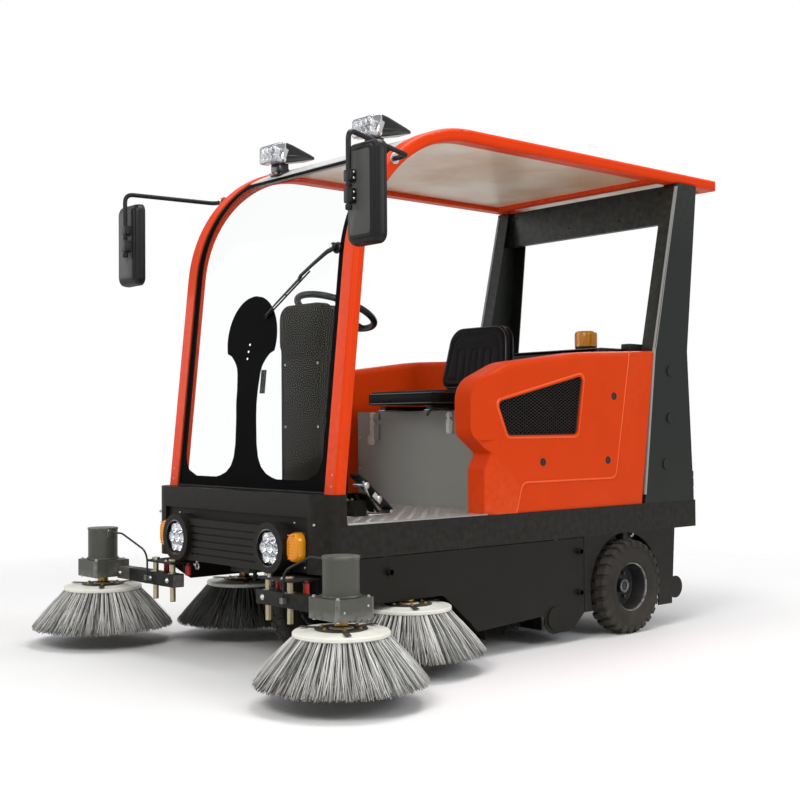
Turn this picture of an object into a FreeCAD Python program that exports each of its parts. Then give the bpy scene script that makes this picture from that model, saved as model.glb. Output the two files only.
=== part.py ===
import FreeCAD, Part
import Sketcher
import math
import os

# Compact ride-on road sweeper. Millimetres, +Z up, ground at Z 0, front at -Y, vehicle left at +X.
# The origin is the middle of the whole machine's footprint, on the ground.

SIZES = {
    # body levels and sheet
    "half_width": 580,
    "sheet": 6,
    "deck_top": 560,
    "play": 0.3,
    "overrun": 4,
    "touch": 0.01,
    # chassis
    "rail_x": 380,
    "rail_wide": 60,
    "rail_tall": 110,
    "rail_front": 900,
    "rail_rear": 1150,
    "cross_wide": 60,
    "front_cross_y": 870,
    "head_cross_y": 100,
    "rear_cross_y": 330,
    "tow_beam_y": 1120,
    "tow_beam_low": 250,
    "tow_beam_tall": 60,
    "head_tube_radius": 46,
    "head_plate": 12,
    "head_plate_reach": 75,
    # bumper
    "bumper_front": 1000,
    "bumper_low": 389,
    "bumper_top": 672,
    "bumper_band_low": 590,
    "bumper_round": 80,
    "bumper_step": 14,
    "bumper_flat_reach": 94,
    "bumper_rear": 919,
    "cowl_rear": 890,
    # lamp panel
    "lamp_x": 321,
    "lamp_z": 474,
    "lamp_radius": 64,
    "bezel_radius": 93,
    "bezel_front": 1057,
    "lamp_front": 1046,
    "lamp_seat": 1010,
    "pod_front": 1038,
    "pod_low": 386,
    "pod_top": 552,
    "pod_round": 24,
    "pod_groove": 6,
    "pod_groove_pitch": 27,
    "led_radius": 17,
    "led_ring": 38,
    "led_bulge": 7,
    "indicator_set_in": 38,
    "indicator_z": 482,
    "indicator_wide": 84,
    "indicator_tall": 112,
    "indicator_front": 1042,
    "indicator_round": 26,
    # skirts
    "skirt_rear": 1200,
    "skirt_band_low": 438,
    "panel_front": 863,
    "panel_rear": 399,
    "panel_gap": 3,
    "front_slope_y": 828,
    "notch_z": 268,
    "notch_rear": 420,
    "notch_round": 50,
    "notch_mid_y": 290,
    "notch_mid_z": 160,
    "sill_front_y": 237,
    "sill_front_z": 108,
    "sill_mid_y": 150,
    "sill_mid_z": 128,
    "sill_round": 13,
    "lobe_front_y": 158,
    "lobe_rear_y": 318,
    "lobe_z": 48,
    "lobe_round": 58,
    "sill_rear_z": 117,
    "disc_y": 215,
    "disc_z": 112,
    "disc_radius": 48,
    "arch_radius": 236,
    "guard_rear": 1012,
    "guard_top_rear": 1037,
    "guard_low": 96,
    "lug_y": 1040,
    "lug_z": 168,
    "lug_radius": 50,
    "latch_radius": 13,
    "latch_tall": 18,
    "latch_front_y": 696,
    "latch_rear_y": 365,
    "latch_high_z": 379,
    "latch_low_z": 206,
    # cab floor
    "floor_sheet": 3,
    "floor_front": 886,
    # canopy
    "canopy_set_in": 5,
    "canopy_rail_wide": 70,
    "canopy_rail_deep": 50,
    "canopy_foot_y": 935,
    "canopy_lean": 6.2,
    "canopy_top": 2085,
    "canopy_arc": 600,
    "canopy_rear": 1409,
    "canopy_edge_round": 16,
    "roof_sheet": 22,
    "roof_drop": 5,
    "roof_front": 556,
    "glass_sheet": 6,
    "glass_drop": 10,
    "glass_top_y": 562,
    "cross_tube": 40,
    "roof_cross_mid": 1046,
    # rear pillars and header
    "pillar_set_in": 1,
    "pillar_deep": 78,
    "pillar_sheet": 5,
    "pillar_foot_front": 825,
    "pillar_foot_rear": 1190,
    "pillar_waist_front": 908,
    "pillar_waist_rear": 1150,
    "pillar_waist_z": 1253,
    "pillar_head_front": 1090,
    "pillar_head_rear": 1236,
    "cap_radius": 24,
    "cap_tall": 5,
    "cap_low_y": 980,
    "cap_low_z": 732,
    "cap_mid_y": 1014,
    "cap_mid_z": 942,
    "cap_high_y": 1018,
    "cap_high_z": 1158,
    "header_y": 1112,
    "header_deep": 177,
    "header_flange": 34,
    # orange side panels
    "wing_set_in": 1,
    "wing_pillar_gap": 51,
    "wing_wall": 8,
    "wing_leg_front": 174,
    "wing_leg_top": 742,
    "wing_leg_round": 13,
    "wing_neck": 140,
    "wing_neck_z": 800,
    "wing_neck_round": 13,
    "wing_nose": 244,
    "wing_nose_low": 880,
    "wing_nose_high": 1085,
    "wing_chin_round": 58,
    "wing_nose_round": 110.4,
    "wing_crown_front_y": 40,
    "wing_crown_front_z": 1172,
    "wing_brow_round": 236,
    "wing_crown_y": 402,
    "wing_crown_z": 1226,
    "wing_crown_round": 600,
    "wing_top_z": 1248,
    "wing_top_rear": 904,
    "wing_foot_rear": 806,
    "wing_edge_round": 26,
    "nose_facet": 22,
    "nose_facet_rear": 107,
    "leg_facet": 20,
    "leg_facet_rear": 120,
    "facet_notch_z": 857,
    "grille_recess": 12,
    "grille_sheet": 4,
    "grille_bar": 3,
    "grille_pitch": 46,
    "grille_nose_y": 118,
    "grille_nose_z": 1009,
    "grille_top_y": 407,
    "grille_top_z": 1127,
    "grille_rear_y": 365,
    "grille_low_z": 874,
    "grille_chin_y": 57,
    "grille_round": 22,
    "bead_wide": 10,
    "bead_high": 3,
    "step_depth": 5,
    "step_foot_y": 9,
    "step_front_y": 28,
    "step_top_z": 682,
    "step_rear_y": 621,
    "step_head_y": 728,
    "step_round": 40,
    # battery box, lid and seat
    "box_gap": 6,
    "box_rear": 450,
    "box_wall": 4,
    "box_lid_seam": 944,
    "lid_top": 980,
    "battery_inset": 46,
    "battery_top": 852,
    "catch_x": 300,
    "catch_wide": 36,
    "catch_tall": 92,
    "catch_deep": 9,
    "hinge_radius": 6,
    "hinge_z": 962,
    "hinge_half": 200,
    "hinge_ear": 20,
    "hinge_foot_z": 902,
    "seat_half": 240,
    "seat_front": 130,
    "seat_rear": 326,
    "seat_low": 1003,
    "seat_top": 1076,
    "seat_round": 30,
    "seat_rail_x": 150,
    "seat_rail_wide": 34,
    "seat_rail_front": 96,
    "seat_rail_rear": 300,
    "back_half": 212,
    "back_front": 300,
    "back_rear": 372,
    "back_low": 1084,
    "back_top": 1372,
    "back_lean": 46,
    "back_round": 46,
    "back_top_half": 190,
    "back_top_round": 84,
    "back_edge_round": 30,
    "stay_reach": 184,
    "stay_thick": 9,
    "bracket_wide": 46,
    # rear hood and hopper
    "hood_front": 478,
    "hood_low": 862,
    "hood_shoulder": 905,
    "hood_slope_y": 660,
    "hood_top": 1262,
    "hood_rear": 1150,
    "hood_tail_z": 1180,
    "hood_tail_y": 1168,
    "hood_tail_round": 13,
    "hood_brow_round": 58,
    "hood_edge_round": 8,
    "beacon_y": 1112,
    "beacon_radius": 56,
    "beacon_low": 1288,
    "beacon_tall": 96,
    "beacon_taper": 6,
    "beacon_round": 13,
    "hopper_half": 320,
    "hopper_front": 482,
    "hopper_rear": 1156,
    "hopper_low": 330,
    "hopper_high": 842,
    "hopper_wall": 4,
    "hopper_mouth_z": 420,
    "hopper_face_half": 438,
    "hopper_face_top": 856,
    "hopper_panel_inset": 54,
    "hopper_panel_round": 26,
    "hopper_panel_proud": 4,
    "runner_wide": 24,
    "runner_tall": 20,
    "runner_z": 478,
    "flange_tall": 8,
    "handle_half": 110,
    "handle_radius": 9,
    "handle_stand": 46,
    "handle_leg_radius": 7.2,
    "handle_leg_inset": 18,
    "handle_z": 760,
    # wheels
    "wheel_y": 678,
    "wheel_set_in": 8,
    "tyre_radius": 204,
    "tyre_wide": 100,
    "tyre_shoulder": 20,
    "rim_radius": 112,
    "rim_flange": 7,
    "rim_wall": 5,
    "rim_dish": 74,
    "hub_radius": 30,
    "hub_reach": 34,
    "stub_radius": 20,
    "lug_ring": 58,
    "lug_nut": 9,
    "lug_nut_tall": 12,
    "front_wheel_y": 600,
    "front_wheel_wide": 96,
    "front_hub_half": 46,
    "axle_radius": 12,
    "axle_tube": 36,
    "axle_end_gap": 56,
    "drum_radius": 84,
    "drum_wide": 34,
    "diff_radius": 96,
    "diff_wide": 150,
    "motor_radius": 74,
    "motor_long": 250,
    "spring_leaf": 8,
    "spring_leaf_count": 4,
    "spring_half": 262,
    "spring_step_share": 0.18,
    "spring_wide": 46,
    "spring_camber": 40,
    "spring_bend": 600,
    "spring_hanger_foot": 46,
    "spring_hanger_spread": 14,
    "spring_seat": 14,
    # steering
    "fork_leg": 12,
    "fork_leg_wide": 70,
    "fork_leg_round": 31.5,
    "fork_side_gap": 10,
    "crown_low": 418,
    "crown_tall": 20,
    "stem_radius": 30,
    "column_wheel_y": 478,
    "column_wheel_z": 1392,
    "column_tilt": 22,
    "wheel_rim_radius": 166,
    "wheel_grip": 14,
    "wheel_hub_radius": 40,
    "wheel_hub_tall": 34,
    "spoke_wide": 22,
    "spoke_thick": 10,
    "column_radius": 24,
    "console_half": 150,
    "console_front": 655,
    "console_rear": 520,
    "console_foot": 590,
    "console_heel": 530,
    "console_waist_rear": 536,
    "console_knee_round": 236,
    "console_lip_round": 13,
    "console_edge_round": 13,
    "console_top": 1398,
    "console_rear_top": 1330,
    "console_round": 60,
    "console_knee_z": 1080,
    # pedals
    "pedal_x": 262,
    "pedal_y": 560,
    "pedal_wide": 58,
    "pedal_gap": 84,
    "pedal_tall": 96,
    "pedal_plate": 6,
    "pedal_tilt": 50,
    "pedal_heel_gap": 24,
    "pedal_head": 86.4,
    "pedal_box": 60,
    # front brushes
    "brush_reach": 242,
    "brush_y": 1112,
    "brush_tip_z": 64,
    "brush_tip_radius": 297,
    "brush_root_radius": 158,
    "brush_plate_radius": 164,
    "brush_plate_low": 225,
    "brush_plate_thick": 22,
    "brush_plate_fall": 6,
    "brush_plate_slope": 64,
    "brush_plate_round": 4,
    "brush_tip_band": 52,
    "brush_root_band": 42,
    "tuft_count": 24,
    "tuft_fill_share": 0.82,
    "brush_hub_radius": 20,
    "spindle_radius": 12,
    "spindle_up": 30,
    "gear_low": 283,
    "gear_high": 353,
    "gear_half": 80,
    "gear_lip": 8,
    "gear_round": 13,
    "motor_lip_out": 2,
    "brush_motor_radius": 62,
    "brush_motor_top": 488,
    "arm_y": 1060,
    "arm_tube": 50,
    "arm_low": 276,
    "arm_inner": 292,
    "rod_radius": 11,
    "rod_inner_x": 333,
    "rod_outer_x": 466,
    "rod_low": 214,
    "carrier_low": 366,
    "carrier_thick": 8,
    "carrier_inner": 300,
    "carrier_outer": 498,
    "carrier_front": 1086,
    "hanger_thick": 8,
    "gland_radius": 9,
    "gland_long": 14,
    "gland_drop": 16,
    "cable_radius": 4,
    "cable_bend": 60,
    "cable_lead": 92,
    "cable_drop": 94,
    "cable_clip_x": 474,
    "cable_clip_half": 9,
    "cable_clip_reach": 22,
    "cable_clip_low": 292,
    "cable_clip_tall": 20,
    # mid brushes
    "mid_set_in": 34,
    "mid_y": 571,
    "mid_gear_set_in": 14,
    "mid_gear_inner": 424,
    "mid_gear_half": 60,
    "mid_motor_x": 486,
    "mid_motor_radius": 52,
    "mid_motor_top": 436,
    "mid_plate_inner": 366,
    "mid_plate_low": 330,
    "mid_plate_thick": 20,
    "mid_plate_side": 24,
    "mid_rod_x": 393,
    "mid_rod_y": 48,
    "mid_rod_radius": 9,
    "mid_rod_low": 252,
    "guide_gap": 0.3,
    # main broom
    "broom_y": 215,
    "broom_z": 152,
    "broom_radius": 130,
    "broom_core": 52,
    "broom_half": 336,
    "broom_row": 9,
    "broom_rows": 12,
    "broom_twist": 30,
    "broom_end_gap": 6,
    "broom_plate": 8,
    "broom_plate_front": 40,
    "broom_plate_rear": 392,
    "broom_plate_low": 70,
    "broom_plate_foot": 58,
    "broom_shaft": 16,
    "shroud_radius": 146,
    "shroud_sheet": 4,
    "throat_y": 60,
    "throat_rise": 112,
    "flap_thick": 6,
    "flap_low": 14,
    "flap_high": 160,
    # mirrors, roof lamps, wiper, tail lamps
    "mirror_out": 231,
    "mirror_tall": 354,
    "mirror_wide": 176,
    "mirror_reach": 334,
    "mirror_drop": 24,
    "mirror_root_angle": 43.5,
    "mirror_root_inset": 9,
    "mirror_root_long": 72,
    "mirror_elbow_reach": 380,
    "mirror_elbow_rise": 16,
    "mirror_edge_round": 12,
    "mirror_deep": 52,
    "mirror_round": 34,
    "mirror_panel_inset": 16,
    "mirror_panel_high": 5,
    "mirror_panel_round": 20,
    "mirror_glass_inset": 7,
    "mirror_glass_sink": 4,
    "mirror_tube": 10,
    "mirror_clamp_half": 20,
    "mirror_clamp_low": 36,
    "mirror_clamp_high": 18,
    "mirror_elbow_out": 197,
    "mirror_bend": 36,
    "roof_lamp_x": 318,
    "roof_lamp_half": 62,
    "roof_lamp_foot_half": 34,
    "roof_lamp_front": 357,
    "roof_lamp_face_low": 39,
    "roof_lamp_face_high": 43,
    "roof_lamp_crown_front": 297,
    "roof_lamp_crown_high": 59,
    "roof_lamp_tail": 129,
    "roof_lamp_tail_high": 15,
    "roof_lamp_tail_edge": 16,
    "roof_lamp_belly_front": 277,
    "roof_lamp_belly_low": 33,
    "roof_lamp_belly_round": 50,
    "roof_lamp_face_round": 13,
    "roof_lamp_foot_front": 317,
    "roof_lamp_foot_rear": 257,
    "roof_lamp_foot_tall": 80,
    "roof_lamp_tail_half": 46,
    "roof_lamp_facet_wide": 16,
    "roof_lamp_facet_deep": 12,
    "wiper_pivot_in": 49,
    "wiper_pivot_over": 29,
    "wiper_elbow_in": 194,
    "wiper_elbow_fall": 65,
    "wiper_head_in": 156,
    "wiper_head_fall": 45,
    "wiper_tip_in": 422,
    "wiper_tip_fall": 207,
    "wiper_boss_radius": 17,
    "wiper_boss_tall": 30,
    "wiper_arm_half": 12,
    "wiper_arm_tip_half": 8,
    "wiper_arm_low": 13,
    "wiper_arm_thick": 9,
    "wiper_blade_half": 4,
    "tail_lamp_set_in": 40,
    "tail_lamp_z": 640,
    "tail_lamp_wide": 54,
    "tail_lamp_tall": 120,
    "tail_lamp_deep": 26,
    "tail_lamp_round": 13,
}

doc = FreeCAD.newDocument("RoadSweeper")
sheet = doc.addObject("Spreadsheet::Sheet", "Sizes")
NODES = []


class Size:
    """A number together with the sheet expression that gives it."""

    def __init__(self, value, text):
        self.value = float(value)
        self.text = text

    def __float__(self):
        return self.value

    def __add__(self, other):
        other = as_size(other)
        return Size(self.value + other.value, "(%s + %s)" % (self.text, other.text))

    def __radd__(self, other):
        return as_size(other) + self

    def __sub__(self, other):
        other = as_size(other)
        return Size(self.value - other.value, "(%s - %s)" % (self.text, other.text))

    def __rsub__(self, other):
        return as_size(other) - self

    def __mul__(self, other):
        other = as_size(other)
        return Size(self.value * other.value, "%s * %s" % (self.text, other.text))

    def __rmul__(self, other):
        return as_size(other) * self

    def __truediv__(self, other):
        other = as_size(other)
        return Size(self.value / other.value, "(%s) / (%s)" % (self.text, other.text))

    def __neg__(self):
        return Size(-self.value, "(-(%s))" % self.text)


def as_size(number):
    """A plain number as a Size."""
    if isinstance(number, Size):
        return number
    return Size(number, "(%.9g)" % number)


def sine(angle):
    """Sine of an angle in degrees, as a Size."""
    return Size(math.sin(math.radians(float(angle))), "sin(%s)" % as_size(angle).text)


def cosine(angle):
    """Cosine of an angle in degrees, as a Size."""
    return Size(math.cos(math.radians(float(angle))), "cos(%s)" % as_size(angle).text)


def root(number):
    """Square root, as a Size."""
    return Size(math.sqrt(float(number)), "sqrt(%s)" % as_size(number).text)


class Sheet:
    """Gives each cell of the sheet as a Size by its alias."""

    def __getattr__(self, alias):
        return Size(SIZES[alias], "Sizes." + alias)


S = Sheet()


def fill_sheet():
    """Write every driving size into the spreadsheet under its alias."""
    for row, (alias, value) in enumerate(SIZES.items(), 1):
        sheet.set("A%d" % row, alias)
        sheet.set("B%d" % row, str(value))
        sheet.setAlias("B%d" % row, alias)
    doc.recompute()


def bind(obj, prop, size):
    """Tie one property of an object to the sheet."""
    obj.setExpression(prop, as_size(size).text)


def place(obj, x=0, y=0, z=0, rotation=None):
    """Put an object at a bound position, turned by a fixed or given rotation."""
    turn = rotation or FreeCAD.Rotation()
    obj.Placement = FreeCAD.Placement(FreeCAD.Vector(float(x), float(y), float(z)), turn)
    for axis, value in (("x", x), ("y", y), ("z", z)):
        bind(obj, "Placement.Base." + axis, value)
    return obj


def node(obj):
    """Keep a finished sub-part for export under its own label."""
    NODES.append(obj)
    return obj


def box(name, x, y, z):
    """A box from three (low, high) ranges."""
    solid = doc.addObject("Part::Box", name)
    bind(solid, "Length", as_size(x[1]) - x[0])
    bind(solid, "Width", as_size(y[1]) - y[0])
    bind(solid, "Height", as_size(z[1]) - z[0])
    return place(solid, x[0], y[0], z[0])


TURN_TO_X = FreeCAD.Rotation(FreeCAD.Vector(0, 1, 0), 90)
TURN_TO_Y = FreeCAD.Rotation(FreeCAD.Vector(1, 0, 0), -90)


def cylinder(name, axis, span, centre, radius):
    """A cylinder along an axis over a (low, high) span; centre gives the two other coordinates."""
    solid = doc.addObject("Part::Cylinder", name)
    bind(solid, "Radius", radius)
    bind(solid, "Height", as_size(span[1]) - span[0])
    if axis == "X":
        return place(solid, span[0], centre[0], centre[1], TURN_TO_X)
    if axis == "Y":
        return place(solid, centre[0], span[0], centre[1], TURN_TO_Y)
    return place(solid, centre[0], centre[1], span[0])


def fuse(name, *solids):
    """One solid from several."""
    joined = doc.addObject("Part::MultiFuse", name)
    joined.Shapes = list(solids)
    return joined


def group(name, *solids):
    """Several solids that do not touch, kept in one sub-part."""
    kept = doc.addObject("Part::Compound", name)
    kept.Links = list(solids)
    return kept


def cut(name, base, *tools):
    """A solid less one or more others."""
    result = doc.addObject("Part::Cut", name)
    result.Base = base
    result.Tool = tools[0] if len(tools) == 1 else fuse(name + "_tools", *tools)
    return result


def common(name, first, second):
    """What two solids share."""
    result = doc.addObject("Part::Common", name)
    result.Base = first
    result.Tool = second
    return result


def mirrored(name, source):
    """The other side's copy of a solid."""
    copy = doc.addObject("Part::Mirroring", name)
    copy.Source = source
    copy.Normal = (1, 0, 0)
    return copy


def both(name, left):
    """A solid and its mirror image in one sub-part."""
    return group(name, left, mirrored(name + "_right", left))


def moved(name, source, x=0, y=0, z=0, rotation=None):
    """A copy of a solid at another place."""
    return place(group(name, source), x, y, z, rotation)


def origin_plane(body, role):
    """One of a body's own origin planes."""
    return [item for item in body.Origin.OriginFeatures if item.Role == role][0]


def corner_arc(before, corner, after, radius):
    """Centre and the two tangent points of a round corner."""
    u = (before - corner).normalize()
    w = (after - corner).normalize()
    half = math.acos(max(-1.0, min(1.0, u.dot(w)))) / 2
    reach = radius / math.tan(half)
    middle = (u + w).normalize()
    return corner + middle * (radius / math.sin(half)), corner + u * reach, corner + w * reach


def arc_between(centre, start, end, anticlockwise):
    """The arc that leaves start and reaches end; says whether its first point is start."""
    circle = Part.Circle(centre, FreeCAD.Vector(0, 0, 1), (start - centre).Length)
    a = math.atan2(start.y - centre.y, start.x - centre.x)
    b = math.atan2(end.y - centre.y, end.x - centre.x)
    if anticlockwise:
        return Part.ArcOfCircle(circle, a, b if b > a else b + 2 * math.pi), True
    return Part.ArcOfCircle(circle, b, a if a > b else a + 2 * math.pi), False


class Loop:
    """Adds one closed outline with round corners to a sketch, tied to the sheet."""

    def __init__(self, sketch, corners):
        self.sketch = sketch
        self.corners = corners
        self.points = [FreeCAD.Vector(float(c[0]), float(c[1]), 0) for c in corners]
        self.ends = []
        self.bindings = []
        self.constraints = []

    def radius(self, index):
        corner = self.corners[index]
        return corner[2] if len(corner) > 2 else None

    def draw(self):
        """Lines and arcs first, then every constraint in one go."""
        count = len(self.corners)
        tangents = []
        for i in range(count):
            before, here, after = self.points[i - 1], self.points[i], self.points[(i + 1) % count]
            if self.radius(i) is None:
                tangents.append((None, here, here))
            else:
                tangents.append(corner_arc(before, here, after, float(self.radius(i))))
        first = self.sketch.GeometryCount
        for i in range(count):
            line = Part.LineSegment(tangents[i][2], tangents[(i + 1) % count][1])
            self.sketch.addGeometry(line, False)
        for i in range(count):
            self.join(first, i, tangents[i])
        start = self.sketch.ConstraintCount
        self.sketch.addConstraint(self.constraints)
        for offset, size in self.bindings:
            self.sketch.setExpression("Constraints[%d]" % (start + offset), size.text)

    def join(self, first, i, tangent):
        """Tie the line that comes in to the line that goes out at corner i."""
        count = len(self.corners)
        line_in = first + (i - 1) % count
        line_out = first + i
        if tangent[0] is None:
            self.add(Sketcher.Constraint("Coincident", line_in, 2, line_out, 1))
            self.locate(line_out, i)
            return
        before, here, after = self.points[i - 1], self.points[i], self.points[(i + 1) % count]
        turn = (here - before).cross(after - here).z > 0
        arc, forward = arc_between(tangent[0], tangent[1], tangent[2], turn)
        arc_index = self.sketch.addGeometry(arc, False)
        point_index = self.sketch.addGeometry(Part.Point(here), True)
        enter, leave = (1, 2) if forward else (2, 1)
        self.add(Sketcher.Constraint("Tangent", line_in, 2, arc_index, enter))
        self.add(Sketcher.Constraint("Tangent", arc_index, leave, line_out, 1))
        self.add(Sketcher.Constraint("PointOnObject", point_index, 1, line_in))
        self.add(Sketcher.Constraint("PointOnObject", point_index, 1, line_out))
        radius = self.radius(i)
        self.add(Sketcher.Constraint("Radius", arc_index, float(radius)), radius)
        self.locate(point_index, i)

    def locate(self, geometry, i):
        """Fix a corner's two coordinates from the sketch origin."""
        x, y = self.corners[i][0], self.corners[i][1]
        self.add(Sketcher.Constraint("DistanceX", -1, 1, geometry, 1, float(x)), x)
        self.add(Sketcher.Constraint("DistanceY", -1, 1, geometry, 1, float(y)), y)

    def add(self, constraint, size=None):
        if isinstance(size, Size):
            self.bindings.append((len(self.constraints), size))
        self.constraints.append(constraint)


def add_circle(sketch, x, y, radius):
    """A circle tied to the sheet."""
    centre = FreeCAD.Vector(float(x), float(y), 0)
    index = sketch.addGeometry(Part.Circle(centre, FreeCAD.Vector(0, 0, 1), float(radius)), False)
    start = sketch.ConstraintCount
    sketch.addConstraint([
        Sketcher.Constraint("DistanceX", -1, 1, index, 3, float(x)),
        Sketcher.Constraint("DistanceY", -1, 1, index, 3, float(y)),
        Sketcher.Constraint("Radius", index, float(radius)),
    ])
    for offset, size in enumerate((x, y, radius)):
        if isinstance(size, Size):
            sketch.setExpression("Constraints[%d]" % (start + offset), size.text)


def draw_sketch(body, name, plane, level, loops, circles=()):
    """A sketch on one of the body's origin planes, moved out to a level along its global axis."""
    sketch = body.newObject("Sketcher::SketchObject", name)
    sketch.AttachmentSupport = [(origin_plane(body, plane + "_Plane"), "")]
    sketch.MapMode = "FlatFace"
    level = as_size(level)
    bind(sketch, "AttachmentOffset.Base.z", -level if plane == "XZ" else level)
    for corners in loops:
        Loop(sketch, corners).draw()
    for x, y, radius in circles:
        add_circle(sketch, x, y, radius)
    return sketch


def pad(name, plane, loops, span, circles=()):
    """A body padded from a sketch between two levels along the plane's global axis."""
    body = doc.addObject("PartDesign::Body", name)
    level = span[1] if plane == "XZ" else span[0]
    sketch = draw_sketch(body, name + "_outline", plane, level, loops, circles)
    feature = body.newObject("PartDesign::Pad", name + "_pad")
    feature.Profile = sketch
    bind(feature, "Length", as_size(span[1]) - span[0])
    return body


def revolve(name, plane, loops, axis):
    """A body turned from a profile about one of its sketch's own axes."""
    body = doc.addObject("PartDesign::Body", name)
    sketch = draw_sketch(body, name + "_profile", plane, 0, loops)
    feature = body.newObject("PartDesign::Revolution", name + "_turn")
    feature.Profile = sketch
    feature.ReferenceAxis = (sketch, [axis])
    feature.Angle = 360
    return body


def polar(body, feature, plane_axis, count):
    """Repeat a body's feature around one of its origin axes."""
    ring = body.newObject("PartDesign::PolarPattern", body.Name + "_ring")
    ring.Originals = [feature]
    ring.Axis = (origin_plane(body, plane_axis + "_Axis"), [""])
    ring.Angle = 360
    ring.Occurrences = count
    body.Tip = ring
    return ring


def rectangle(x, y, radius=None):
    """Corners of an upright rectangle from two (low, high) ranges, round if a radius is given."""
    corners = [(x[0], y[0]), (x[1], y[0]), (x[1], y[1]), (x[0], y[1])]
    if radius is None:
        return corners
    return [corner + (radius,) for corner in corners]


def on_level(edge, axis, level):
    """Whether all of an edge's ends lie on one level of an axis."""
    return all(abs(getattr(v, axis) - float(level)) < float(S.touch) for v in edge.Vertexes)


def on_side(edge, half):
    """Whether an edge lies on one of a body's two flat sides."""
    return on_level(edge, "X", half) or on_level(edge, "X", -half)


def round_edges(body, radius, wanted):
    """Fillet the edges of a body's last feature that a test picks."""
    doc.recompute()
    base = body.Tip
    names = ["Edge%d" % i for i, edge in enumerate(base.Shape.Edges, 1) if wanted(edge)]
    fillet = body.newObject("PartDesign::Fillet", body.Name + "_round")
    fillet.Base = (base, names)
    bind(fillet, "Radius", radius)
    return fillet


def bent_tube(name, points, radius, bend):
    """A round bar along straight runs with tangent arcs, from sizes read off the sheet."""
    corners = [FreeCAD.Vector(*(float(value) for value in point)) for point in points]
    edges = []
    start = corners[0]
    for i in range(1, len(corners) - 1):
        centre, enter, leave = corner_arc(corners[i - 1], corners[i], corners[i + 1], float(bend))
        middle = centre + (corners[i] - centre).normalize() * float(bend)
        edges.append(Part.makeLine(start, enter))
        edges.append(Part.Arc(enter, middle, leave).toShape())
        start = leave
    edges.append(Part.makeLine(start, corners[-1]))
    profile = Part.Wire(Part.makeCircle(float(radius), corners[0], corners[1] - corners[0]))
    solid = Part.Wire(edges).makePipeShell([profile], True, False, 1)
    feature = doc.addObject("Part::Feature", name)
    feature.Shape = solid
    return feature


# Widths that follow the machine's half width

def canopy_half():
    return S.half_width - S.canopy_set_in


def pillar_half():
    return S.half_width - S.pillar_set_in


def wing_outer():
    return S.half_width - S.wing_set_in


def wing_inner():
    return pillar_half() - S.pillar_deep - S.wing_pillar_gap


def box_half():
    return wing_inner() - S.box_gap


def bumper_flat():
    return S.half_width - S.bumper_flat_reach


def indicator_x():
    return bumper_flat() - S.indicator_set_in


def wheel_x():
    return S.half_width - S.wheel_set_in


def axle_end():
    return wheel_x() - S.axle_end_gap


def brush_x():
    return S.half_width + S.brush_reach


def mid_x():
    return S.half_width - S.mid_set_in


def mid_gear_outer():
    return S.half_width - S.mid_gear_set_in


def mirror_x():
    return canopy_half() + S.mirror_out


def mirror_elbow_x():
    return canopy_half() + S.mirror_elbow_out


def tail_lamp_x():
    return S.half_width - S.tail_lamp_set_in


def wiper_pivot_x():
    return canopy_half() - S.canopy_rail_wide - S.wiper_pivot_in


def wiper_elbow_x():
    return wiper_pivot_x() - S.wiper_elbow_in


def wiper_head_x():
    return wiper_pivot_x() - S.wiper_head_in


def wiper_tip_x():
    return wiper_pivot_x() - S.wiper_tip_in


# Chassis

def rail_top():
    return S.deck_top - S.sheet


def rail_low():
    return rail_top() - S.rail_tall


def rail_inner():
    return S.rail_x - S.rail_wide / 2


def rail_outer():
    return S.rail_x + S.rail_wide / 2


def make_frame_rails():
    rail = box("frame_rail", (rail_inner(), rail_outer()), (-S.rail_front, S.rail_rear),
               (rail_low(), rail_top()))
    node(both("frame_rails", rail))


def cross_member(name, y):
    return box(name, (-rail_inner(), rail_inner()), (y - S.cross_wide / 2, y + S.cross_wide / 2),
               (rail_low(), rail_top()))


def make_cross_members():
    front = cross_member("cross_front", -S.front_cross_y)
    rear = cross_member("cross_rear", S.rear_cross_y)
    head_a = cross_member("cross_head_a", -S.front_wheel_y - S.head_cross_y)
    head_b = cross_member("cross_head_b", -S.front_wheel_y + S.head_cross_y)
    plate_x = (-S.head_plate_reach, S.head_plate_reach)
    plate_y = (-S.front_wheel_y - S.head_cross_y, -S.front_wheel_y + S.head_cross_y)
    low = box("head_plate_low", plate_x, plate_y, (rail_low(), rail_low() + S.head_plate))
    high = box("head_plate_high", plate_x, plate_y, (rail_top() - S.head_plate, rail_top()))
    tube = cylinder("head_tube", "Z", (rail_low(), rail_top()), (0, -S.front_wheel_y), S.head_tube_radius)
    bore = cylinder("head_bore", "Z", (rail_low() - S.overrun, rail_top() + S.overrun),
                    (0, -S.front_wheel_y), S.stem_radius + S.play)
    head = cut("steering_head", fuse("steering_head_body", head_a, head_b, low, high, tube), bore)
    node(group("cross_members", front, rear, head, make_tow_beam(), make_hopper_runners()))


def make_tow_beam():
    y = (S.tow_beam_y - S.cross_wide / 2, S.tow_beam_y + S.cross_wide / 2)
    beam = box("tow_beam_bar", (-rail_outer(), rail_outer()), y,
               (S.tow_beam_low, S.tow_beam_low + S.tow_beam_tall))
    post = box("tow_beam_post", (rail_inner(), rail_outer()), y, (S.tow_beam_low, rail_low()))
    return fuse("tow_beam", beam, post, mirrored("tow_beam_post_right", post))


def make_hopper_runners():
    """Ledges inside the rails that carry the hopper's flanges."""
    runner = box("hopper_runner", (rail_inner() - S.runner_wide, rail_inner()),
                 (S.hopper_front, S.rail_rear),
                 (S.runner_z, S.runner_z + S.runner_tall))
    return both("hopper_runners", runner)


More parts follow.
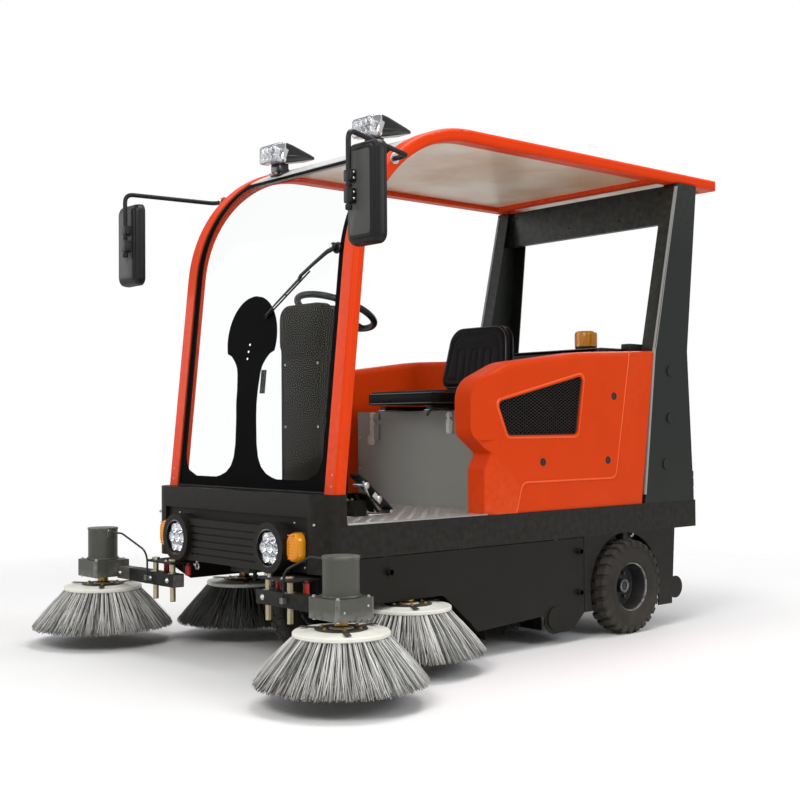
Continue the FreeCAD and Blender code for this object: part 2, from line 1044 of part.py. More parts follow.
def make_deck():
    inner = S.half_width - S.sheet
    z = (rail_top(), S.deck_top)
    outline = [
        (-inner, -S.floor_front), (inner, -S.floor_front), (inner, S.rail_rear),
        (rail_inner(), S.rail_rear),
        (rail_inner(), S.box_rear), (-rail_inner(), S.box_rear), (-rail_inner(), S.rail_rear),
        (-inner, S.rail_rear),
    ]
    node(pad("deck_plate", "XY", [outline], z))
    narrow = wing_inner() - S.play
    step = S.wing_leg_front + S.play
    floor = [
        (-inner, -S.floor_front), (inner, -S.floor_front), (inner, -step), (narrow, -step),
        (narrow, -S.play),
        (-narrow, -S.play), (-narrow, -step), (-inner, -step),
    ]
    node(pad("floor_plate", "XY", [floor], (S.deck_top, S.deck_top + S.floor_sheet)))


# Front bumper and lamps

def bumper_ring(name, front, z):
    """A U of sheet round the nose, open at the back, its front face set back between two flats."""
    outer = [(-S.half_width, -S.bumper_rear), (-S.half_width, -S.bumper_front, S.bumper_round)]
    if front is not None:
        outer += [(-bumper_flat(), -S.bumper_front), (-bumper_flat(), -front),
                  (bumper_flat(), -front), (bumper_flat(), -S.bumper_front)]
    outer += [(S.half_width, -S.bumper_front, S.bumper_round), (S.half_width, -S.bumper_rear)]
    wall = S.half_width - S.sheet
    depth = S.bumper_front - S.bumper_step - S.sheet
    inner = [(wall, -S.bumper_rear), (wall, -depth, S.bumper_round - S.sheet - S.bumper_step),
             (-wall, -depth, S.bumper_round - S.sheet - S.bumper_step), (-wall, -S.bumper_rear)]
    return pad(name, "XY", [outer + inner], z)


def make_bumper():
    low = bumper_ring("bumper_low_ring", S.bumper_front - S.bumper_step, (S.bumper_low, S.bumper_band_low))
    high = bumper_ring("bumper_high_ring", None, (S.bumper_band_low, S.bumper_top))
    top_outline = [
        (-S.half_width, -S.cowl_rear), (-S.half_width, -S.bumper_front, S.bumper_round),
        (S.half_width, -S.bumper_front, S.bumper_round), (S.half_width, -S.cowl_rear),
    ]
    top = pad("bumper_top_sheet", "XY", [top_outline], (S.bumper_top - S.sheet, S.bumper_top))
    wall = S.half_width
    back = box("bumper_back", (-wall, wall), (-S.cowl_rear - S.sheet, -S.cowl_rear),
               (S.deck_top, S.bumper_top))
    sides = box("bumper_cheek", (wall - S.sheet, wall), (-S.bumper_rear, -S.cowl_rear),
                (S.deck_top, S.bumper_top))
    edge = S.panel_front + S.panel_gap
    outline = [(-S.bumper_rear, slope_z(S.bumper_rear)), (-edge, slope_z(edge)),
               (-edge, S.skirt_band_low), (-S.bumper_rear, S.skirt_band_low)]
    strip = pad("bumper_strip", "YZ", [outline], (wall - S.sheet, wall))
    node(fuse("front_bumper", low, high, top, back, sides, mirrored("bumper_cheek_right", sides),
              strip, mirrored("bumper_strip_right", strip)))


def pod_grooves():
    """Five level grooves across the lamp panel's face."""
    reach = S.lamp_x - S.bezel_radius
    grooves = []
    for i in range(-2, 3):
        z = (S.pod_low + S.pod_top) / 2 + i * S.pod_groove_pitch
        grooves.append(box("pod_groove_%d" % (i + 3), (-reach, reach),
                           (-S.pod_front - S.overrun, -S.pod_front + S.pod_groove),
                           (z - S.pod_groove / 2, z + S.pod_groove / 2)))
    return grooves


def make_lamp_panel():
    back = -S.bumper_front + S.bumper_step
    face = pad("pod_face", "XZ", [rectangle((-S.lamp_x, S.lamp_x), (S.pod_low, S.pod_top), S.pod_round)],
               (-S.pod_front, back))
    bezel = cylinder("pod_bezel", "Y", (-S.bezel_front, back), (S.lamp_x, S.lamp_z), S.bezel_radius)
    bore = cylinder("pod_bore", "Y", (-S.bezel_front - S.overrun, -S.lamp_seat), (S.lamp_x, S.lamp_z),
                    S.lamp_radius + S.play)
    body = fuse("pod_body", face, bezel, mirrored("pod_bezel_right", bezel))
    node(cut("lamp_panel", body, bore, mirrored("pod_bore_right", bore), *pod_grooves()))


def make_headlamps():
    bowl = cylinder("headlamp_bowl", "Y", (-S.lamp_front, -S.lamp_seat), (S.lamp_x, S.lamp_z),
                    S.lamp_radius)
    pieces = [bowl]
    for i in range(7):
        ring = 0 if i == 0 else S.led_ring
        angle = 60 * i
        x = S.lamp_x + ring * math.cos(math.radians(angle))
        z = S.lamp_z + ring * math.sin(math.radians(angle))
        pieces.append(cylinder("led_%d" % i, "Y", (-S.lamp_front - S.led_bulge, -S.lamp_front), (x, z),
                               S.led_radius))
    lamp = fuse("headlamp", *pieces)
    node(both("headlamps", lamp))


def make_indicators():
    half = S.indicator_wide / 2
    tall = S.indicator_tall / 2
    outline = rectangle((indicator_x() - half, indicator_x() + half),
                        (S.indicator_z - tall, S.indicator_z + tall), S.indicator_round)
    lens = pad("indicator", "XZ", [outline], (-S.indicator_front, -S.bumper_front + S.bumper_step))
    nose = cylinder("indicator_clear", "Y", (-S.bezel_front - S.overrun, -S.bumper_front + S.bumper_step),
                    (S.lamp_x, S.lamp_z), S.bezel_radius + S.play)
    flat = box("indicator_flat", (bumper_flat() - S.play, S.half_width),
               (-S.bumper_front - S.play, -S.cowl_rear),
               (S.pod_low, S.bumper_top))
    node(both("indicator_lamps", cut("indicator_trim", lens, nose, flat)))


# Skirts

def skirt_span():
    return (S.half_width - S.sheet, S.half_width)


def slope_z(y):
    """Height of the front corner's slope between the bumper and the brush notch."""
    share = (S.bumper_front - y) / (S.bumper_front - S.front_slope_y)
    return S.bumper_low - (S.bumper_low - S.notch_z) * share


def make_skirt_bands():
    band = [(-S.bumper_rear, S.skirt_band_low), (S.skirt_rear, S.skirt_band_low),
            (S.skirt_rear, S.deck_top),
            (-S.bumper_rear, S.deck_top)]
    node(both("skirt_bands", pad("skirt_band", "YZ", [band], skirt_span())))


def make_access_panels():
    top = S.skirt_band_low - S.panel_gap
    outline = [
        (-S.panel_front, top), (-S.panel_front, slope_z(S.panel_front)),
        (-S.front_slope_y, S.notch_z, S.notch_round), (-S.notch_rear, S.notch_z, S.notch_round),
        (-S.notch_mid_y, S.notch_mid_z), (-S.sill_front_y, S.sill_front_z, S.sill_round),
        (S.sill_mid_y, S.sill_mid_z, S.sill_round), (S.lobe_front_y, S.lobe_z, S.lobe_round),
        (S.lobe_rear_y, S.lobe_z, S.lobe_round), (S.panel_rear, S.sill_rear_z), (S.panel_rear, top),
    ]
    panel = pad("access_sheet", "YZ", [outline], skirt_span())
    pieces = [panel]
    for i, (y, z) in enumerate(((-S.latch_front_y, S.latch_high_z), (S.latch_rear_y, S.latch_high_z),
                                (S.latch_rear_y, S.latch_low_z))):
        pieces.append(cylinder("panel_latch_%d" % i, "X", (S.half_width, S.half_width + S.latch_tall),
                               (y, z), S.latch_radius))
    pieces.append(cylinder("panel_disc", "X", (S.half_width, S.half_width + S.sheet),
                           (S.disc_y, S.disc_z), S.disc_radius))
    node(both("access_panels", fuse("access_panel", *pieces)))


def make_arch_guards():
    """The skirt's strips before and behind the rear wheel, with the lug at the tail."""
    low = S.sill_rear_z
    strip = box("arch_front_block", skirt_span(), (S.panel_rear + S.panel_gap, S.wheel_y),
                (low, S.skirt_band_low))
    rear = [(S.wheel_y, S.guard_low), (S.guard_rear, S.guard_low), (S.guard_top_rear, S.skirt_band_low),
            (S.wheel_y, S.skirt_band_low)]
    tail = pad("arch_rear_block", "YZ", [rear], skirt_span())
    lug = cylinder("arch_lug", "X", skirt_span(), (S.lug_y, S.lug_z), S.lug_radius)
    hole = cylinder("arch_hole", "X", (S.half_width - S.sheet - S.overrun, S.half_width + S.overrun),
                    (S.wheel_y, S.tyre_radius), S.arch_radius)
    below = box("arch_below", (S.half_width - S.sheet - S.overrun, S.half_width + S.overrun),
                (S.wheel_y - S.arch_radius, S.wheel_y + S.arch_radius), (0, S.tyre_radius))
    front = cut("arch_front", strip, hole)
    back = cut("arch_rear", fuse("arch_rear_body", tail, lug), hole, below)
    node(both("arch_guards", group("arch_guard", front, back)))


# Canopy, roof and windscreen

def canopy_corner(inset):
    """Where the leaning post and the flat roof would meet, a little inside the outer curve."""
    top = S.canopy_top - inset
    lean = sine(S.canopy_lean) / cosine(S.canopy_lean)
    foot = -S.canopy_foot_y + inset / cosine(S.canopy_lean)
    return foot + lean * (top - S.bumper_top), top


def bend_centre():
    """Centre of the bend between post and roof."""
    lean = sine(S.canopy_lean) / cosine(S.canopy_lean)
    z = S.canopy_top - S.canopy_arc
    y = -S.canopy_foot_y + lean * (z - S.bumper_top) + S.canopy_arc / cosine(S.canopy_lean)
    return y, z


def canopy_band(inset, thickness, rear):
    """Side outline of a band that follows post, bend and roof."""
    outer_y, outer_z = canopy_corner(inset)
    inner_y, inner_z = canopy_corner(inset + thickness)
    foot_outer = -S.canopy_foot_y + inset / cosine(S.canopy_lean)
    foot_inner = -S.canopy_foot_y + (inset + thickness) / cosine(S.canopy_lean)
    return [
        (foot_outer, S.bumper_top), (foot_inner, S.bumper_top),
        (inner_y, inner_z, S.canopy_arc - inset - thickness), (rear, inner_z), (rear, outer_z),
        (outer_y, outer_z, S.canopy_arc - inset),
    ]


def make_canopy_rails():
    band = canopy_band(as_size(0), S.canopy_rail_deep, S.canopy_rear)
    rail = pad("canopy_rail_left", "YZ", [band], (canopy_half() - S.canopy_rail_wide, canopy_half()))
    foot = float(S.bumper_top + S.play)

    def on_outer_face(edge):
        return on_level(edge, "X", canopy_half()) and edge.BoundBox.ZMax > foot
    round_edges(rail, S.canopy_edge_round, on_outer_face)
    node(both("canopy_rails", rail))


def make_canopy_cross_bars():
    inner = canopy_half() - S.canopy_rail_wide
    top = S.canopy_top - S.roof_drop - S.roof_sheet
    mid = box("canopy_bar_mid", (-inner, inner), (S.roof_cross_mid - S.cross_tube, S.roof_cross_mid),
              (top - S.cross_tube / 2, top))
    rear = box("canopy_bar_rear", (-inner, inner), (S.canopy_rear - S.cross_tube, S.canopy_rear),
               (S.canopy_top - S.canopy_rail_deep, S.canopy_top))
    node(group("canopy_bars", mid, rear))


def make_roof_panel():
    inner = canopy_half() - S.canopy_rail_wide
    band = pad("roof_band", "YZ", [canopy_band(S.roof_drop, S.roof_sheet, S.canopy_rear - S.cross_tube)],
               (-inner, inner))
    keep = box("roof_keep", (-S.half_width, S.half_width), (-S.roof_front, S.canopy_rear),
               (S.canopy_top - S.canopy_arc, S.canopy_top))
    node(common("roof_panel", band, keep))


def make_windscreen():
    inner = canopy_half() - S.canopy_rail_wide
    band = pad("glass_band", "YZ", [canopy_band(S.glass_drop, S.glass_sheet, S.canopy_rear)],
               (-inner, inner))
    keep = box("glass_keep", (-S.half_width, S.half_width), (-S.bumper_front, -S.glass_top_y),
               (S.bumper_top, S.canopy_top))
    node(common("windscreen", band, keep))


# Rear pillars

def pillar_top():
    return S.canopy_top - S.canopy_rail_deep


def make_rear_pillars():
    sheet_in = S.pillar_sheet
    low, top, waist = S.deck_top, pillar_top(), S.pillar_waist_z
    outer = [(S.pillar_foot_front, low), (S.pillar_foot_rear, low), (S.pillar_waist_rear, waist),
             (S.pillar_head_rear, top), (S.pillar_head_front, top), (S.pillar_waist_front, waist)]
    inner = [(S.pillar_foot_front + sheet_in, low - S.overrun),
             (S.pillar_foot_rear - sheet_in, low - S.overrun),
             (S.pillar_waist_rear - sheet_in, waist), (S.pillar_head_rear - sheet_in, top + S.overrun),
             (S.pillar_head_front + sheet_in, top + S.overrun), (S.pillar_waist_front + sheet_in, waist)]
    shell = pad("pillar_shell", "YZ", [outer], (pillar_half() - S.pillar_deep, pillar_half()))
    hollow = pad("pillar_hollow", "YZ", [inner],
                 (pillar_half() - S.pillar_deep - S.overrun, pillar_half() - sheet_in))
    body = cut("pillar_channel", shell, hollow)
    caps = []
    for i, (y, z) in enumerate(((S.cap_low_y, S.cap_low_z), (S.cap_mid_y, S.cap_mid_z),
                                (S.cap_high_y, S.cap_high_z))):
        caps.append(cylinder("pillar_cap_%d" % i, "X", (pillar_half(), pillar_half() + S.cap_tall), (y, z),
                             S.cap_radius))
    node(both("rear_pillars", fuse("rear_pillar", body, *caps)))


def make_rear_header():
    reach = pillar_half() - S.pillar_sheet
    header_low = pillar_top() - S.header_deep
    y = (S.header_y, S.header_y + S.pillar_sheet)
    plate = box("header_plate", (-reach, reach), y, (header_low, pillar_top()))
    inner = pillar_half() - S.pillar_deep
    low = box("header_lip_low", (-inner, inner), (S.header_y, S.header_y + S.header_flange),
              (header_low, header_low + S.pillar_sheet))
    high = box("header_lip_high", (-inner, inner), (S.header_y, S.header_y + S.header_flange),
               (pillar_top() - S.pillar_sheet, pillar_top()))
    node(fuse("rear_header", plate, low, high))


# Orange side panels with their grilles

def wing_outline(inset):
    """Side outline of the moulded panel, drawn in by an inset all round."""
    return [
        (-S.wing_leg_front + inset, S.deck_top + inset),
        (-S.wing_leg_front + inset, S.wing_leg_top - inset, S.wing_leg_round),
        (-S.wing_neck + inset, S.wing_neck_z - inset / 2, S.wing_neck_round),
        (-S.wing_nose + inset, S.wing_nose_low + inset, S.wing_chin_round - inset / 2),
        (-S.wing_nose + inset, S.wing_nose_high - inset, S.wing_nose_round - inset / 2),
        (-S.wing_crown_front_y + inset, S.wing_crown_front_z - inset, S.wing_brow_round),
        (S.wing_crown_y, S.wing_crown_z - inset, S.wing_crown_round),
        (S.wing_top_rear - inset, S.wing_top_z - inset),
        (S.wing_foot_rear - inset, S.deck_top + inset),
    ]


def grille_outline(inset):
    """Outline of the vent in the side panel, drawn in by an inset."""
    bend = S.grille_round - inset
    return [
        (-S.grille_nose_y + inset, S.grille_nose_z - inset, bend),
        (-S.grille_chin_y + inset, S.grille_low_z + inset, bend),
        (S.grille_rear_y - inset, S.grille_low_z + inset, bend),
        (S.grille_top_y - inset, S.grille_top_z - inset, bend),
    ]


def front_facet(name, depth, rear, front, z):
    """What the slant at the panel's front corner takes off between two heights."""
    beyond = wing_outer() + S.overrun
    outline = [(wing_outer(), -rear), (wing_outer() - depth, -front),
               (wing_outer() - depth, -S.wing_nose - S.overrun),
               (beyond, -S.wing_nose - S.overrun), (beyond, -rear)]
    return pad(name, "XY", [outline], z)


def panel_set_back():
    """The low and rear part of the panel's outer face, which lies behind a step."""
    low, high = S.deck_top - S.overrun, S.wing_top_z + S.overrun
    tail = S.wing_top_rear + S.overrun
    outline = [(-S.step_foot_y, low), (S.step_front_y, S.step_top_z, S.step_round),
               (S.step_rear_y, S.step_top_z, S.step_round), (S.step_head_y, high), (tail, high),
               (tail, low)]
    return pad("wing_set_back", "YZ", [outline], (wing_outer() - S.step_depth, wing_outer() + S.overrun))


def make_side_panels():
    shell = pad("wing_shell", "YZ", [wing_outline(as_size(0))], (wing_inner(), wing_outer()))
    foot, tail = float(S.deck_top + S.play), float(S.wing_foot_rear + S.play)

    def on_long_edge(edge):
        flat = on_level(edge, "X", wing_outer()) or on_level(edge, "X", wing_inner())
        at_tail = edge.BoundBox.YMin > tail - float(S.play) * 2
        return flat and edge.BoundBox.ZMax > foot and not at_tail
    round_edges(shell, S.wing_edge_round, on_long_edge)
    wall = S.wing_wall
    hollow = pad("wing_hollow", "YZ", [wing_outline(wall * 2)],
                 (wing_inner() + wall, wing_outer() - wall * 3))
    under = box("wing_under", (wing_inner() + wall, wing_outer() - wall * 3),
                (-S.wing_leg_front + wall * 2, S.wing_foot_rear - wall * 2),
                (S.deck_top - S.overrun, S.deck_top + wall * 3))
    recess = pad("wing_vent", "YZ", [grille_outline(as_size(0))],
                 (wing_outer() - S.grille_recess, wing_outer() + S.overrun))
    high = front_facet("wing_nose_facet", S.nose_facet, S.nose_facet_rear, S.wing_nose,
                       (S.facet_notch_z, S.wing_crown_front_z))
    leg = front_facet("wing_leg_facet", S.leg_facet, S.leg_facet_rear, S.wing_leg_front,
                      (S.deck_top - S.overrun, S.facet_notch_z))
    bead = pad("wing_bead", "YZ", [grille_outline(-S.bead_wide)],
               (wing_outer() - S.grille_recess, wing_outer() + S.bead_high))
    body = fuse("wing_body", cut("wing_faced", shell, high, leg, panel_set_back()), bead)
    node(both("side_panels", cut("side_panel", body, hollow, under, recess)))


def make_grilles():
    """A frame with two crossing layers of slanted bars, trimmed to the vent's outline."""
    out = wing_outer() - S.grille_recess + S.grille_sheet * 2
    span = (wing_outer() - S.grille_recess, out)
    rim = pad("grille_rim", "YZ", [grille_outline(S.play), grille_outline(S.grille_sheet * 2)], span)
    field = pad("grille_field", "YZ", [grille_outline(S.grille_sheet)], span)
    layers = []
    middle = (S.grille_low_z + S.grille_top_z) / 2
    for layer in range(2):
        low = span[0] + layer * S.grille_bar
        bars = []
        for i in range(-8, 9):
            y = (S.grille_top_y - S.grille_nose_y) / 2 + i * S.grille_pitch
            bar = box("grille_bar_%d_%d" % (layer, i + 8), (0, S.grille_bar), (0, S.grille_bar),
                      (-S.grille_top_y, S.grille_top_y))
            turn = FreeCAD.Rotation(FreeCAD.Vector(1, 0, 0), 45 if layer else -45)
            lean = S.grille_top_y * math.sqrt(0.5)
            side = lean if layer else -lean
            place(bar, low, y + side, middle - lean, turn)
            bars.append(bar)
        layers += bars
    mesh = common("grille_mesh", fuse("grille_bars", *layers), field)
    node(both("vent_grilles", fuse("vent_grille", rim, mesh)))


# Battery box, lid and seat

def make_battery_box():
    block = box("battery_box_block", (-box_half(), box_half()), (0, S.box_rear),
                (S.deck_top, S.box_lid_seam))
    wall = S.box_wall
    room = box("battery_box_room", (-box_half() + wall, box_half() - wall), (wall, S.box_rear - wall),
               (S.deck_top + wall, S.box_lid_seam + S.overrun))
    shell = cut("battery_box_shell", block, room)
    half = S.catch_wide / 2
    keeper = box("box_keeper", (S.catch_x - half, S.catch_x + half), (-S.catch_deep, 0),
                 (S.box_lid_seam - S.catch_tall, S.box_lid_seam - S.catch_tall / 4))
    node(fuse("battery_box", shell, keeper, mirrored("box_keeper_right", keeper), make_hinge_ears()))
    inset = S.battery_inset
    node(box("battery_pack", (-box_half() + inset, box_half() - inset), (inset, S.box_rear - inset),
             (S.deck_top + S.box_wall, S.battery_top)))


def make_hinge_ears():
    """Ears on the box's back that carry the lid's hinge."""
    x = (S.hinge_half + S.play, S.hinge_half + S.play + S.hinge_ear)
    centre = S.box_rear + S.hinge_radius
    rear = centre + S.hinge_radius
    foot = box("hinge_foot", x, (S.box_rear - S.box_wall / 2, rear),
               (S.hinge_foot_z, S.box_lid_seam - S.overrun))
    neck = box("hinge_neck", x, (S.box_rear + S.play, rear), (S.box_lid_seam - S.overrun, S.hinge_z))
    eye = cylinder("hinge_eye", "X", x, (centre, S.hinge_z), S.hinge_radius - S.play)
    ear = fuse("hinge_ear", foot, neck, eye)
    return both("hinge_ears", ear)


def make_box_lid():
    gap = S.play
    z = (S.box_lid_seam + gap, S.lid_top)
    block = box("lid_block", (-box_half(), box_half()), (0, S.box_rear), z)
    wall = S.box_wall
    room = box("lid_room", (-box_half() + wall, box_half() - wall), (wall, S.box_rear - wall),
               (z[0] - S.overrun, S.lid_top - wall))
    half = S.catch_wide / 2
    catch = box("lid_catch", (S.catch_x - half, S.catch_x + half), (-S.catch_deep, 0),
                (z[0], S.lid_top - S.catch_deep))
    barrel = cylinder("lid_barrel", "X", (-S.hinge_half, S.hinge_half),
                      (S.box_rear + S.hinge_radius, S.hinge_z),
                      S.hinge_radius)
    web = box("lid_web", (-S.hinge_half, S.hinge_half), (S.box_rear - wall, S.box_rear + S.hinge_radius),
              (S.hinge_z, S.hinge_z + S.hinge_radius))
    node(fuse("box_lid", cut("lid_shell", block, room), catch, mirrored("lid_catch_right", catch), barrel,
              web))


def make_seat():
    rail_half = S.seat_rail_wide / 2
    rail = box("seat_rail", (S.seat_rail_x - rail_half, S.seat_rail_x + rail_half),
               (-S.seat_rail_front, S.seat_rail_rear), (S.lid_top, S.seat_low - S.play))
    cushion = pad("seat_cushion", "XY",
                  [rectangle((-S.seat_half, S.seat_half), (-S.seat_front, S.seat_rear), S.seat_round)],
                  (S.seat_low, S.seat_top))
    lean = S.back_lean
    profile = [(S.back_front, S.back_low), (S.back_rear, S.back_low),
               (S.back_rear + lean, S.back_top, S.back_edge_round),
               (S.back_front + lean, S.back_top, S.back_edge_round)]
    front = pad("seat_back_side", "YZ", [profile], (-S.back_half, S.back_half))
    face = pad("seat_back_face", "XZ",
               [[(-S.back_half, S.back_low, S.back_round), (S.back_half, S.back_low, S.back_round),
                 (S.back_top_half, S.back_top, S.back_top_round),
                 (-S.back_top_half, S.back_top, S.back_top_round)]],
               (0, S.back_rear + lean + S.overrun))
    node(group("seat_pads", cushion, common("seat_back", front, face)))
    half = S.bracket_wide / 2
    reach = S.stay_reach
    top_y = S.back_rear + S.play + lean * reach / (S.back_top - S.back_low)
    stay_profile = [(S.back_rear - S.bracket_wide, S.lid_top), (S.back_rear, S.lid_top),
                    (S.back_rear + S.play + S.stay_thick, S.seat_top),
                    (top_y + S.stay_thick, S.back_low + reach), (top_y, S.back_low + reach),
                    (S.back_rear + S.play, S.back_low)]
    stay = pad("seat_stay", "YZ", [stay_profile], (S.seat_rail_x - half, S.seat_rail_x + half))
    node(both("seat_frame", group("seat_frame_left", rail, stay)))


# Rear hood, beacon and hopper

def make_rear_hood():
    outline = [(S.hood_front, S.hood_low), (S.hood_tail_y, S.hood_low), (S.hood_tail_y, S.hood_tail_z),
               (S.hood_rear, S.hood_top, S.hood_tail_round),
               (S.hood_slope_y, S.hood_top, S.hood_brow_round),
               (S.hood_front, S.hood_shoulder)]
    half = wing_inner() - S.play
    shell = pad("hood_shell", "YZ", [outline], (-half, half))
    foot = float(S.hood_low + S.play)
    round_edges(shell, S.hood_edge_round, lambda edge: on_side(edge, half) and edge.BoundBox.ZMax > foot)
    wall = S.sheet
    inner = [(S.hood_front + wall, S.hood_low - S.overrun), (S.hood_tail_y - wall, S.hood_low - S.overrun),
             (S.hood_tail_y - wall, S.hood_tail_z - wall), (S.hood_rear - wall, S.hood_top - wall),
             (S.hood_slope_y, S.hood_top - wall), (S.hood_front + wall, S.hood_shoulder)]
    room = pad("hood_room", "YZ", [inner], (-half + wall, half - wall))
    base = cylinder("beacon_base", "Z", (S.hood_top - wall, S.beacon_low), (0, S.beacon_y), S.beacon_radius)
    node(fuse("rear_hood", cut("hood_sheet", shell, room), base))


def make_beacon():
    top = S.beacon_low + S.beacon_tall
    profile = [(0, S.beacon_low), (S.beacon_radius, S.beacon_low),
               (S.beacon_radius - S.beacon_taper, top, S.beacon_round),
               (0, top)]
    beacon = revolve("beacon", "XZ", [profile], "V_Axis")
    place(beacon, 0, S.beacon_y, 0)
    node(beacon)


def hopper_pressing():
    """The raised field that stiffens the hopper's rear face, below the handle."""
    inset = S.hopper_panel_inset
    outline = rectangle((-S.hopper_face_half + inset, S.hopper_face_half - inset),
                        (S.hopper_low + inset, S.handle_z - inset), S.hopper_panel_round)
    rear = S.hopper_rear + S.sheet
    return pad("hopper_pressing", "XZ", [outline], (rear - S.sheet / 2, rear + S.hopper_panel_proud))


def make_hopper():
    wall = S.hopper_wall
    block = box("hopper_block", (-S.hopper_half, S.hopper_half), (S.hopper_front, S.hopper_rear),
                (S.hopper_low, S.hopper_high))
    room = box("hopper_room", (-S.hopper_half + wall, S.hopper_half - wall),
               (S.hopper_front + wall, S.hopper_rear - wall),
               (S.hopper_low + wall, S.hopper_high + S.overrun))
    mouth = box("hopper_mouth", (-S.hopper_half + wall, S.hopper_half - wall),
                (S.hopper_front - S.overrun, S.hopper_front + wall + S.overrun),
                (S.hopper_low + wall, S.hopper_mouth_z))
    face = box("hopper_face", (-S.hopper_face_half, S.hopper_face_half),
               (S.hopper_rear, S.hopper_rear + S.sheet),
               (S.hopper_low, S.hopper_face_top))
    pressed = hopper_pressing()
    flange = box("hopper_flange", (S.hopper_half, S.hopper_half + S.runner_wide - S.play),
                 (S.hopper_front, S.hopper_rear),
                 (S.runner_z + S.runner_tall + S.play, S.runner_z + S.runner_tall + S.play + S.flange_tall))
    shell = cut("hopper_shell", block, room, mouth)
    y = S.hopper_rear + S.sheet + S.handle_stand
    grip = cylinder("hopper_grip", "X", (-S.handle_half, S.handle_half), (y, S.handle_z), S.handle_radius)
    leg = cylinder("hopper_leg", "Y", (S.hopper_rear, y), (S.handle_half - S.handle_leg_inset, S.handle_z),
                   S.handle_leg_radius)
    node(fuse("hopper", shell, face, pressed, flange, mirrored("hopper_flange_right", flange), grip, leg,
              mirrored("hopper_leg_right", leg)))


# Wheels

def tyre(name, wide):
    """A tyre about the X axis, its round shoulders down to the rim's flanges."""
    half = wide / 2
    inner = S.rim_radius - S.rim_flange
    profile = [(-half + S.rim_flange, inner), (half - S.rim_flange, inner),
               (half, S.rim_radius + S.rim_flange, S.rim_flange),
               (half - S.rim_wall, S.tyre_radius, S.tyre_shoulder),
               (-half + S.rim_wall, S.tyre_radius, S.tyre_shoulder),
               (-half, S.rim_radius + S.rim_flange, S.rim_flange)]
    return revolve(name, "XZ", [profile], "H_Axis")


def deep_rim(name, wide, bore):
    """A deep rim about the X axis: a barrel, a disc set far in from the outer face, and a hub."""
    half = wide / 2 - S.rim_flange
    barrel = S.rim_radius - S.rim_flange
    disc_out = half - S.rim_dish
    disc_in = disc_out - S.rim_wall
    profile = [
        (-half, barrel - S.rim_wall * 2), (disc_in, barrel - S.rim_wall * 2), (disc_in, bore),
        (disc_out + S.hub_reach, bore),
        (disc_out + S.hub_reach, S.hub_radius), (disc_out, S.hub_radius),
        (disc_out, barrel - S.rim_wall * 3, S.rim_wall),
        (half - S.rim_wall, barrel - S.rim_wall), (half, barrel), (-half, barrel),
    ]
    return revolve(name, "XZ", [profile], "H_Axis")


def wheel_nuts(name, x):
    """Six nuts in a ring on the disc."""
    nuts = []
    for i in range(6):
        angle = math.radians(60 * i)
        nuts.append(cylinder("%s_%d" % (name, i), "X", (x, x + S.lug_nut_tall),
                             (S.lug_ring * math.cos(angle), S.lug_ring * math.sin(angle)), S.lug_nut))
    return nuts


def make_rear_wheels():
    z = S.tyre_radius
    rim = deep_rim("rear_rim_disc", S.tyre_wide, S.stub_radius + S.play)
    disc_out = S.tyre_wide / 2 - S.rim_flange - S.rim_dish
    rim = fuse("rear_rim_nuts", rim, *wheel_nuts("rear_nut", disc_out))
    left = moved("rear_rim_left", rim, wheel_x(), S.wheel_y, z)
    node(left)
    node(mirrored("rear_rim_right", left))
    tread = moved("rear_tyre_left", tyre("rear_tyre_ring", S.tyre_wide), wheel_x(), S.wheel_y, z)
    node(tread)
    node(mirrored("rear_tyre_right", tread))


def make_front_wheel():
    wide = S.front_wheel_wide
    half = wide / 2 - S.rim_flange
    barrel = S.rim_radius - S.rim_flange
    bore = S.axle_radius + S.play
    web = S.rim_wall / 2
    profile = [
        (-half, barrel - S.rim_wall * 2), (-web, barrel - S.rim_wall * 2), (-web, S.hub_radius),
        (-S.front_hub_half, S.hub_radius),
        (-S.front_hub_half, bore), (S.front_hub_half, bore), (S.front_hub_half, S.hub_radius),
        (web, S.hub_radius),
        (web, barrel - S.rim_wall * 2), (half, barrel - S.rim_wall * 2), (half, barrel), (-half, barrel),
    ]
    rim = revolve("front_rim", "XZ", [profile], "H_Axis")
    node(place(rim, 0, -S.front_wheel_y, S.tyre_radius))
    node(place(tyre("front_tyre", wide), 0, -S.front_wheel_y, S.tyre_radius))


def make_fork():
    inner = S.front_wheel_wide / 2 + S.fork_side_gap
    outer = inner + S.fork_leg
    half = S.fork_leg_wide / 2
    centre = -S.front_wheel_y
    leg_outline = [(centre - half, S.tyre_radius - half, S.fork_leg_round),
                   (centre + half, S.tyre_radius - half, S.fork_leg_round),
                   (centre + half, S.crown_low + S.crown_tall), (centre - half, S.crown_low + S.crown_tall)]
    leg = pad("fork_leg", "YZ", [leg_outline], (inner, outer))
    crown = box("fork_crown", (-outer, outer), (centre - half, centre + half),
                (S.crown_low, S.crown_low + S.crown_tall))
    stem = cylinder("fork_stem", "Z", (S.crown_low, rail_top()), (0, centre), S.stem_radius)
    axle = cylinder("fork_axle", "X", (-outer, outer), (centre, S.tyre_radius), S.axle_radius)
    node(fuse("steering_fork", leg, mirrored("fork_leg_right", leg), crown, stem, axle))


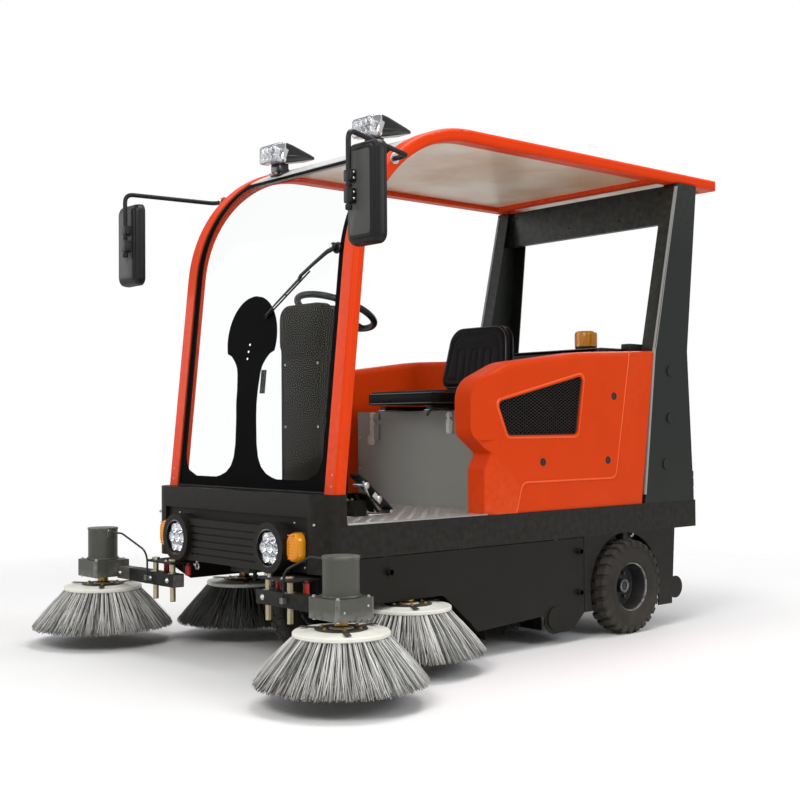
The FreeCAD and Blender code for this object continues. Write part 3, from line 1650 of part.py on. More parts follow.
def make_rear_axle():
    y, z = S.wheel_y, S.tyre_radius
    tube = cylinder("axle_beam", "X", (-axle_end(), axle_end()), (y, z), S.axle_tube)
    disc_in = wheel_x() + S.tyre_wide / 2 - S.rim_flange - S.rim_dish - S.rim_wall
    stub = cylinder("axle_stub", "X", (axle_end(), disc_in + S.hub_reach), (y, z), S.stub_radius)
    drum = cylinder("axle_drum", "X", (disc_in - S.play - S.drum_wide, disc_in - S.play), (y, z),
                    S.drum_radius)
    diff = cylinder("axle_diff", "X", (-S.diff_wide / 2, S.diff_wide / 2), (y, z), S.diff_radius)
    motor = cylinder("axle_motor", "Y", (y, y + S.motor_long), (0, z), S.motor_radius)
    node(fuse("rear_axle", tube, stub, mirrored("axle_stub_right", stub), drum,
              mirrored("axle_drum_right", drum),
              diff, motor, make_leaf_springs()))


def make_spring_leaf(i, z):
    """One leaf of the spring, its ends bent up; the leaf above it is longer."""
    half = S.spring_wide / 2
    reach = S.spring_half * (1 - S.spring_step_share * (SIZES["spring_leaf_count"] - 1 - i))
    rise = S.spring_camber * reach / S.spring_half
    front, rear = S.wheel_y - reach, S.wheel_y + reach
    outline = [(front, z + rise), (S.wheel_y, z, S.spring_bend), (rear, z + rise),
               (rear, z + rise + S.spring_leaf),
               (S.wheel_y, z + S.spring_leaf, S.spring_bend), (front, z + rise + S.spring_leaf)]
    return pad("spring_leaf_%d" % i, "YZ", [outline], (S.rail_x - half, S.rail_x + half))


def make_leaf_springs():
    half = S.spring_wide / 2
    x = (S.rail_x - half, S.rail_x + half)
    base = S.tyre_radius + S.axle_tube
    count = SIZES["spring_leaf_count"]
    pieces = [box("spring_seat", x, (S.wheel_y - S.spring_wide, S.wheel_y + S.spring_wide),
                  (S.tyre_radius, base + S.spring_seat + (count + 1) * S.spring_leaf))]
    for i in range(count):
        pieces.append(make_spring_leaf(i, base + S.spring_seat + i * S.spring_leaf))
    end_z = base + S.spring_seat + (count - 1) * S.spring_leaf + S.spring_camber
    for name, sign in (("front", -1), ("rear", 1)):
        tip = S.wheel_y + sign * S.spring_half
        root = tip - sign * S.spring_hanger_foot
        spread = sign * S.spring_hanger_spread
        outline = [(root, end_z - S.spring_leaf), (tip, end_z), (tip + spread, rail_low()),
                   (root - spread, rail_low())]
        pieces.append(pad("spring_hanger_" + name, "YZ", [outline if sign > 0 else outline[::-1]], x))
    return both("leaf_springs", fuse("leaf_spring", *pieces))


# Steering wheel, console and pedals

def tilt():
    return FreeCAD.Rotation(FreeCAD.Vector(1, 0, 0), float(-S.column_tilt))


def make_steering_wheel():
    rim = doc.addObject("Part::Torus", "steering_rim")
    bind(rim, "Radius1", S.wheel_rim_radius)
    bind(rim, "Radius2", S.wheel_grip)
    pieces = [rim]
    hub = cylinder("steering_hub", "Z", (-S.wheel_hub_tall, S.spoke_thick), (0, 0), S.wheel_hub_radius)
    pieces.append(hub)
    for i, angle in enumerate((90, 210, 330)):
        spoke = box("steering_spoke_%d" % i, (0, S.wheel_rim_radius), (0, S.spoke_wide), (0, S.spoke_thick))
        turn = FreeCAD.Rotation(FreeCAD.Vector(0, 0, 1), angle)
        side = S.spoke_wide / 2
        place(spoke, side * math.sin(math.radians(angle)), -side * math.cos(math.radians(angle)),
              -S.spoke_thick / 2, turn)
        pieces.append(spoke)
    wheel = fuse("steering_wheel_flat", *pieces)
    node(moved("steering_wheel", wheel, 0, -S.column_wheel_y, S.column_wheel_z, tilt()))


def make_console():
    foot = S.deck_top + S.floor_sheet
    outline = [(-S.console_front, foot), (-S.console_heel, foot),
               (-S.console_waist_rear, S.console_knee_z, S.console_knee_round),
               (-S.console_rear, S.console_rear_top, S.console_lip_round),
               (-S.console_front, S.console_top, S.console_round)]
    shell = pad("console_shell", "YZ", [outline], (-S.console_half, S.console_half))
    low = float(foot + S.play)
    round_edges(shell, S.console_edge_round,
                lambda edge: on_side(edge, S.console_half) and edge.BoundBox.ZMax > low)
    column = doc.addObject("Part::Cylinder", "console_column")
    bind(column, "Radius", S.column_radius)
    bind(column, "Height", S.console_front - S.console_rear)
    reach = S.wheel_hub_tall + S.play + (S.console_front - S.console_rear)
    place(column, 0, -S.column_wheel_y - sine(S.column_tilt) * reach,
          S.column_wheel_z - cosine(S.column_tilt) * reach, tilt())
    node(group("console", fuse("console_body", shell, column), make_pedals()))


def make_pedals():
    foot = S.deck_top + S.floor_sheet
    half = S.pedal_wide / 2
    pieces = []
    base = box("pedal_base", (S.pedal_x - S.pedal_gap, S.pedal_x + half),
               (-S.pedal_y - S.pedal_box, -S.pedal_y),
               (foot, foot + S.pedal_box))
    pieces.append(base)
    for i in range(2):
        x = S.pedal_x - i * S.pedal_gap
        plate = box("pedal_plate_%d" % i, (-half, half), (0, S.pedal_tall), (0, S.pedal_plate))
        turn = FreeCAD.Rotation(FreeCAD.Vector(1, 0, 0), -float(S.pedal_tilt))
        place(plate, x, -S.pedal_y - S.pedal_heel_gap, foot + S.pedal_head, turn)
        pieces.append(plate)
    return fuse("pedals", *pieces)


# Disc brushes

def brush_profile():
    top = S.brush_plate_low + S.brush_plate_thick
    bore = S.spindle_radius + S.play
    rim = S.brush_plate_radius
    return [(bore, S.brush_plate_low), (rim, S.brush_plate_low),
            (rim, top - S.brush_plate_fall, S.brush_plate_round),
            (rim - S.brush_plate_slope, top), (bore, top)]


def make_spindle():
    """The spindle through the brush plate, with the hub that bears on the plate."""
    shaft = cylinder("spindle_shaft", "Z", (S.brush_plate_low, S.gear_low + S.spindle_up), (0, 0),
                     S.spindle_radius)
    hub = cylinder("spindle_hub", "Z",
                   (S.brush_plate_low + S.brush_plate_thick + S.play, S.gear_low - S.play), (0, 0),
                   S.brush_hub_radius)
    return fuse("spindle", shaft, hub)


def tuft_corners(radius_in, radius_out, count):
    """Four corners of one tuft's section, a little narrower than its share of the ring."""
    half = S.tuft_fill_share * 180 / count
    return [(radius_in * cosine(half), -radius_in * sine(half)),
            (radius_out * cosine(half), -radius_out * sine(half)),
            (radius_out * cosine(half), radius_out * sine(half)),
            (radius_in * cosine(half), radius_in * sine(half))]


def make_bristles(name):
    """A ring of flared tufts rooted in a thin band under the brush plate."""
    count = SIZES["tuft_count"]
    root_in = S.brush_root_radius - S.brush_root_band
    body = pad(name, "XY", [], (S.brush_plate_low - S.overrun, S.brush_plate_low),
               [(as_size(0), as_size(0), S.brush_root_radius), (as_size(0), as_size(0), root_in)])
    low = draw_sketch(body, name + "_tips", "XY", S.brush_tip_z,
                      [tuft_corners(S.brush_tip_radius - S.brush_tip_band, S.brush_tip_radius, count)])
    high = draw_sketch(body, name + "_roots", "XY", S.brush_plate_low,
                       [tuft_corners(root_in, S.brush_root_radius, count)])
    loft = body.newObject("PartDesign::AdditiveLoft", name + "_tuft")
    loft.Profile = low
    loft.Sections = [high]
    loft.Ruled = True
    polar(body, loft, "Z", count)
    return body


def make_brushes():
    disc = fuse("brush_ring", revolve("brush_disc", "XZ", [brush_profile()], "V_Axis"),
                make_bristles("bristles"))
    whole = group("brush_whole", disc, make_spindle())
    for name, x, y in (("brush", brush_x(), S.brush_y), ("mid_brush", mid_x(), S.mid_y)):
        for side, sign in (("left", 1), ("right", -1)):
            node(moved("%s_%s" % (name, side), whole, sign * x, -y))


def make_front_motor():
    x, y, half = brush_x(), -S.brush_y, S.gear_half
    gear = pad("brush_gear", "XY", [rectangle((x - half, x + half), (y - half, y + half), S.gear_round)],
               (S.gear_low, S.gear_high))
    motor = cylinder("brush_motor_can", "Z", (S.gear_high, S.brush_motor_top), (x, y), S.brush_motor_radius)
    lip = cylinder("brush_motor_lip", "Z", (S.brush_motor_top - S.gear_lip, S.brush_motor_top), (x, y),
                   S.brush_motor_radius + S.motor_lip_out)
    bore = cylinder("brush_gear_bore", "Z", (S.gear_low - S.overrun, S.gear_low + S.spindle_up + S.play),
                    (x, y),
                    S.spindle_radius + S.play)
    return [gear, motor, lip], bore


def make_cable_ends():
    """The gland on the motor's side and the clip on the arm's front face that hold the cable."""
    motor_side = brush_x() - S.brush_motor_radius
    gland = cylinder("cable_gland", "X", (motor_side - S.gland_long, motor_side + S.overrun),
                     (-S.brush_y, S.brush_motor_top - S.gland_drop), S.gland_radius)
    face = -S.arm_y - S.arm_tube / 2
    clip = box("cable_clip", (S.cable_clip_x - S.cable_clip_half, S.cable_clip_x + S.cable_clip_half),
               (face - S.cable_clip_reach, face), (S.cable_clip_low, S.cable_clip_low + S.cable_clip_tall))
    return [gland, clip]


def make_motor_cables():
    """Each front motor's cable: level out of the gland, down past the shelf and into the clip on the arm."""
    start_x = brush_x() - S.brush_motor_radius - S.gland_long
    start_z = S.brush_motor_top - S.gland_drop
    end_y = -S.arm_y - S.arm_tube / 2 - S.cable_clip_reach / 2
    end_z = S.cable_clip_low + S.cable_clip_tall
    left = bent_tube("motor_cable_left", [
        (start_x, -S.brush_y, start_z),
        (start_x - S.cable_lead, -S.brush_y, start_z),
        (S.cable_clip_x, end_y, end_z + S.cable_drop),
        (S.cable_clip_x, end_y, end_z),
    ], S.cable_radius, S.cable_bend)
    node(left)
    node(mirrored("motor_cable_right", left))


def make_front_arms():
    half = S.arm_tube / 2
    y = (-S.arm_y - half, -S.arm_y + half)
    z = (S.arm_low, S.arm_low + S.arm_tube)
    gear_face = brush_x() - S.gear_half
    motor, spindle_bore = make_front_motor()
    tube = box("brush_arm_tube", (S.arm_inner, gear_face + S.overrun), y, z)
    guide_gap = S.rod_radius + S.guide_gap
    bores = []
    for i, x in enumerate((S.rod_inner_x, S.rod_outer_x)):
        bores.append(cylinder("brush_arm_bore_%d" % i, "Z", (S.arm_low - S.overrun, z[1] + S.overrun),
                              (x, -S.arm_y), guide_gap))
    flange = box("brush_arm_flange", (gear_face - S.hanger_thick, gear_face),
                 (-S.brush_y - half, -S.arm_y + half), (S.gear_low, S.gear_high))
    body = fuse("brush_arm_body", tube, flange, *motor, *make_cable_ends())
    left = cut("brush_arm_left", body, spindle_bore, *bores)
    node(left)
    node(mirrored("brush_arm_right", left))


def make_brush_carrier():
    """Shelf under the bumper with the guide rods that the front arms slide on."""
    z = (S.carrier_low, S.carrier_low + S.carrier_thick)
    shelf = box("carrier_shelf", (S.carrier_inner, S.carrier_outer), (-S.carrier_front, -S.front_cross_y),
                z)
    hanger = box("carrier_hanger", (rail_inner(), rail_outer()),
                 (-S.rail_front, -S.front_cross_y), (S.carrier_low, rail_low()))
    pieces = [shelf, hanger]
    for i, x in enumerate((S.rod_inner_x, S.rod_outer_x)):
        pieces.append(cylinder("carrier_rod_%d" % i, "Z", (S.rod_low, S.carrier_low), (x, -S.arm_y),
                               S.rod_radius))
    carrier = both("brush_carrier_pair", fuse("brush_carrier_left", *pieces))
    rods = []
    for i, sign in enumerate((-1, 1)):
        rods.append(cylinder("mid_rod_%d" % i, "Z", (S.mid_rod_low, rail_low()),
                             (S.mid_rod_x, -S.mid_y + sign * S.mid_rod_y), S.mid_rod_radius))
    node(group("brush_carrier", carrier, both("mid_rods", group("mid_rods_left", *rods))))


def make_mid_drives():
    """Gearbox, motor and slide plate of each mid brush, and the rods they slide on."""
    y = (-S.mid_y - S.mid_gear_half, -S.mid_y + S.mid_gear_half)
    gear = box("mid_gear", (S.mid_gear_inner, mid_gear_outer()), y, (S.gear_low, S.gear_high))
    motor = cylinder("mid_motor", "Z", (S.gear_high, S.mid_motor_top), (S.mid_motor_x, -S.mid_y),
                     S.mid_motor_radius)
    slide = box("mid_slide", (S.mid_plate_inner, S.mid_gear_inner),
                (y[0] - S.mid_plate_side, y[1] + S.mid_plate_side),
                (S.mid_plate_low, S.mid_plate_low + S.mid_plate_thick))
    bore = cylinder("mid_spindle_bore", "Z", (S.gear_low - S.overrun, S.gear_low + S.spindle_up + S.play),
                    (mid_x(), -S.mid_y), S.spindle_radius + S.play)
    bores = [bore]
    for i, sign in enumerate((-1, 1)):
        centre = (S.mid_rod_x, -S.mid_y + sign * S.mid_rod_y)
        bores.append(cylinder("mid_rod_bore_%d" % i, "Z",
                              (S.mid_plate_low - S.overrun,
                               S.mid_plate_low + S.mid_plate_thick + S.overrun),
                              centre, S.mid_rod_radius + S.guide_gap))
    left = cut("mid_drive_left", fuse("mid_drive_body", gear, motor, slide), *bores)
    node(left)
    node(mirrored("mid_drive_right", left))


# Main broom

def make_main_broom():
    """A core with slanted rows of bristles round it, turning about the X axis."""
    body = pad("broom_roll", "YZ", [], (-S.broom_half, S.broom_half),
               [(as_size(0), as_size(0), S.broom_core)])
    half = S.broom_row / 2
    foot = S.broom_core - S.overrun
    ends = []
    for i, (level,
            angle) in enumerate(((-S.broom_half, -S.broom_twist / 2), (S.broom_half, S.broom_twist / 2))):
        corners = []
        for radius, side in ((foot, -half), (S.broom_radius, -half), (S.broom_radius, half), (foot, half)):
            corners.append((radius * cosine(angle) - side * sine(angle),
                            radius * sine(angle) + side * cosine(angle)))
        ends.append(draw_sketch(body, "broom_row_%d" % i, "YZ", level, [corners]))
    loft = body.newObject("PartDesign::AdditiveLoft", "broom_row_loft")
    loft.Profile = ends[0]
    loft.Sections = [ends[1]]
    loft.Ruled = True
    polar(body, loft, "X", SIZES["broom_rows"])
    reach = S.broom_half + S.broom_end_gap + S.broom_plate / 2
    shaft = cylinder("broom_shaft", "X", (-reach, reach), (0, 0), S.broom_shaft)
    node(moved("main_broom", fuse("main_broom_roll", body, shaft), 0, S.broom_y, S.broom_z))


def make_broom_mount():
    inner = S.broom_half + S.broom_end_gap
    outer = inner + S.broom_plate
    outline = [(S.broom_plate_front, rail_low()), (S.broom_plate_front, S.broom_z),
               (S.broom_y - S.broom_plate_foot, S.broom_plate_low),
               (S.broom_y + S.broom_plate_foot, S.broom_plate_low), (S.broom_plate_rear, S.broom_z),
               (S.broom_plate_rear, rail_low())]
    plate = pad("broom_end", "YZ", [outline], (inner, outer))
    bore = cylinder("broom_end_bore", "X", (inner - S.overrun, outer + S.overrun), (S.broom_y, S.broom_z),
                    S.broom_shaft + S.play)
    foot = box("broom_end_foot", (inner, rail_outer()), (S.broom_plate_front, S.broom_plate_rear),
               (rail_low() - S.sheet, rail_low()))
    ends = both("broom_end_plates", cut("broom_end_plate", fuse("broom_end_body", plate, foot), bore))
    x = (-inner, inner)
    drum = cylinder("shroud_out", "X", x, (S.broom_y, S.broom_z), S.shroud_radius + S.shroud_sheet)
    hole = cylinder("shroud_in", "X", (-inner - S.overrun, inner + S.overrun), (S.broom_y, S.broom_z),
                    S.shroud_radius)
    clear = S.shroud_radius + S.shroud_sheet + S.overrun
    below = box("shroud_below", (-inner - S.overrun, inner + S.overrun),
                (S.broom_y - clear, S.broom_y + clear),
                (S.broom_z - clear, S.broom_z))
    throat = box("shroud_throat", x, (S.broom_y + S.throat_y, S.broom_y + clear),
                 (0, S.broom_z + S.throat_rise))
    node(fuse("broom_housing", ends, cut("broom_shroud", drum, hole, below, throat)))
    flap_front = box("flap_front", x, (S.broom_plate_front, S.broom_plate_front + S.flap_thick),
                     (S.flap_low, S.flap_high))
    flap_rear = box("flap_rear", x, (S.broom_plate_rear - S.flap_thick, S.broom_plate_rear),
                    (S.flap_low, S.flap_high))
    node(group("dust_flaps", flap_front, flap_rear))


# Mirrors, lamps, wiper

def mirror_root():
    """Where the mirror's stalk leaves the bend of the canopy rail."""
    y, z = bend_centre()
    reach = S.canopy_arc - S.mirror_root_inset
    return y - reach * sine(S.mirror_root_angle), z + reach * cosine(S.mirror_root_angle)


def mirror_layer(name, inset, radius, height, y):
    """A layer of the mirror's own shape, drawn in all round by an inset."""
    half = S.mirror_wide / 2 - inset
    return pad(name, "XZ",
               [rectangle((mirror_x() - half, mirror_x() + half), (height[0] + inset, height[1] - inset),
                                      radius)], y)


def make_mirrors():
    root_y, root_z = mirror_root()
    half = S.mirror_wide / 2
    high = root_z - S.mirror_drop
    low = high - S.mirror_tall
    y = root_y - S.mirror_reach
    back = y - S.mirror_deep / 2
    case = pad("mirror_case", "XZ",
               [rectangle((mirror_x() - half, mirror_x() + half), (low, high), S.mirror_round)],
               (back, y + S.mirror_deep / 2))
    round_edges(case, S.mirror_edge_round, lambda edge: on_level(edge, "Y", back))
    panel = mirror_layer("mirror_panel", S.mirror_panel_inset, S.mirror_panel_round, (low, high),
                         (back - S.mirror_panel_high, back + S.overrun))
    sink = mirror_layer("mirror_sink", S.mirror_glass_inset, S.mirror_round - S.mirror_glass_inset,
                        (low, high),
                        (y + S.mirror_deep / 2 - S.mirror_glass_sink, y + S.mirror_deep / 2 + S.overrun))
    case = cut("mirror_shell", fuse("mirror_cased", case, panel), sink)
    elbow_y = root_y - S.mirror_elbow_reach
    elbow_z = root_z + S.mirror_elbow_rise
    tube = bent_tube("mirror_stalk", [
        (canopy_half() - S.mirror_tube, root_y, root_z),
        (canopy_half() + S.mirror_root_long, root_y, root_z),
        (mirror_elbow_x(), elbow_y, elbow_z),
        (mirror_elbow_x(), elbow_y, low + S.mirror_tall / 3),
    ], S.mirror_tube, S.mirror_bend)
    middle = (low + high) / 2
    clamp = box("mirror_clamp",
                (mirror_elbow_x() - S.mirror_clamp_half, mirror_elbow_x() + S.mirror_clamp_half),
                (elbow_y - S.mirror_tube, y), (middle - S.mirror_clamp_low, middle + S.mirror_clamp_high))
    rail_clear = box("mirror_rail_clear", (canopy_half() - S.canopy_rail_wide, canopy_half()),
                     (-S.canopy_foot_y, 0), (S.bumper_top, S.canopy_top))
    node(both("mirrors", cut("mirror", fuse("mirror_body", case, tube, clamp), rail_clear)))


def make_roof_lamps():
    x, half = S.roof_lamp_x, S.roof_lamp_half
    y, top = bend_centre()[0], S.canopy_top
    belly = top - S.roof_lamp_belly_low
    outline = [
        (y - S.roof_lamp_front, top - S.roof_lamp_face_low, S.roof_lamp_face_round),
        (y - S.roof_lamp_belly_front, belly, S.roof_lamp_belly_round),
        (y - S.roof_lamp_tail, top + S.roof_lamp_tail_high - S.roof_lamp_tail_edge),
        (y - S.roof_lamp_tail, top + S.roof_lamp_tail_high),
        (y - S.roof_lamp_crown_front, top + S.roof_lamp_crown_high, S.roof_lamp_belly_round),
        (y - S.roof_lamp_front, top + S.roof_lamp_face_high, S.roof_lamp_face_round),
    ]
    front, tail = y - S.roof_lamp_front, y - S.roof_lamp_tail
    side = front + S.roof_lamp_facet_deep
    face = half - S.roof_lamp_facet_wide
    plan = [(x - face, front), (x + face, front), (x + half, side), (x + S.roof_lamp_tail_half, tail),
            (x - S.roof_lamp_tail_half, tail), (x - half, side)]
    housing = pad("roof_lamp_plan", "XY", [plan], (belly, top + S.roof_lamp_crown_high))
    lamp = common("roof_lamp_form", pad("roof_lamp_body", "YZ", [outline], (x - half, x + half)), housing)
    foot = box("roof_lamp_foot", (x - S.roof_lamp_foot_half, x + S.roof_lamp_foot_half),
               (y - S.roof_lamp_foot_front, y - S.roof_lamp_foot_rear),
               (belly - S.roof_lamp_foot_tall, belly + S.overrun))
    roof = pad("roof_lamp_seat", "YZ", [canopy_band(S.roof_drop - S.play, S.canopy_arc / 2, S.canopy_rear)],
               (0, S.half_width))
    node(both("roof_lamps", cut("roof_lamp", fuse("roof_lamp_all", lamp, foot), roof)))


def post_long():
    """Length of the post's outer face from its foot to the start of the bend."""
    start = bend_centre()[1] + S.canopy_arc * sine(S.canopy_lean)
    return (start - S.bumper_top) / cosine(S.canopy_lean)


def make_wiper():
    """Drawn flat on the glass, then leaned back with the post."""
    rise = post_long()
    pivot = rise + S.wiper_pivot_over
    elbow, head, tip = rise - S.wiper_elbow_fall, rise - S.wiper_head_fall, rise - S.wiper_tip_fall
    boss = cylinder("wiper_boss", "Z", (S.play, S.wiper_boss_tall), (wiper_pivot_x(), pivot),
                    S.wiper_boss_radius)
    wide, narrow, thin = S.wiper_arm_half, S.wiper_arm_tip_half, S.wiper_blade_half
    arm = pad("wiper_arm", "XY", [[(wiper_elbow_x(), elbow - narrow), (wiper_pivot_x(), pivot - wide),
                                   (wiper_pivot_x(), pivot + wide), (wiper_elbow_x(), elbow + narrow)]],
              (S.wiper_arm_low, S.wiper_arm_low + S.wiper_arm_thick))
    blade = pad("wiper_blade", "XY", [[(wiper_tip_x(), tip - thin), (wiper_head_x(), head - thin),
                                       (wiper_head_x(), head + thin), (wiper_tip_x(), tip + thin)]],
                (S.play, S.wiper_arm_low + S.play))
    lean = FreeCAD.Rotation(FreeCAD.Vector(1, 0, 0), 90 - float(S.canopy_lean))
    foot = -S.canopy_foot_y + S.glass_drop / cosine(S.canopy_lean)
    node(moved("wiper", fuse("wiper_flat", boss, arm, blade), 0, foot, S.bumper_top, lean))


def make_tail_lamps():
    half = S.tail_lamp_wide / 2
    tall = S.tail_lamp_tall / 2
    outline = rectangle((tail_lamp_x() - half, tail_lamp_x() + half),
                        (S.tail_lamp_z - tall, S.tail_lamp_z + tall), S.tail_lamp_round)
    lamp = pad("tail_lamp", "XZ", [outline],
               (S.pillar_foot_rear - S.tail_lamp_deep, S.pillar_foot_rear + S.tail_lamp_deep))
    keep = [(S.pillar_foot_front, S.deck_top), (S.pillar_foot_rear, S.deck_top),
            (S.pillar_waist_rear, S.pillar_waist_z), (S.pillar_waist_front, S.pillar_waist_z)]
    face = pad("tail_lamp_seat", "YZ", [keep], (0, S.half_width))
    node(both("tail_lamps", cut("tail_lamp_trim", lamp, face)))


def check_document():
    """Stop if any object failed or any sub-part has a bad shape."""
    for obj in doc.Objects:
        if "Invalid" in obj.State or "Error" in obj.State:
            raise RuntimeError("failed object %s %s" % (obj.Name, obj.State))
    bad = [obj.Label for obj in NODES
           if obj.Shape.isNull() or not obj.Shape.isValid() or not obj.Shape.Solids]
    if bad:
        raise RuntimeError("bad shapes: %s" % ", ".join(bad))


def write_parts():
    """Write each sub-part's shape under its node name."""
    os.makedirs("parts", exist_ok=True)
    for obj in NODES:
        obj.Shape.exportStep("parts/%s.step" % obj.Label)


def build():
    fill_sheet()
    make_frame_rails()
    make_cross_members()
    make_deck()
    make_bumper()
    make_lamp_panel()
    make_headlamps()
    make_indicators()
    make_skirt_bands()
    make_access_panels()
    make_arch_guards()
    make_canopy_rails()
    make_canopy_cross_bars()
    make_roof_panel()
    make_windscreen()
    make_rear_pillars()
    make_rear_header()
    make_side_panels()
    make_grilles()
    make_battery_box()
    make_box_lid()
    make_seat()
    make_rear_hood()
    make_beacon()
    make_hopper()
    make_rear_wheels()
    make_front_wheel()
    make_fork()
    make_rear_axle()
    make_steering_wheel()
    make_console()
    make_brushes()
    make_front_arms()
    make_motor_cables()
    make_brush_carrier()
    make_mid_drives()
    make_main_broom()
    make_broom_mount()
    make_mirrors()
    make_roof_lamps()
    make_wiper()
    make_tail_lamps()
    doc.recompute()
    check_document()
    write_parts()


build()
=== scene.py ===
import random
from math import cos, degrees, hypot, pi, radians, sin, sqrt, tan
import bpy
import bmesh
from mathutils import Matrix, Vector


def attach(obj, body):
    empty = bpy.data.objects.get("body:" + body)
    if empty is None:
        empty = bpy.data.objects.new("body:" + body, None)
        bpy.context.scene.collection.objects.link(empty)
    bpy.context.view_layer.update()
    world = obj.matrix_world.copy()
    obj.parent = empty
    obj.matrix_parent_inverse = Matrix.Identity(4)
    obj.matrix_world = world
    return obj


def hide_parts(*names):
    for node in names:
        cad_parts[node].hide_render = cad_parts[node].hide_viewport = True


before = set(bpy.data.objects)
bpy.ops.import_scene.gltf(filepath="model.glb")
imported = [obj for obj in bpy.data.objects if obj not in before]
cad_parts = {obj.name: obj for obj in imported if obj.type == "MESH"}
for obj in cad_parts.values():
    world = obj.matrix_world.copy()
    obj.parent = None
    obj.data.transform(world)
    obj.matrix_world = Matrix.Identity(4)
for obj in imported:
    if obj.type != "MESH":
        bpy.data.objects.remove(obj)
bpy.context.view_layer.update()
FINISH = {}
UP, DOWN, LEFT, FORWARD, REARWARD = (0, 0, 1), (0, 0, -1), (1, 0, 0), (0, -1, 0), (0, 1, 0)
SIDES = ((1, "left"), (-1, "right"))
FRONT_BRUSH = (0.822, -1.112)
MID_BRUSH = (0.546, -0.571)
SHADE_LAYER = "strand_shade"


# Shader effects used by several finishes

def effect(name, inputs, outputs):
    """An empty node group with named sockets; gives the group, its input node and its output node."""
    tree = bpy.data.node_groups.new(name, "ShaderNodeTree")
    for label, kind, value in inputs:
        socket = tree.interface.new_socket(name=label, in_out="INPUT", socket_type=kind)
        socket.default_value = value
    for label, kind in outputs:
        tree.interface.new_socket(name=label, in_out="OUTPUT", socket_type=kind)
    return tree, tree.nodes.new("NodeGroupInput"), tree.nodes.new("NodeGroupOutput")


def maths(tree, operation, first, second=None, third=None, clamp=False):
    """A math node fed by sockets or plain numbers; gives its output socket."""
    step = tree.nodes.new("ShaderNodeMath")
    step.operation = operation
    step.use_clamp = clamp
    for socket, value in zip(step.inputs, (first, second, third)):
        if isinstance(value, bpy.types.NodeSocket):
            tree.links.new(value, socket)
        elif value is not None:
            socket.default_value = value
    return step.outputs[0]


def mix_colours(tree, share, first, second, blend="MIX"):
    """A colour mix fed by sockets or plain colours; gives its output socket."""
    step = tree.nodes.new("ShaderNodeMix")
    step.data_type = "RGBA"
    step.blend_type = blend
    for socket, value in ((step.inputs[0], share), (step.inputs[6], first), (step.inputs[7], second)):
        if isinstance(value, bpy.types.NodeSocket):
            tree.links.new(value, socket)
        else:
            socket.default_value = value
    return step.outputs[2]


def noise(tree, scale, detail=3.0, coordinates=None, roughness=0.5):
    """Noise over object coordinates; gives its value socket."""
    step = tree.nodes.new("ShaderNodeTexNoise")
    step.inputs["Detail"].default_value = detail
    step.inputs["Roughness"].default_value = roughness
    if isinstance(scale, bpy.types.NodeSocket):
        tree.links.new(scale, step.inputs["Scale"])
    else:
        step.inputs["Scale"].default_value = scale
    place = coordinates or tree.nodes.new("ShaderNodeTexCoord").outputs["Object"]
    tree.links.new(place, step.inputs["Vector"])
    return step.outputs["Fac"]


def make_tone_effect():
    """Slow drift of a colour's brightness over a surface."""
    tree, given, result = effect("slow_tone", [("Color", "NodeSocketColor", (0.5, 0.5, 0.5, 1)),
                                ("Scale", "NodeSocketFloat", 6.0), ("Amount", "NodeSocketFloat", 0.15)],
                                [("Color", "NodeSocketColor")])
    drift = maths(tree, "SUBTRACT", noise(tree, given.outputs["Scale"], 4), 0.5)
    gain = maths(tree, "MULTIPLY_ADD", drift, given.outputs["Amount"], 1.0)
    shade = tree.nodes.new("ShaderNodeVectorMath")
    shade.operation = "SCALE"
    tree.links.new(given.outputs["Color"], shade.inputs[0])
    tree.links.new(gain, shade.inputs["Scale"])
    tree.links.new(shade.outputs[0], result.inputs["Color"])
    return tree


def make_dust_effect():
    """Street dust that settles low down and on faces that look up."""
    tree, given, result = effect("street_dust", [("Color", "NodeSocketColor", (0.5, 0.5, 0.5, 1)),
                                ("Dust", "NodeSocketColor", (0.26, 0.23, 0.19, 1)),
                                ("Amount", "NodeSocketFloat", 0.3), ("Reach", "NodeSocketFloat", 0.5)],
                                [("Color", "NodeSocketColor"), ("Mask", "NodeSocketFloat")])
    place = tree.nodes.new("ShaderNodeTexCoord").outputs["Object"]
    split = tree.nodes.new("ShaderNodeSeparateXYZ")
    tree.links.new(place, split.inputs[0])
    low = maths(tree, "SUBTRACT", 1.0,
                maths(tree, "DIVIDE", split.outputs[2], given.outputs["Reach"]), clamp=True)
    facing = tree.nodes.new("ShaderNodeSeparateXYZ")
    tree.links.new(tree.nodes.new("ShaderNodeNewGeometry").outputs["Normal"], facing.inputs[0])
    up = maths(tree, "MULTIPLY", maths(tree, "MAXIMUM", facing.outputs[2], 0.0), 0.5)
    patch = maths(tree, "MULTIPLY_ADD", noise(tree, 9.0, 5, place, 0.6), 2.4, -0.75, clamp=True)
    mask = maths(tree, "MULTIPLY", maths(tree, "MULTIPLY", maths(tree, "ADD", low, up), patch),
                 given.outputs["Amount"], clamp=True)
    tree.links.new(mix_colours(tree, mask, given.outputs["Color"], given.outputs["Dust"]), result.inputs["Color"])
    tree.links.new(mask, result.inputs["Mask"])
    return tree


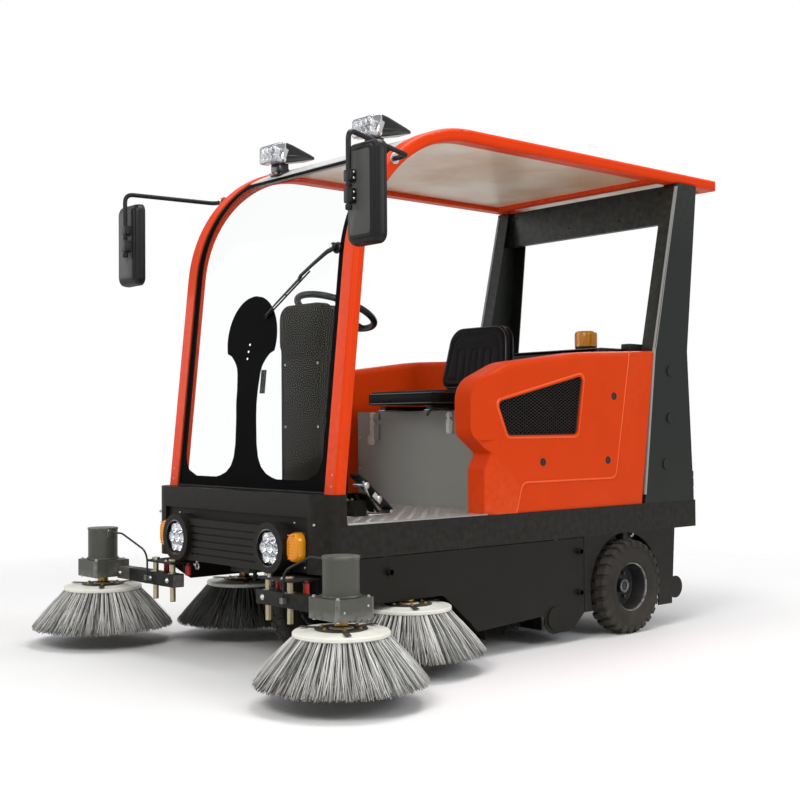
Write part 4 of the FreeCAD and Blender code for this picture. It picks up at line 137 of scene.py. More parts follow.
def make_wear_effect():
    """Bare, lighter edges where paint or plastic is rubbed."""
    tree, given, result = effect("edge_wear", [("Color", "NodeSocketColor", (0.5, 0.5, 0.5, 1)),
                                               ("Worn", "NodeSocketColor", (0.6, 0.6, 0.6, 1)),
                                               ("Amount", "NodeSocketFloat", 0.5)],
                                 [("Color", "NodeSocketColor"), ("Mask", "NodeSocketFloat")])
    point = tree.nodes.new("ShaderNodeNewGeometry").outputs["Pointiness"]
    edge = maths(tree, "MULTIPLY_ADD", point, 9.0, -4.85, clamp=True)
    broken = maths(tree, "MULTIPLY_ADD", noise(tree, 38.0, 6), 2.6, -0.8, clamp=True)
    mask = maths(tree, "MULTIPLY", maths(tree, "MULTIPLY", edge, broken), given.outputs["Amount"], clamp=True)
    tree.links.new(mix_colours(tree, mask, given.outputs["Color"], given.outputs["Worn"]), result.inputs["Color"])
    tree.links.new(mask, result.inputs["Mask"])
    return tree


def make_grain_effect():
    """Height of a fine moulded or sprayed grain with a slower waviness."""
    tree, given, result = effect("fine_grain", [("Scale", "NodeSocketFloat", 600.0),
                                ("Wave", "NodeSocketFloat", 12.0), ("Wave share", "NodeSocketFloat", 0.5)],
                                [("Height", "NodeSocketFloat")])
    fine = noise(tree, given.outputs["Scale"], 2)
    slow = maths(tree, "MULTIPLY", noise(tree, given.outputs["Wave"], 2), given.outputs["Wave share"])
    tree.links.new(maths(tree, "ADD", fine, slow), result.inputs["Height"])
    return tree


TONE = make_tone_effect()
DUST = make_dust_effect()
WEAR = make_wear_effect()
GRAIN = make_grain_effect()


def place_effect(tree, group, **values):
    """One use of an effect in a material, with its own values."""
    step = tree.nodes.new("ShaderNodeGroup")
    step.node_tree = group
    for label, value in values.items():
        socket = step.inputs[label.replace("_", " ")]
        if isinstance(value, bpy.types.NodeSocket):
            tree.links.new(value, socket)
        else:
            socket.default_value = value
    return step


def rgb(red, green, blue):
    return (red, green, blue, 1.0)


def new_finish(name, **values):
    """A fresh Principled material under its name, with its plain values; gives its node tree and shader."""
    material = FINISH[name] = bpy.data.materials.new(name)
    material.use_nodes = True
    shader = material.node_tree.nodes["Principled BSDF"]
    for label, value in values.items():
        shader.inputs[label.replace("_", " ")].default_value = value
    return material.node_tree, shader


def finish(name, colour, roughness, metallic=0.0, coat=0.0, tone=0.15, tone_scale=5.0, worn=None, wear=0.4,
           dust=0.25, reach=0.6, grain=600.0, bump=0.02, wave=12.0, rough_spread=0.12, specular=0.5):
    """A painted, moulded or metal finish built from the shared effects."""
    tree, shader = new_finish(name, Metallic=metallic, Coat_Weight=coat, Coat_Roughness=0.08,
                              Specular_IOR_Level=specular)
    current = place_effect(tree, TONE, Color=colour, Scale=tone_scale, Amount=tone).outputs["Color"]
    if worn is not None:
        current = place_effect(tree, WEAR, Color=current, Worn=worn, Amount=wear).outputs["Color"]
    dusted = place_effect(tree, DUST, Color=current, Amount=dust, Reach=reach)
    tree.links.new(dusted.outputs["Color"], shader.inputs["Base Color"])
    spread = maths(tree, "MULTIPLY_ADD", noise(tree, 14.0, 4), rough_spread, roughness - rough_spread / 2)
    tree.links.new(maths(tree, "MULTIPLY_ADD", dusted.outputs["Mask"], 0.5, spread, clamp=True),
                   shader.inputs["Roughness"])
    relief = tree.nodes.new("ShaderNodeBump")
    relief.inputs["Strength"].default_value = bump
    relief.inputs["Distance"].default_value = 0.002
    tree.links.new(place_effect(tree, GRAIN, Scale=grain, Wave=wave).outputs["Height"], relief.inputs["Height"])
    tree.links.new(relief.outputs["Normal"], shader.inputs["Normal"])


def clear_finish(name, colour, roughness, coat, solid=0.0):
    """Tinted glass or clear plastic with faint smears; solid is the share that lets no light through."""
    tree, shader = new_finish(name, Transmission_Weight=1.0 - solid, IOR=1.45, Coat_Weight=coat)
    tint = place_effect(tree, TONE, Color=colour, Scale=3.0, Amount=0.05)
    tree.links.new(tint.outputs["Color"], shader.inputs["Base Color"])
    tree.links.new(maths(tree, "MULTIPLY_ADD", noise(tree, 7.0, 5), 0.05, roughness), shader.inputs["Roughness"])


def thin_glass():
    """Windscreen sheet: mostly clear, with a mirror share that grows at a slant."""
    tree, shader = new_finish("screen_glass", Transmission_Weight=1.0, IOR=1.02,
                              Coat_Weight=0.05, Coat_Roughness=0.02)
    tint = place_effect(tree, TONE, Color=rgb(0.97, 0.985, 0.985), Scale=2.0, Amount=0.03)
    tree.links.new(tint.outputs["Color"], shader.inputs["Base Color"])
    tree.links.new(maths(tree, "MULTIPLY_ADD", noise(tree, 5.0, 5), 0.03, 0.0), shader.inputs["Roughness"])


def roof_finish():
    """Roof sheet: white above and over the glass, cream and faintly patched where it is seen from below."""
    finish("roof_sheet", rgb(0.8, 0.79, 0.75), 0.34, coat=0.1, tone=0.05, dust=0.0, grain=300.0, bump=0.01)
    tree = FINISH["roof_sheet"].node_tree
    shader = tree.nodes["Principled BSDF"]
    facing = tree.nodes.new("ShaderNodeSeparateXYZ")
    tree.links.new(tree.nodes.new("ShaderNodeNewGeometry").outputs["Normal"], facing.inputs[0])
    below = maths(tree, "LESS_THAN", facing.outputs[2], -0.55)
    patches = maths(tree, "MULTIPLY_ADD", noise(tree, 2.6, 3), 3.6, -1.3, clamp=True)
    cream = mix_colours(tree, patches, rgb(0.78, 0.54, 0.34), rgb(1.0, 0.9, 0.74))
    tree.links.new(mix_colours(tree, below, rgb(0.66, 0.655, 0.63), cream), shader.inputs["Base Color"])


def strand_finish(name, root, tip, tip_z, root_z, streak):
    """Brush strands: each strand its own shade, darker and dirtier towards the tips."""
    tree, shader = new_finish(name, Specular_IOR_Level=0.35)
    split = tree.nodes.new("ShaderNodeSeparateXYZ")
    tree.links.new(tree.nodes.new("ShaderNodeTexCoord").outputs["Object"], split.inputs[0])
    height = maths(tree, "DIVIDE", maths(tree, "SUBTRACT", split.outputs[2], tip_z), root_z - tip_z, clamp=True)
    soiled = maths(tree, "POWER", maths(tree, "SUBTRACT", 1.0, height), 3.0)
    own = tree.nodes.new("ShaderNodeVertexColor")
    own.layer_name = SHADE_LAYER
    shade = mix_colours(tree, 1.0, root, own.outputs["Color"], "MULTIPLY")
    dirty = maths(tree, "MULTIPLY", soiled,
                  maths(tree, "MULTIPLY_ADD", noise(tree, streak, 3), 1.2, 0.15), clamp=True)
    tree.links.new(mix_colours(tree, dirty, shade, tip), shader.inputs["Base Color"])
    tree.links.new(maths(tree, "MULTIPLY_ADD", noise(tree, 40.0, 2), 0.2, 0.5), shader.inputs["Roughness"])


def make_finishes():
    """Every finish on the machine, by the name its pieces ask for."""
    finish("orange_paint", rgb(0.8, 0.048, 0.001), 0.36, tone=0.12, worn=rgb(0.85, 0.28, 0.12), wear=0.2,
           dust=0.03, reach=0.9, grain=260.0, bump=0.015, specular=0.13)
    finish("orange_plastic", rgb(0.69, 0.05, 0.001), 0.42, tone=0.14, worn=rgb(0.88, 0.3, 0.12), wear=0.25,
           dust=0.03, reach=1.0, grain=900.0, bump=0.04, wave=7.0, specular=0.14)
    # Lighter, glossier orange for the panel beads: painted highlight along the moulded relief.
    finish("orange_bead_highlight", rgb(0.9, 0.105, 0.008), 0.3, coat=0.12, tone=0.1, dust=0.03,
           reach=1.0, grain=900.0, specular=0.4)
    finish("vent_wire", rgb(0.032, 0.025, 0.023), 0.5, tone=0.1, dust=0.02, grain=900.0, specular=0.25)
    finish("skirt_paint", rgb(0.0105, 0.0092, 0.007), 0.46, tone=0.2, worn=rgb(0.06, 0.055, 0.05), wear=0.25,
           dust=0.02, reach=0.55, grain=420.0, bump=0.04, specular=0.18)
    finish("chassis_paint", rgb(0.008, 0.008, 0.008), 0.5, tone=0.3, worn=rgb(0.09, 0.07, 0.06), dust=0.18,
           grain=300.0, bump=0.08, specular=0.25)
    finish("pillar_paint", rgb(0.0105, 0.0145, 0.0115), 0.4, tone=0.2, worn=rgb(0.1, 0.11, 0.1), wear=0.3,
           dust=0.05, reach=1.0, grain=400.0, bump=0.04, specular=0.28)
    finish("latch_plate", rgb(0.58, 0.59, 0.57), 0.36, metallic=0.3, tone=0.2, dust=0.05, reach=1.0, grain=300.0,
           bump=0.03, specular=0.4)
    finish("mirror_panel", rgb(0.072, 0.075, 0.072), 0.5, dust=0.05, reach=0.8,
           grain=900.0, bump=0.05, specular=0.3)
    # Pale grey for the strips over the pillars' front edges: a painted highlight where the light catches them.
    finish("pillar_highlight_grey", rgb(0.3, 0.31, 0.3), 0.42, dust=0.05, reach=1.0, grain=400.0, bump=0.04, specular=0.3)
    finish("hopper_paint", rgb(0.01, 0.01, 0.01), 0.44, tone=0.2, worn=rgb(0.1, 0.09, 0.08), dust=0.1, reach=1.1,
           grain=380.0, bump=0.05, specular=0.25)
    finish("box_grey", rgb(0.25, 0.258, 0.238), 0.45, coat=0.03, tone=0.12, worn=rgb(0.3, 0.3, 0.28), wear=0.3,
           dust=0.1, reach=0.9, grain=500.0, bump=0.04, specular=0.3)
    finish("motor_grey", rgb(0.08, 0.082, 0.07), 0.42, metallic=0.2, tone=0.25, worn=rgb(0.45, 0.45, 0.45),
           wear=0.6, dust=0.2, reach=0.7, grain=260.0, bump=0.06, specular=0.35)
    finish("cast_grey", rgb(0.026, 0.027, 0.028), 0.55, metallic=0.35, tone=0.3, worn=rgb(0.3, 0.28, 0.25),
           wear=0.5, dust=0.3, grain=180.0, bump=0.2, specular=0.3)
    finish("arm_black", rgb(0.006, 0.0055, 0.005), 0.46, tone=0.25, worn=rgb(0.2, 0.19, 0.18), wear=0.3,
           dust=0.03, grain=300.0, bump=0.06, specular=0.15)
    finish("rim_grey", rgb(0.03, 0.03, 0.031), 0.38, metallic=0.3, tone=0.2, worn=rgb(0.55, 0.55, 0.55), wear=0.8,
           dust=0.12, reach=0.45, grain=320.0, bump=0.05, specular=0.3)
    finish("zinc_plate", rgb(0.55, 0.47, 0.3), 0.32, metallic=0.9, tone=0.35, tone_scale=18.0,
           reach=0.7, grain=240.0, bump=0.03)
    finish("bright_zinc", rgb(0.62, 0.63, 0.64), 0.28, metallic=0.95, tone=0.2, tone_scale=20.0, dust=0.15,
           reach=0.7, grain=240.0, bump=0.03)
    finish("brass", rgb(0.5, 0.34, 0.13), 0.34, metallic=0.9, tone=0.25, tone_scale=25.0, dust=0.2,
           reach=0.5, grain=300.0, bump=0.03)
    finish("lamp_chrome", rgb(0.8, 0.81, 0.83), 0.1, metallic=1.0, tone=0.05, dust=0.0, grain=80.0, bump=0.004)
    finish("bare_steel", rgb(0.42, 0.42, 0.42), 0.3, metallic=0.9, tone=0.25, dust=0.2,
           reach=0.7, grain=500.0, bump=0.03)
    finish("black_plastic", rgb(0.0075, 0.0075, 0.008), 0.42, worn=rgb(0.05, 0.05, 0.05), wear=0.25, dust=0.05,
           reach=0.8, grain=1500.0, bump=0.08, specular=0.28)
    finish("gloss_black", rgb(0.006, 0.006, 0.007), 0.18, coat=0.25, tone=0.1, dust=0.04, reach=0.8, grain=900.0,
           bump=0.01, specular=0.4)
    finish("dark_panel", rgb(0.012, 0.0105, 0.006), 0.48, tone=0.25, dust=0.01,
           grain=1300.0, bump=0.03, specular=0.11)
    finish("battery_black", rgb(0.02, 0.02, 0.02), 0.5, dust=0.1, grain=700.0)
    finish("flap_rubber", rgb(0.01, 0.01, 0.01), 0.62, tone=0.2, dust=0.3, reach=0.3,
           grain=300.0, bump=0.12, specular=0.25)
    finish("tyre_rubber", rgb(0.026, 0.0235, 0.0205), 0.7, tone=0.25, worn=rgb(0.05, 0.047, 0.042), dust=0.16,
           reach=0.5, grain=420.0, bump=0.15, specular=0.2)
    finish("seat_vinyl", rgb(0.0045, 0.0038, 0.0036), 0.48, worn=rgb(0.03, 0.03, 0.03), wear=0.2, dust=0.03,
           reach=1.4, grain=1700.0, bump=0.12, wave=25.0, specular=0.08)
    finish("floor_plate", rgb(0.6, 0.585, 0.565), 0.34, metallic=0.72, tone=0.3, tone_scale=12.0, dust=0.3,
           reach=1.1, grain=300.0, bump=0.05)
    finish("brush_board", rgb(0.88, 0.88, 0.8), 0.5, tone=0.2, tone_scale=14.0, dust=0.12,
           reach=0.5, grain=420.0, bump=0.08)
    finish("board_black", rgb(0.018, 0.018, 0.018), 0.5, tone=0.3, dust=0.3, reach=0.5, grain=420.0, bump=0.08)
    finish("cable_black", rgb(0.01, 0.01, 0.01), 0.45, tone=0.1, dust=0.1, reach=0.7, grain=700.0, specular=0.3)
    finish("switch_red", rgb(0.52, 0.025, 0.015), 0.35, coat=0.2, tone=0.1, dust=0.05, grain=700.0)
    finish("mirror_silver", rgb(0.86, 0.87, 0.88), 0.02, metallic=1.0, tone=0.0, dust=0.0,
           grain=20.0, bump=0.0, rough_spread=0.01)
    finish("screen_print", rgb(0.0028, 0.0028, 0.0034), 0.6, tone=0.05, dust=0.0,
           grain=900.0, bump=0.0, specular=0.02)
    finish("display_glass", rgb(0.02, 0.03, 0.035), 0.08, coat=0.6, tone=0.2, dust=0.0, grain=400.0, bump=0.0)
    clear_finish("clear_lens", rgb(0.92, 0.93, 0.95), 0.02, 0.3)
    clear_finish("amber_lens", rgb(1.0, 0.37, 0.002), 0.12, 0.2, solid=0.85)
    clear_finish("red_lens", rgb(0.62, 0.015, 0.01), 0.1, 0.3, solid=0.4)
    clear_finish("lamp_glass", rgb(0.88, 0.9, 0.93), 0.04, 0.4, solid=0.25)
    finish("amber_core", rgb(0.85, 0.22, 0.008), 0.25, coat=0.4, tone=0.1, dust=0.0, grain=300.0, bump=0.0)
    roof_finish()
    thin_glass()
    strand_finish("brush_strand", rgb(0.8, 0.8, 0.77), rgb(0.065, 0.06, 0.054), 0.06, 0.225, 60.0)
    # Darker strands for the far mid brush: painted shade, the same bristles as the others.
    strand_finish("shade_painted_strand", rgb(0.2, 0.2, 0.185), rgb(0.05, 0.047, 0.042), 0.06, 0.225, 60.0)
    strand_finish("broom_strand", rgb(0.2, 0.21, 0.22), rgb(0.1, 0.09, 0.08), 0.02, 0.3, 60.0)


# Shapes

def turn_about(axis, degrees):
    return Matrix.Rotation(radians(degrees), 3, axis)


def steps_between(low, high, count):
    return [low + (high - low) * i / (count - 1) for i in range(count)]


def round_angles(count, shift=0):
    """Even angles round a circle, moved on by a share of one step."""
    return [2 * pi * (i + shift) / count for i in range(count)]


def rounded(low, high, radius, count=6):
    """Corners of a rounded rectangle between two corner points."""
    (x0, y0), (x1, y1) = low, high
    points = []
    for cx, cy, start in ((x1 - radius, y0 + radius, -90), (x1 - radius, y1 - radius, 0),
                          (x0 + radius, y1 - radius, 90), (x0 + radius, y0 + radius, 180)):
        for i in range(count + 1):
            angle = radians(start + 90 * i / count)
            points.append((cx + radius * cos(angle), cy + radius * sin(angle)))
    return points


def fillet(before, corner, after, radius, steps):
    """Points of one rounded corner between two straight runs."""
    back, ahead = before - corner, after - corner
    reach = min(radius / tan(back.angle(ahead) / 2), back.length * 0.45, ahead.length * 0.45)
    start, end = corner + back.normalized() * reach, corner + ahead.normalized() * reach
    shares = steps_between(0, 1, steps + 1)
    return [start * (1 - t) ** 2 + corner * 2 * t * (1 - t) + end * t ** 2 for t in shares]


def bend_path(points, radius, steps=8):
    """Points of an open line whose corners are rounded."""
    points = [Vector(p) for p in points]
    path = points[:1]
    for before, corner, after in zip(points, points[1:], points[2:]):
        path += fillet(before, corner, after, radius, steps)
    return path + points[-1:]


def bend_ring(points, radius, steps):
    """Points of a closed line whose corners are rounded."""
    points = [Vector(p) for p in points]
    return [p for i, corner in enumerate(points)
            for p in fillet(points[i - 1], corner, points[(i + 1) % len(points)], radius, steps)]


def frame_along(direction):
    """A rotation whose Z column points along a direction."""
    return Vector(direction).to_track_quat("Z", "Y").to_matrix()


def on_level(axis, a, b, level):
    """A point from two flat coordinates and its level along X, Y or Z."""
    return {"X": (level, a, b), "Y": (a, level, b), "Z": (a, b, level)}[axis]


class Form:
    """Collects shapes in one mesh; every shape gives the form back, and piece() puts it in the scene."""

    def __init__(self):
        self.mesh = bmesh.new()

    def block(self, low, high, bevel=0, turn=None, pivot=None):
        """A box between two corners, with rounded edges and an optional turn about a pivot."""
        low, high = Vector(low), Vector(high)
        size = high - low
        matrix = Matrix.Translation((low + high) / 2) @ Matrix.Diagonal((*(abs(side) for side in size), 1))
        made = bmesh.ops.create_cube(self.mesh, size=1, matrix=matrix)
        if bevel > 0:
            edges = list({edge for vert in made["verts"] for edge in vert.link_edges})
            made = bmesh.ops.bevel(self.mesh, geom=edges, offset=bevel, segments=2, affect="EDGES", profile=0.5)
        if turn is not None:
            centre = Vector(pivot) if pivot is not None else (low + high) / 2
            bmesh.ops.rotate(self.mesh, cent=centre, matrix=turn, verts=made["verts"])
        return self

    def box(self, centre, size, bevel=0, turn=None):
        """A block given by its middle and its size."""
        centre, half = Vector(centre), Vector(size) / 2
        return self.block(centre - half, centre + half, bevel, turn)

    def lathe(self, profile, centre, axis=UP, sides=32, closed=False):
        """A profile of (radius, height) points turned about an axis through centre."""
        turn, centre = frame_along(axis), Vector(centre)
        rings = []
        for radius, height in profile:
            angles = [2 * pi * i / sides for i in range(1 if radius < 1e-6 else sides)]
            places = [Vector((radius * cos(a), radius * sin(a), height)) for a in angles]
            rings.append([self.mesh.verts.new(centre + turn @ place) for place in places])
        for low, high in zip(rings, rings[1:] + (rings[:1] if closed else [])):
            for i in range(sides):
                j = (i + 1) % sides
                corners = dict.fromkeys((low[i % len(low)], low[j % len(low)],
                                         high[j % len(high)], high[i % len(high)]))
                if len(corners) > 2:
                    self.mesh.faces.new(list(corners))
        return self

    def rod(self, start, end, radius, sides=20, chamfer=0):
        """A round bar between two points with chamfered ends."""
        start, end = Vector(start), Vector(end)
        length = (end - start).length
        cut = min(chamfer, radius * 0.6, length * 0.4)
        profile = [(0, 0), (radius - cut, 0), (radius, cut), (radius, length - cut),
                   (radius - cut, length), (0, length)]
        if cut <= 0:
            profile = [(0, 0), (radius, 0), (radius, length), (0, length)]
        return self.lathe(profile, start, end - start, sides)

    def bolt(self, point, normal, size=0.01):
        """A hexagon bolt head on a washer."""
        point, normal = Vector(point), Vector(normal).normalized()
        self.rod(point, point + normal * size * 0.18, size * 1.05, 16)
        return self.rod(point, point + normal * size * 0.75, size * 0.62, 6, size * 0.08)

    def screw(self, point, normal, size=0.008):
        """A domed screw head with a socket."""
        shares = ((0, 0.12), (0.22, 0.12), (0.24, 0.42), (0.34, 0.4), (0.48, 0.22), (0.52, 0), (0.5, -0.1))
        return self.lathe([(size * a, size * b) for a, b in shares], point, normal, 14)

    def tube(self, points, radius, sides=12, flat=1):
        """A tube that follows a line of points, closed at both ends."""
        points = [Vector(p) for p in points]
        rings, up = [], None
        for i, here in enumerate(points):
            ahead = (points[min(i + 1, len(points) - 1)] - points[max(i - 1, 0)]).normalized()
            up = up or ahead.orthogonal().normalized()
            up = (up - ahead * up.dot(ahead)).normalized()
            side = ahead.cross(up)
            width = radius[i] if isinstance(radius, (list, tuple)) else radius
            angles = [2 * pi * k / sides for k in range(sides)]
            side = side * flat
            rings.append([here + (up * cos(a) + side * sin(a)) * width for a in angles])
        return self.skin(rings)

    def skin(self, rings):
        """Rings of points joined one to the next, with both ends closed."""
        rings = [[self.mesh.verts.new(Vector(p)) for p in ring] for ring in rings]
        for low, high in zip(rings, rings[1:]):
            for i in range(len(low)):
                j = (i + 1) % len(low)
                self.mesh.faces.new((low[i], low[j], high[j], high[i]))
        self.mesh.faces.new(rings[0])
        self.mesh.faces.new(list(reversed(rings[-1])))
        return self

    def stack(self, layers, axis="Y"):
        """A closed shell through outlines at levels along an axis: each layer is (level, corners)."""
        return self.skin([[on_level(axis, a, b, level) for a, b in corners] for level, corners in layers])

    def surface(self, rows):
        """A sheet through rows of points; gives its rows of corners."""
        grid = [[self.mesh.verts.new(Vector(p)) for p in row] for row in rows]
        for low, high in zip(grid, grid[1:]):
            for i in range(len(low) - 1):
                self.mesh.faces.new((low[i], low[i + 1], high[i + 1], high[i]))
        return grid

    def prism(self, outline, axis, low, high, bevel=0):
        """A flat outline of two coordinates drawn out along X, Y or Z between two levels."""
        bottom, top = ([self.mesh.verts.new(on_level(axis, a, b, level)) for a,
                        b in outline] for level in (low, high))
        faces = [self.mesh.faces.new(bottom), self.mesh.faces.new(list(reversed(top)))]
        for i in range(len(outline)):
            j = (i + 1) % len(outline)
            self.mesh.faces.new((bottom[i], top[i], top[j], bottom[j]))
        if bevel > 0:
            rim = [edge for face in faces for edge in face.edges]
            bmesh.ops.bevel(self.mesh, geom=rim, offset=bevel, segments=2, affect="EDGES", profile=0.5)
        return self

    def mirror_x(self):
        """Add the other side's copy of everything made so far."""
        made = bmesh.ops.duplicate(self.mesh, geom=self.mesh.verts[:] + self.mesh.edges[:] + self.mesh.faces[:])
        for vert in (item for item in made["geom"] if isinstance(item, bmesh.types.BMVert)):
            vert.co.x = -vert.co.x
        bmesh.ops.reverse_faces(self.mesh,
                                faces=[item for item in made["geom"] if isinstance(item, bmesh.types.BMFace)])
        return self

    def piece(self, name, material, body="chassis", slot=None, stands_for=(), sharp=35, bevel=0, subdivide=0):
        """Finish the mesh as one scene piece that rides on a body; the slot argument is not used."""
        bmesh.ops.recalc_face_normals(self.mesh, faces=self.mesh.faces[:])
        data = bpy.data.meshes.new(name)
        self.mesh.to_mesh(data)
        self.mesh.free()
        data.materials.append(FINISH[material])
        obj = bpy.data.objects.new(name, data)
        bpy.context.scene.collection.objects.link(obj)
        data.shade_smooth()
        data.set_sharp_from_angle(angle=radians(sharp))
        if bevel > 0:
            soften(obj, bevel)
        if subdivide:
            modifier = obj.modifiers.new("smooth", "SUBSURF")
            modifier.levels = modifier.render_levels = subdivide
        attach(obj, body)
        if stands_for:
            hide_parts(*stands_for)
        return obj


def soften(obj, width, angle=30):
    """Round an object's sharp edges a little so they catch the light."""
    modifier = obj.modifiers.new("edge", "BEVEL")
    modifier.width = width
    modifier.segments = 2
    modifier.limit_method = "ANGLE"
    modifier.angle_limit = radians(angle)
    modifier.harden_normals = True


def dress_node(node, material, edge):
    """Give a carried-over solid its finish and softly rounded edges."""
    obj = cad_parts[node]
    for slot in obj.material_slots:
        slot.material = FINISH[material]
    if not obj.material_slots:
        obj.data.materials.append(FINISH[material])
    if edge > 0:
        soften(obj, edge)


def dress_nodes():
    """Finishes and edge rounding for every solid that stays in view."""
    for material, edge, nodes in (
        ("chassis_paint", 0.003, "frame_rails"),
        ("chassis_paint", 0.002, "cross_members"),
        ("chassis_paint", 0.001, "deck_plate seat_frame brush_carrier"),
        ("floor_plate", 0.0005, "floor_plate"),
        ("skirt_paint", 0.002, "front_bumper"),
        ("skirt_paint", 0.003, "lamp_panel"),
        ("clear_lens", 0.001, "headlamps"),
        ("amber_lens", 0, "indicator_lamps"),
        ("skirt_paint", 0.0015, "skirt_bands access_panels arch_guards"),
        ("orange_paint", 0.003, "canopy_rails canopy_bars"),
        ("roof_sheet", 0.0015, "roof_panel"),
        ("screen_glass", 0, "windscreen"),
        ("pillar_paint", 0.0015, "rear_pillars rear_header"),
        ("orange_plastic", 0.003, "side_panels"),
        ("black_plastic", 0, "vent_grilles steering_wheel"),
        ("box_grey", 0.0015, "battery_box box_lid"),
        ("battery_black", 0.002, "battery_pack"),
        ("seat_vinyl", 0.004, "seat_pads"),
        ("hopper_paint", 0.003, "rear_hood"),
        ("amber_lens", 0.002, "beacon"),
        ("hopper_paint", 0.0015, "hopper"),
        ("rim_grey", 0.0015, "rear_rim_left rear_rim_right front_rim"),
        ("tyre_rubber", 0, "rear_tyre_left rear_tyre_right front_tyre"),
        ("cast_grey", 0.002, "steering_fork rear_axle"),
        ("dark_panel", 0.003, "console"),
        ("motor_grey", 0.002, "brush_arm_left brush_arm_right mid_drive_left mid_drive_right"),
        ("cable_black", 0, "motor_cable_left motor_cable_right"),
        ("brush_board", 0, "brush_left brush_right mid_brush_left mid_brush_right"),
        ("broom_strand", 0, "main_broom"),
        ("chassis_paint", 0.0015, "broom_housing"),
        ("flap_rubber", 0.0005, "dust_flaps"),
        ("black_plastic", 0.002, "mirrors"),
        ("lamp_chrome", 0.003, "roof_lamps"),
        ("red_lens", 0.002, "tail_lamps"),
    ):
        for node in nodes.split():
            dress_node(node, material, edge)


# Disc brushes

def shade_face(face, layer, level):
    """Write one grey level on every corner of a face."""
    for loop in face.loops:
        loop[layer] = (level, level, level, 1)


def disc_brush(name, body, node, centre, seed, strand):
    """Strands in tufts, the board they are set in, its dark inner plate and the brass hub."""
    chance = random.Random(seed)
    cx, cy = centre
    strands = Form()
    shade = strands.mesh.loops.layers.color.new(SHADE_LAYER)
    tufts, root_height, widest = 62, 0.23, 0.2938
    for row, (root_r, tip_r, tip_z, count) in enumerate((
            (0.151, 0.286, 0.066, 34), (0.136, 0.262, 0.068, 25), (0.12, 0.236, 0.071, 16))):
        for tuft in range(tufts):
            middle = 2 * pi * (tuft + row * 0.5) / tufts
            tuft_shade = chance.uniform(0.76, 1.04)
            lean = chance.uniform(-0.02, 0.02)
            for _ in range(count):
                a_root = middle + chance.gauss(0, 0.0135)
                spread = chance.gauss(0, 0.034) + lean
                r_root = root_r + chance.uniform(-0.006, 0.006)
                r_tip = min(tip_r + chance.uniform(-0.022, 0.01), widest)
                z_tip = tip_z + abs(chance.gauss(0, 0.007))
                bow = chance.uniform(0, 0.008)
                points = []
                for step in range(4):
                    t = step / 3
                    radius = r_root + (r_tip - r_root) * t + bow * sin(pi * t)
                    angle = a_root + spread * t * t
                    height = root_height + (z_tip - root_height) * t
                    points.append(Vector((cx + radius * cos(angle), cy + radius * sin(angle), height)))
                width = chance.uniform(0.0009, 0.0016)
                side = Vector((-sin(a_root), cos(a_root), 0)) * width
                out = Vector((cos(a_root), sin(a_root), 0.5)) * width
                level = tuft_shade * chance.choice((0.42, 0.68, 0.85, 1, 1.12, 1.28))
                rows = [[strands.mesh.verts.new(p - side), strands.mesh.verts.new(p + out),
                         strands.mesh.verts.new(p + side)] for p in points]
                for low, high in zip(rows, rows[1:]):
                    for k in range(2):
                        corners = (low[k], low[k + 1], high[k + 1], high[k])
                        shade_face(strands.mesh.faces.new(corners), shade, level)
    strands.piece(name + "_strands", strand, body, stands_for=(node,), sharp=180)
    core = Form()
    core_painted_shade = core.mesh.loops.layers.color.new(SHADE_LAYER)
    core.lathe([(0.11, 0.226), (0.15, 0.226), (0.214, 0.15), (0.268, 0.074), (0.225, 0.076), (0.16, 0.15),
                (0.11, 0.226)], (cx, cy, 0), UP, 88)
    # Dark grey levels on the core: painted shade inside the bristle mass, seen between the tufts.
    for face in core.mesh.faces:
        shade_face(face, core_painted_shade, chance.uniform(0.14, 0.42))
    core.piece(name + "_strand_core", strand, body)
    Form().lathe([(0, 0.2255), (0.16, 0.2255), (0.1635, 0.229), (0.1635, 0.238), (0.16, 0.2415), (0.118, 0.2435),
                  (0.112, 0.2465), (0.045, 0.2465), (0.04, 0.252), (0, 0.252)], (cx, cy, 0), UP,
                 72).piece(name + "_board", "brush_board", body)
    plate = Form()
    plate.lathe([(0, 0.247), (0.088, 0.247), (0.09, 0.2485), (0.086, 0.2505), (0, 0.2505)], (cx, cy, 0), UP, 48)
    for angle in round_angles(3):
        plate.block((cx - 0.011, cy + 0.07, 0.247), (cx + 0.011, cy + 0.15, 0.25), 0.001,
                    turn_about("Z", degrees(angle)), (cx, cy, 0.248))
    plate.piece(name + "_plate", "board_black", body)
    hub = Form()
    hub.lathe([(0.034, 0.25), (0.034, 0.256), (0.024, 0.26), (0.022, 0.266), (0.022, 0.279), (0.012, 0.281),
               (0.0115, 0.31), (0, 0.31)], (cx, cy, 0), UP, 28)
    for angle in round_angles(6, 0.5):
        hub.bolt((cx + 0.068 * cos(angle), cy + 0.068 * sin(angle), 0.2505), UP, 0.009)
    hub.piece(name + "_hub", "brass", body)


def make_disc_brushes():
    """The front pair and the mid pair; the far mid brush's strands take a darker finish, painted shade for the
    shadow it stands in under the machine.
    """
    for label, body, node, (x, y), seed, strand in (
        ("front_brush", "front_brush_", "brush_", FRONT_BRUSH, 11, "brush_strand"),
        ("mid_brush", "mid_sweep_", "mid_brush_", MID_BRUSH, 13, "shade_painted_strand"),
    ):
        disc_brush(label + "_left", body + "left", node + "left", (x, y), seed, "brush_strand")
        disc_brush(label + "_right", body + "right", node + "right", (-x, y), seed + 1, strand)


# Tyres

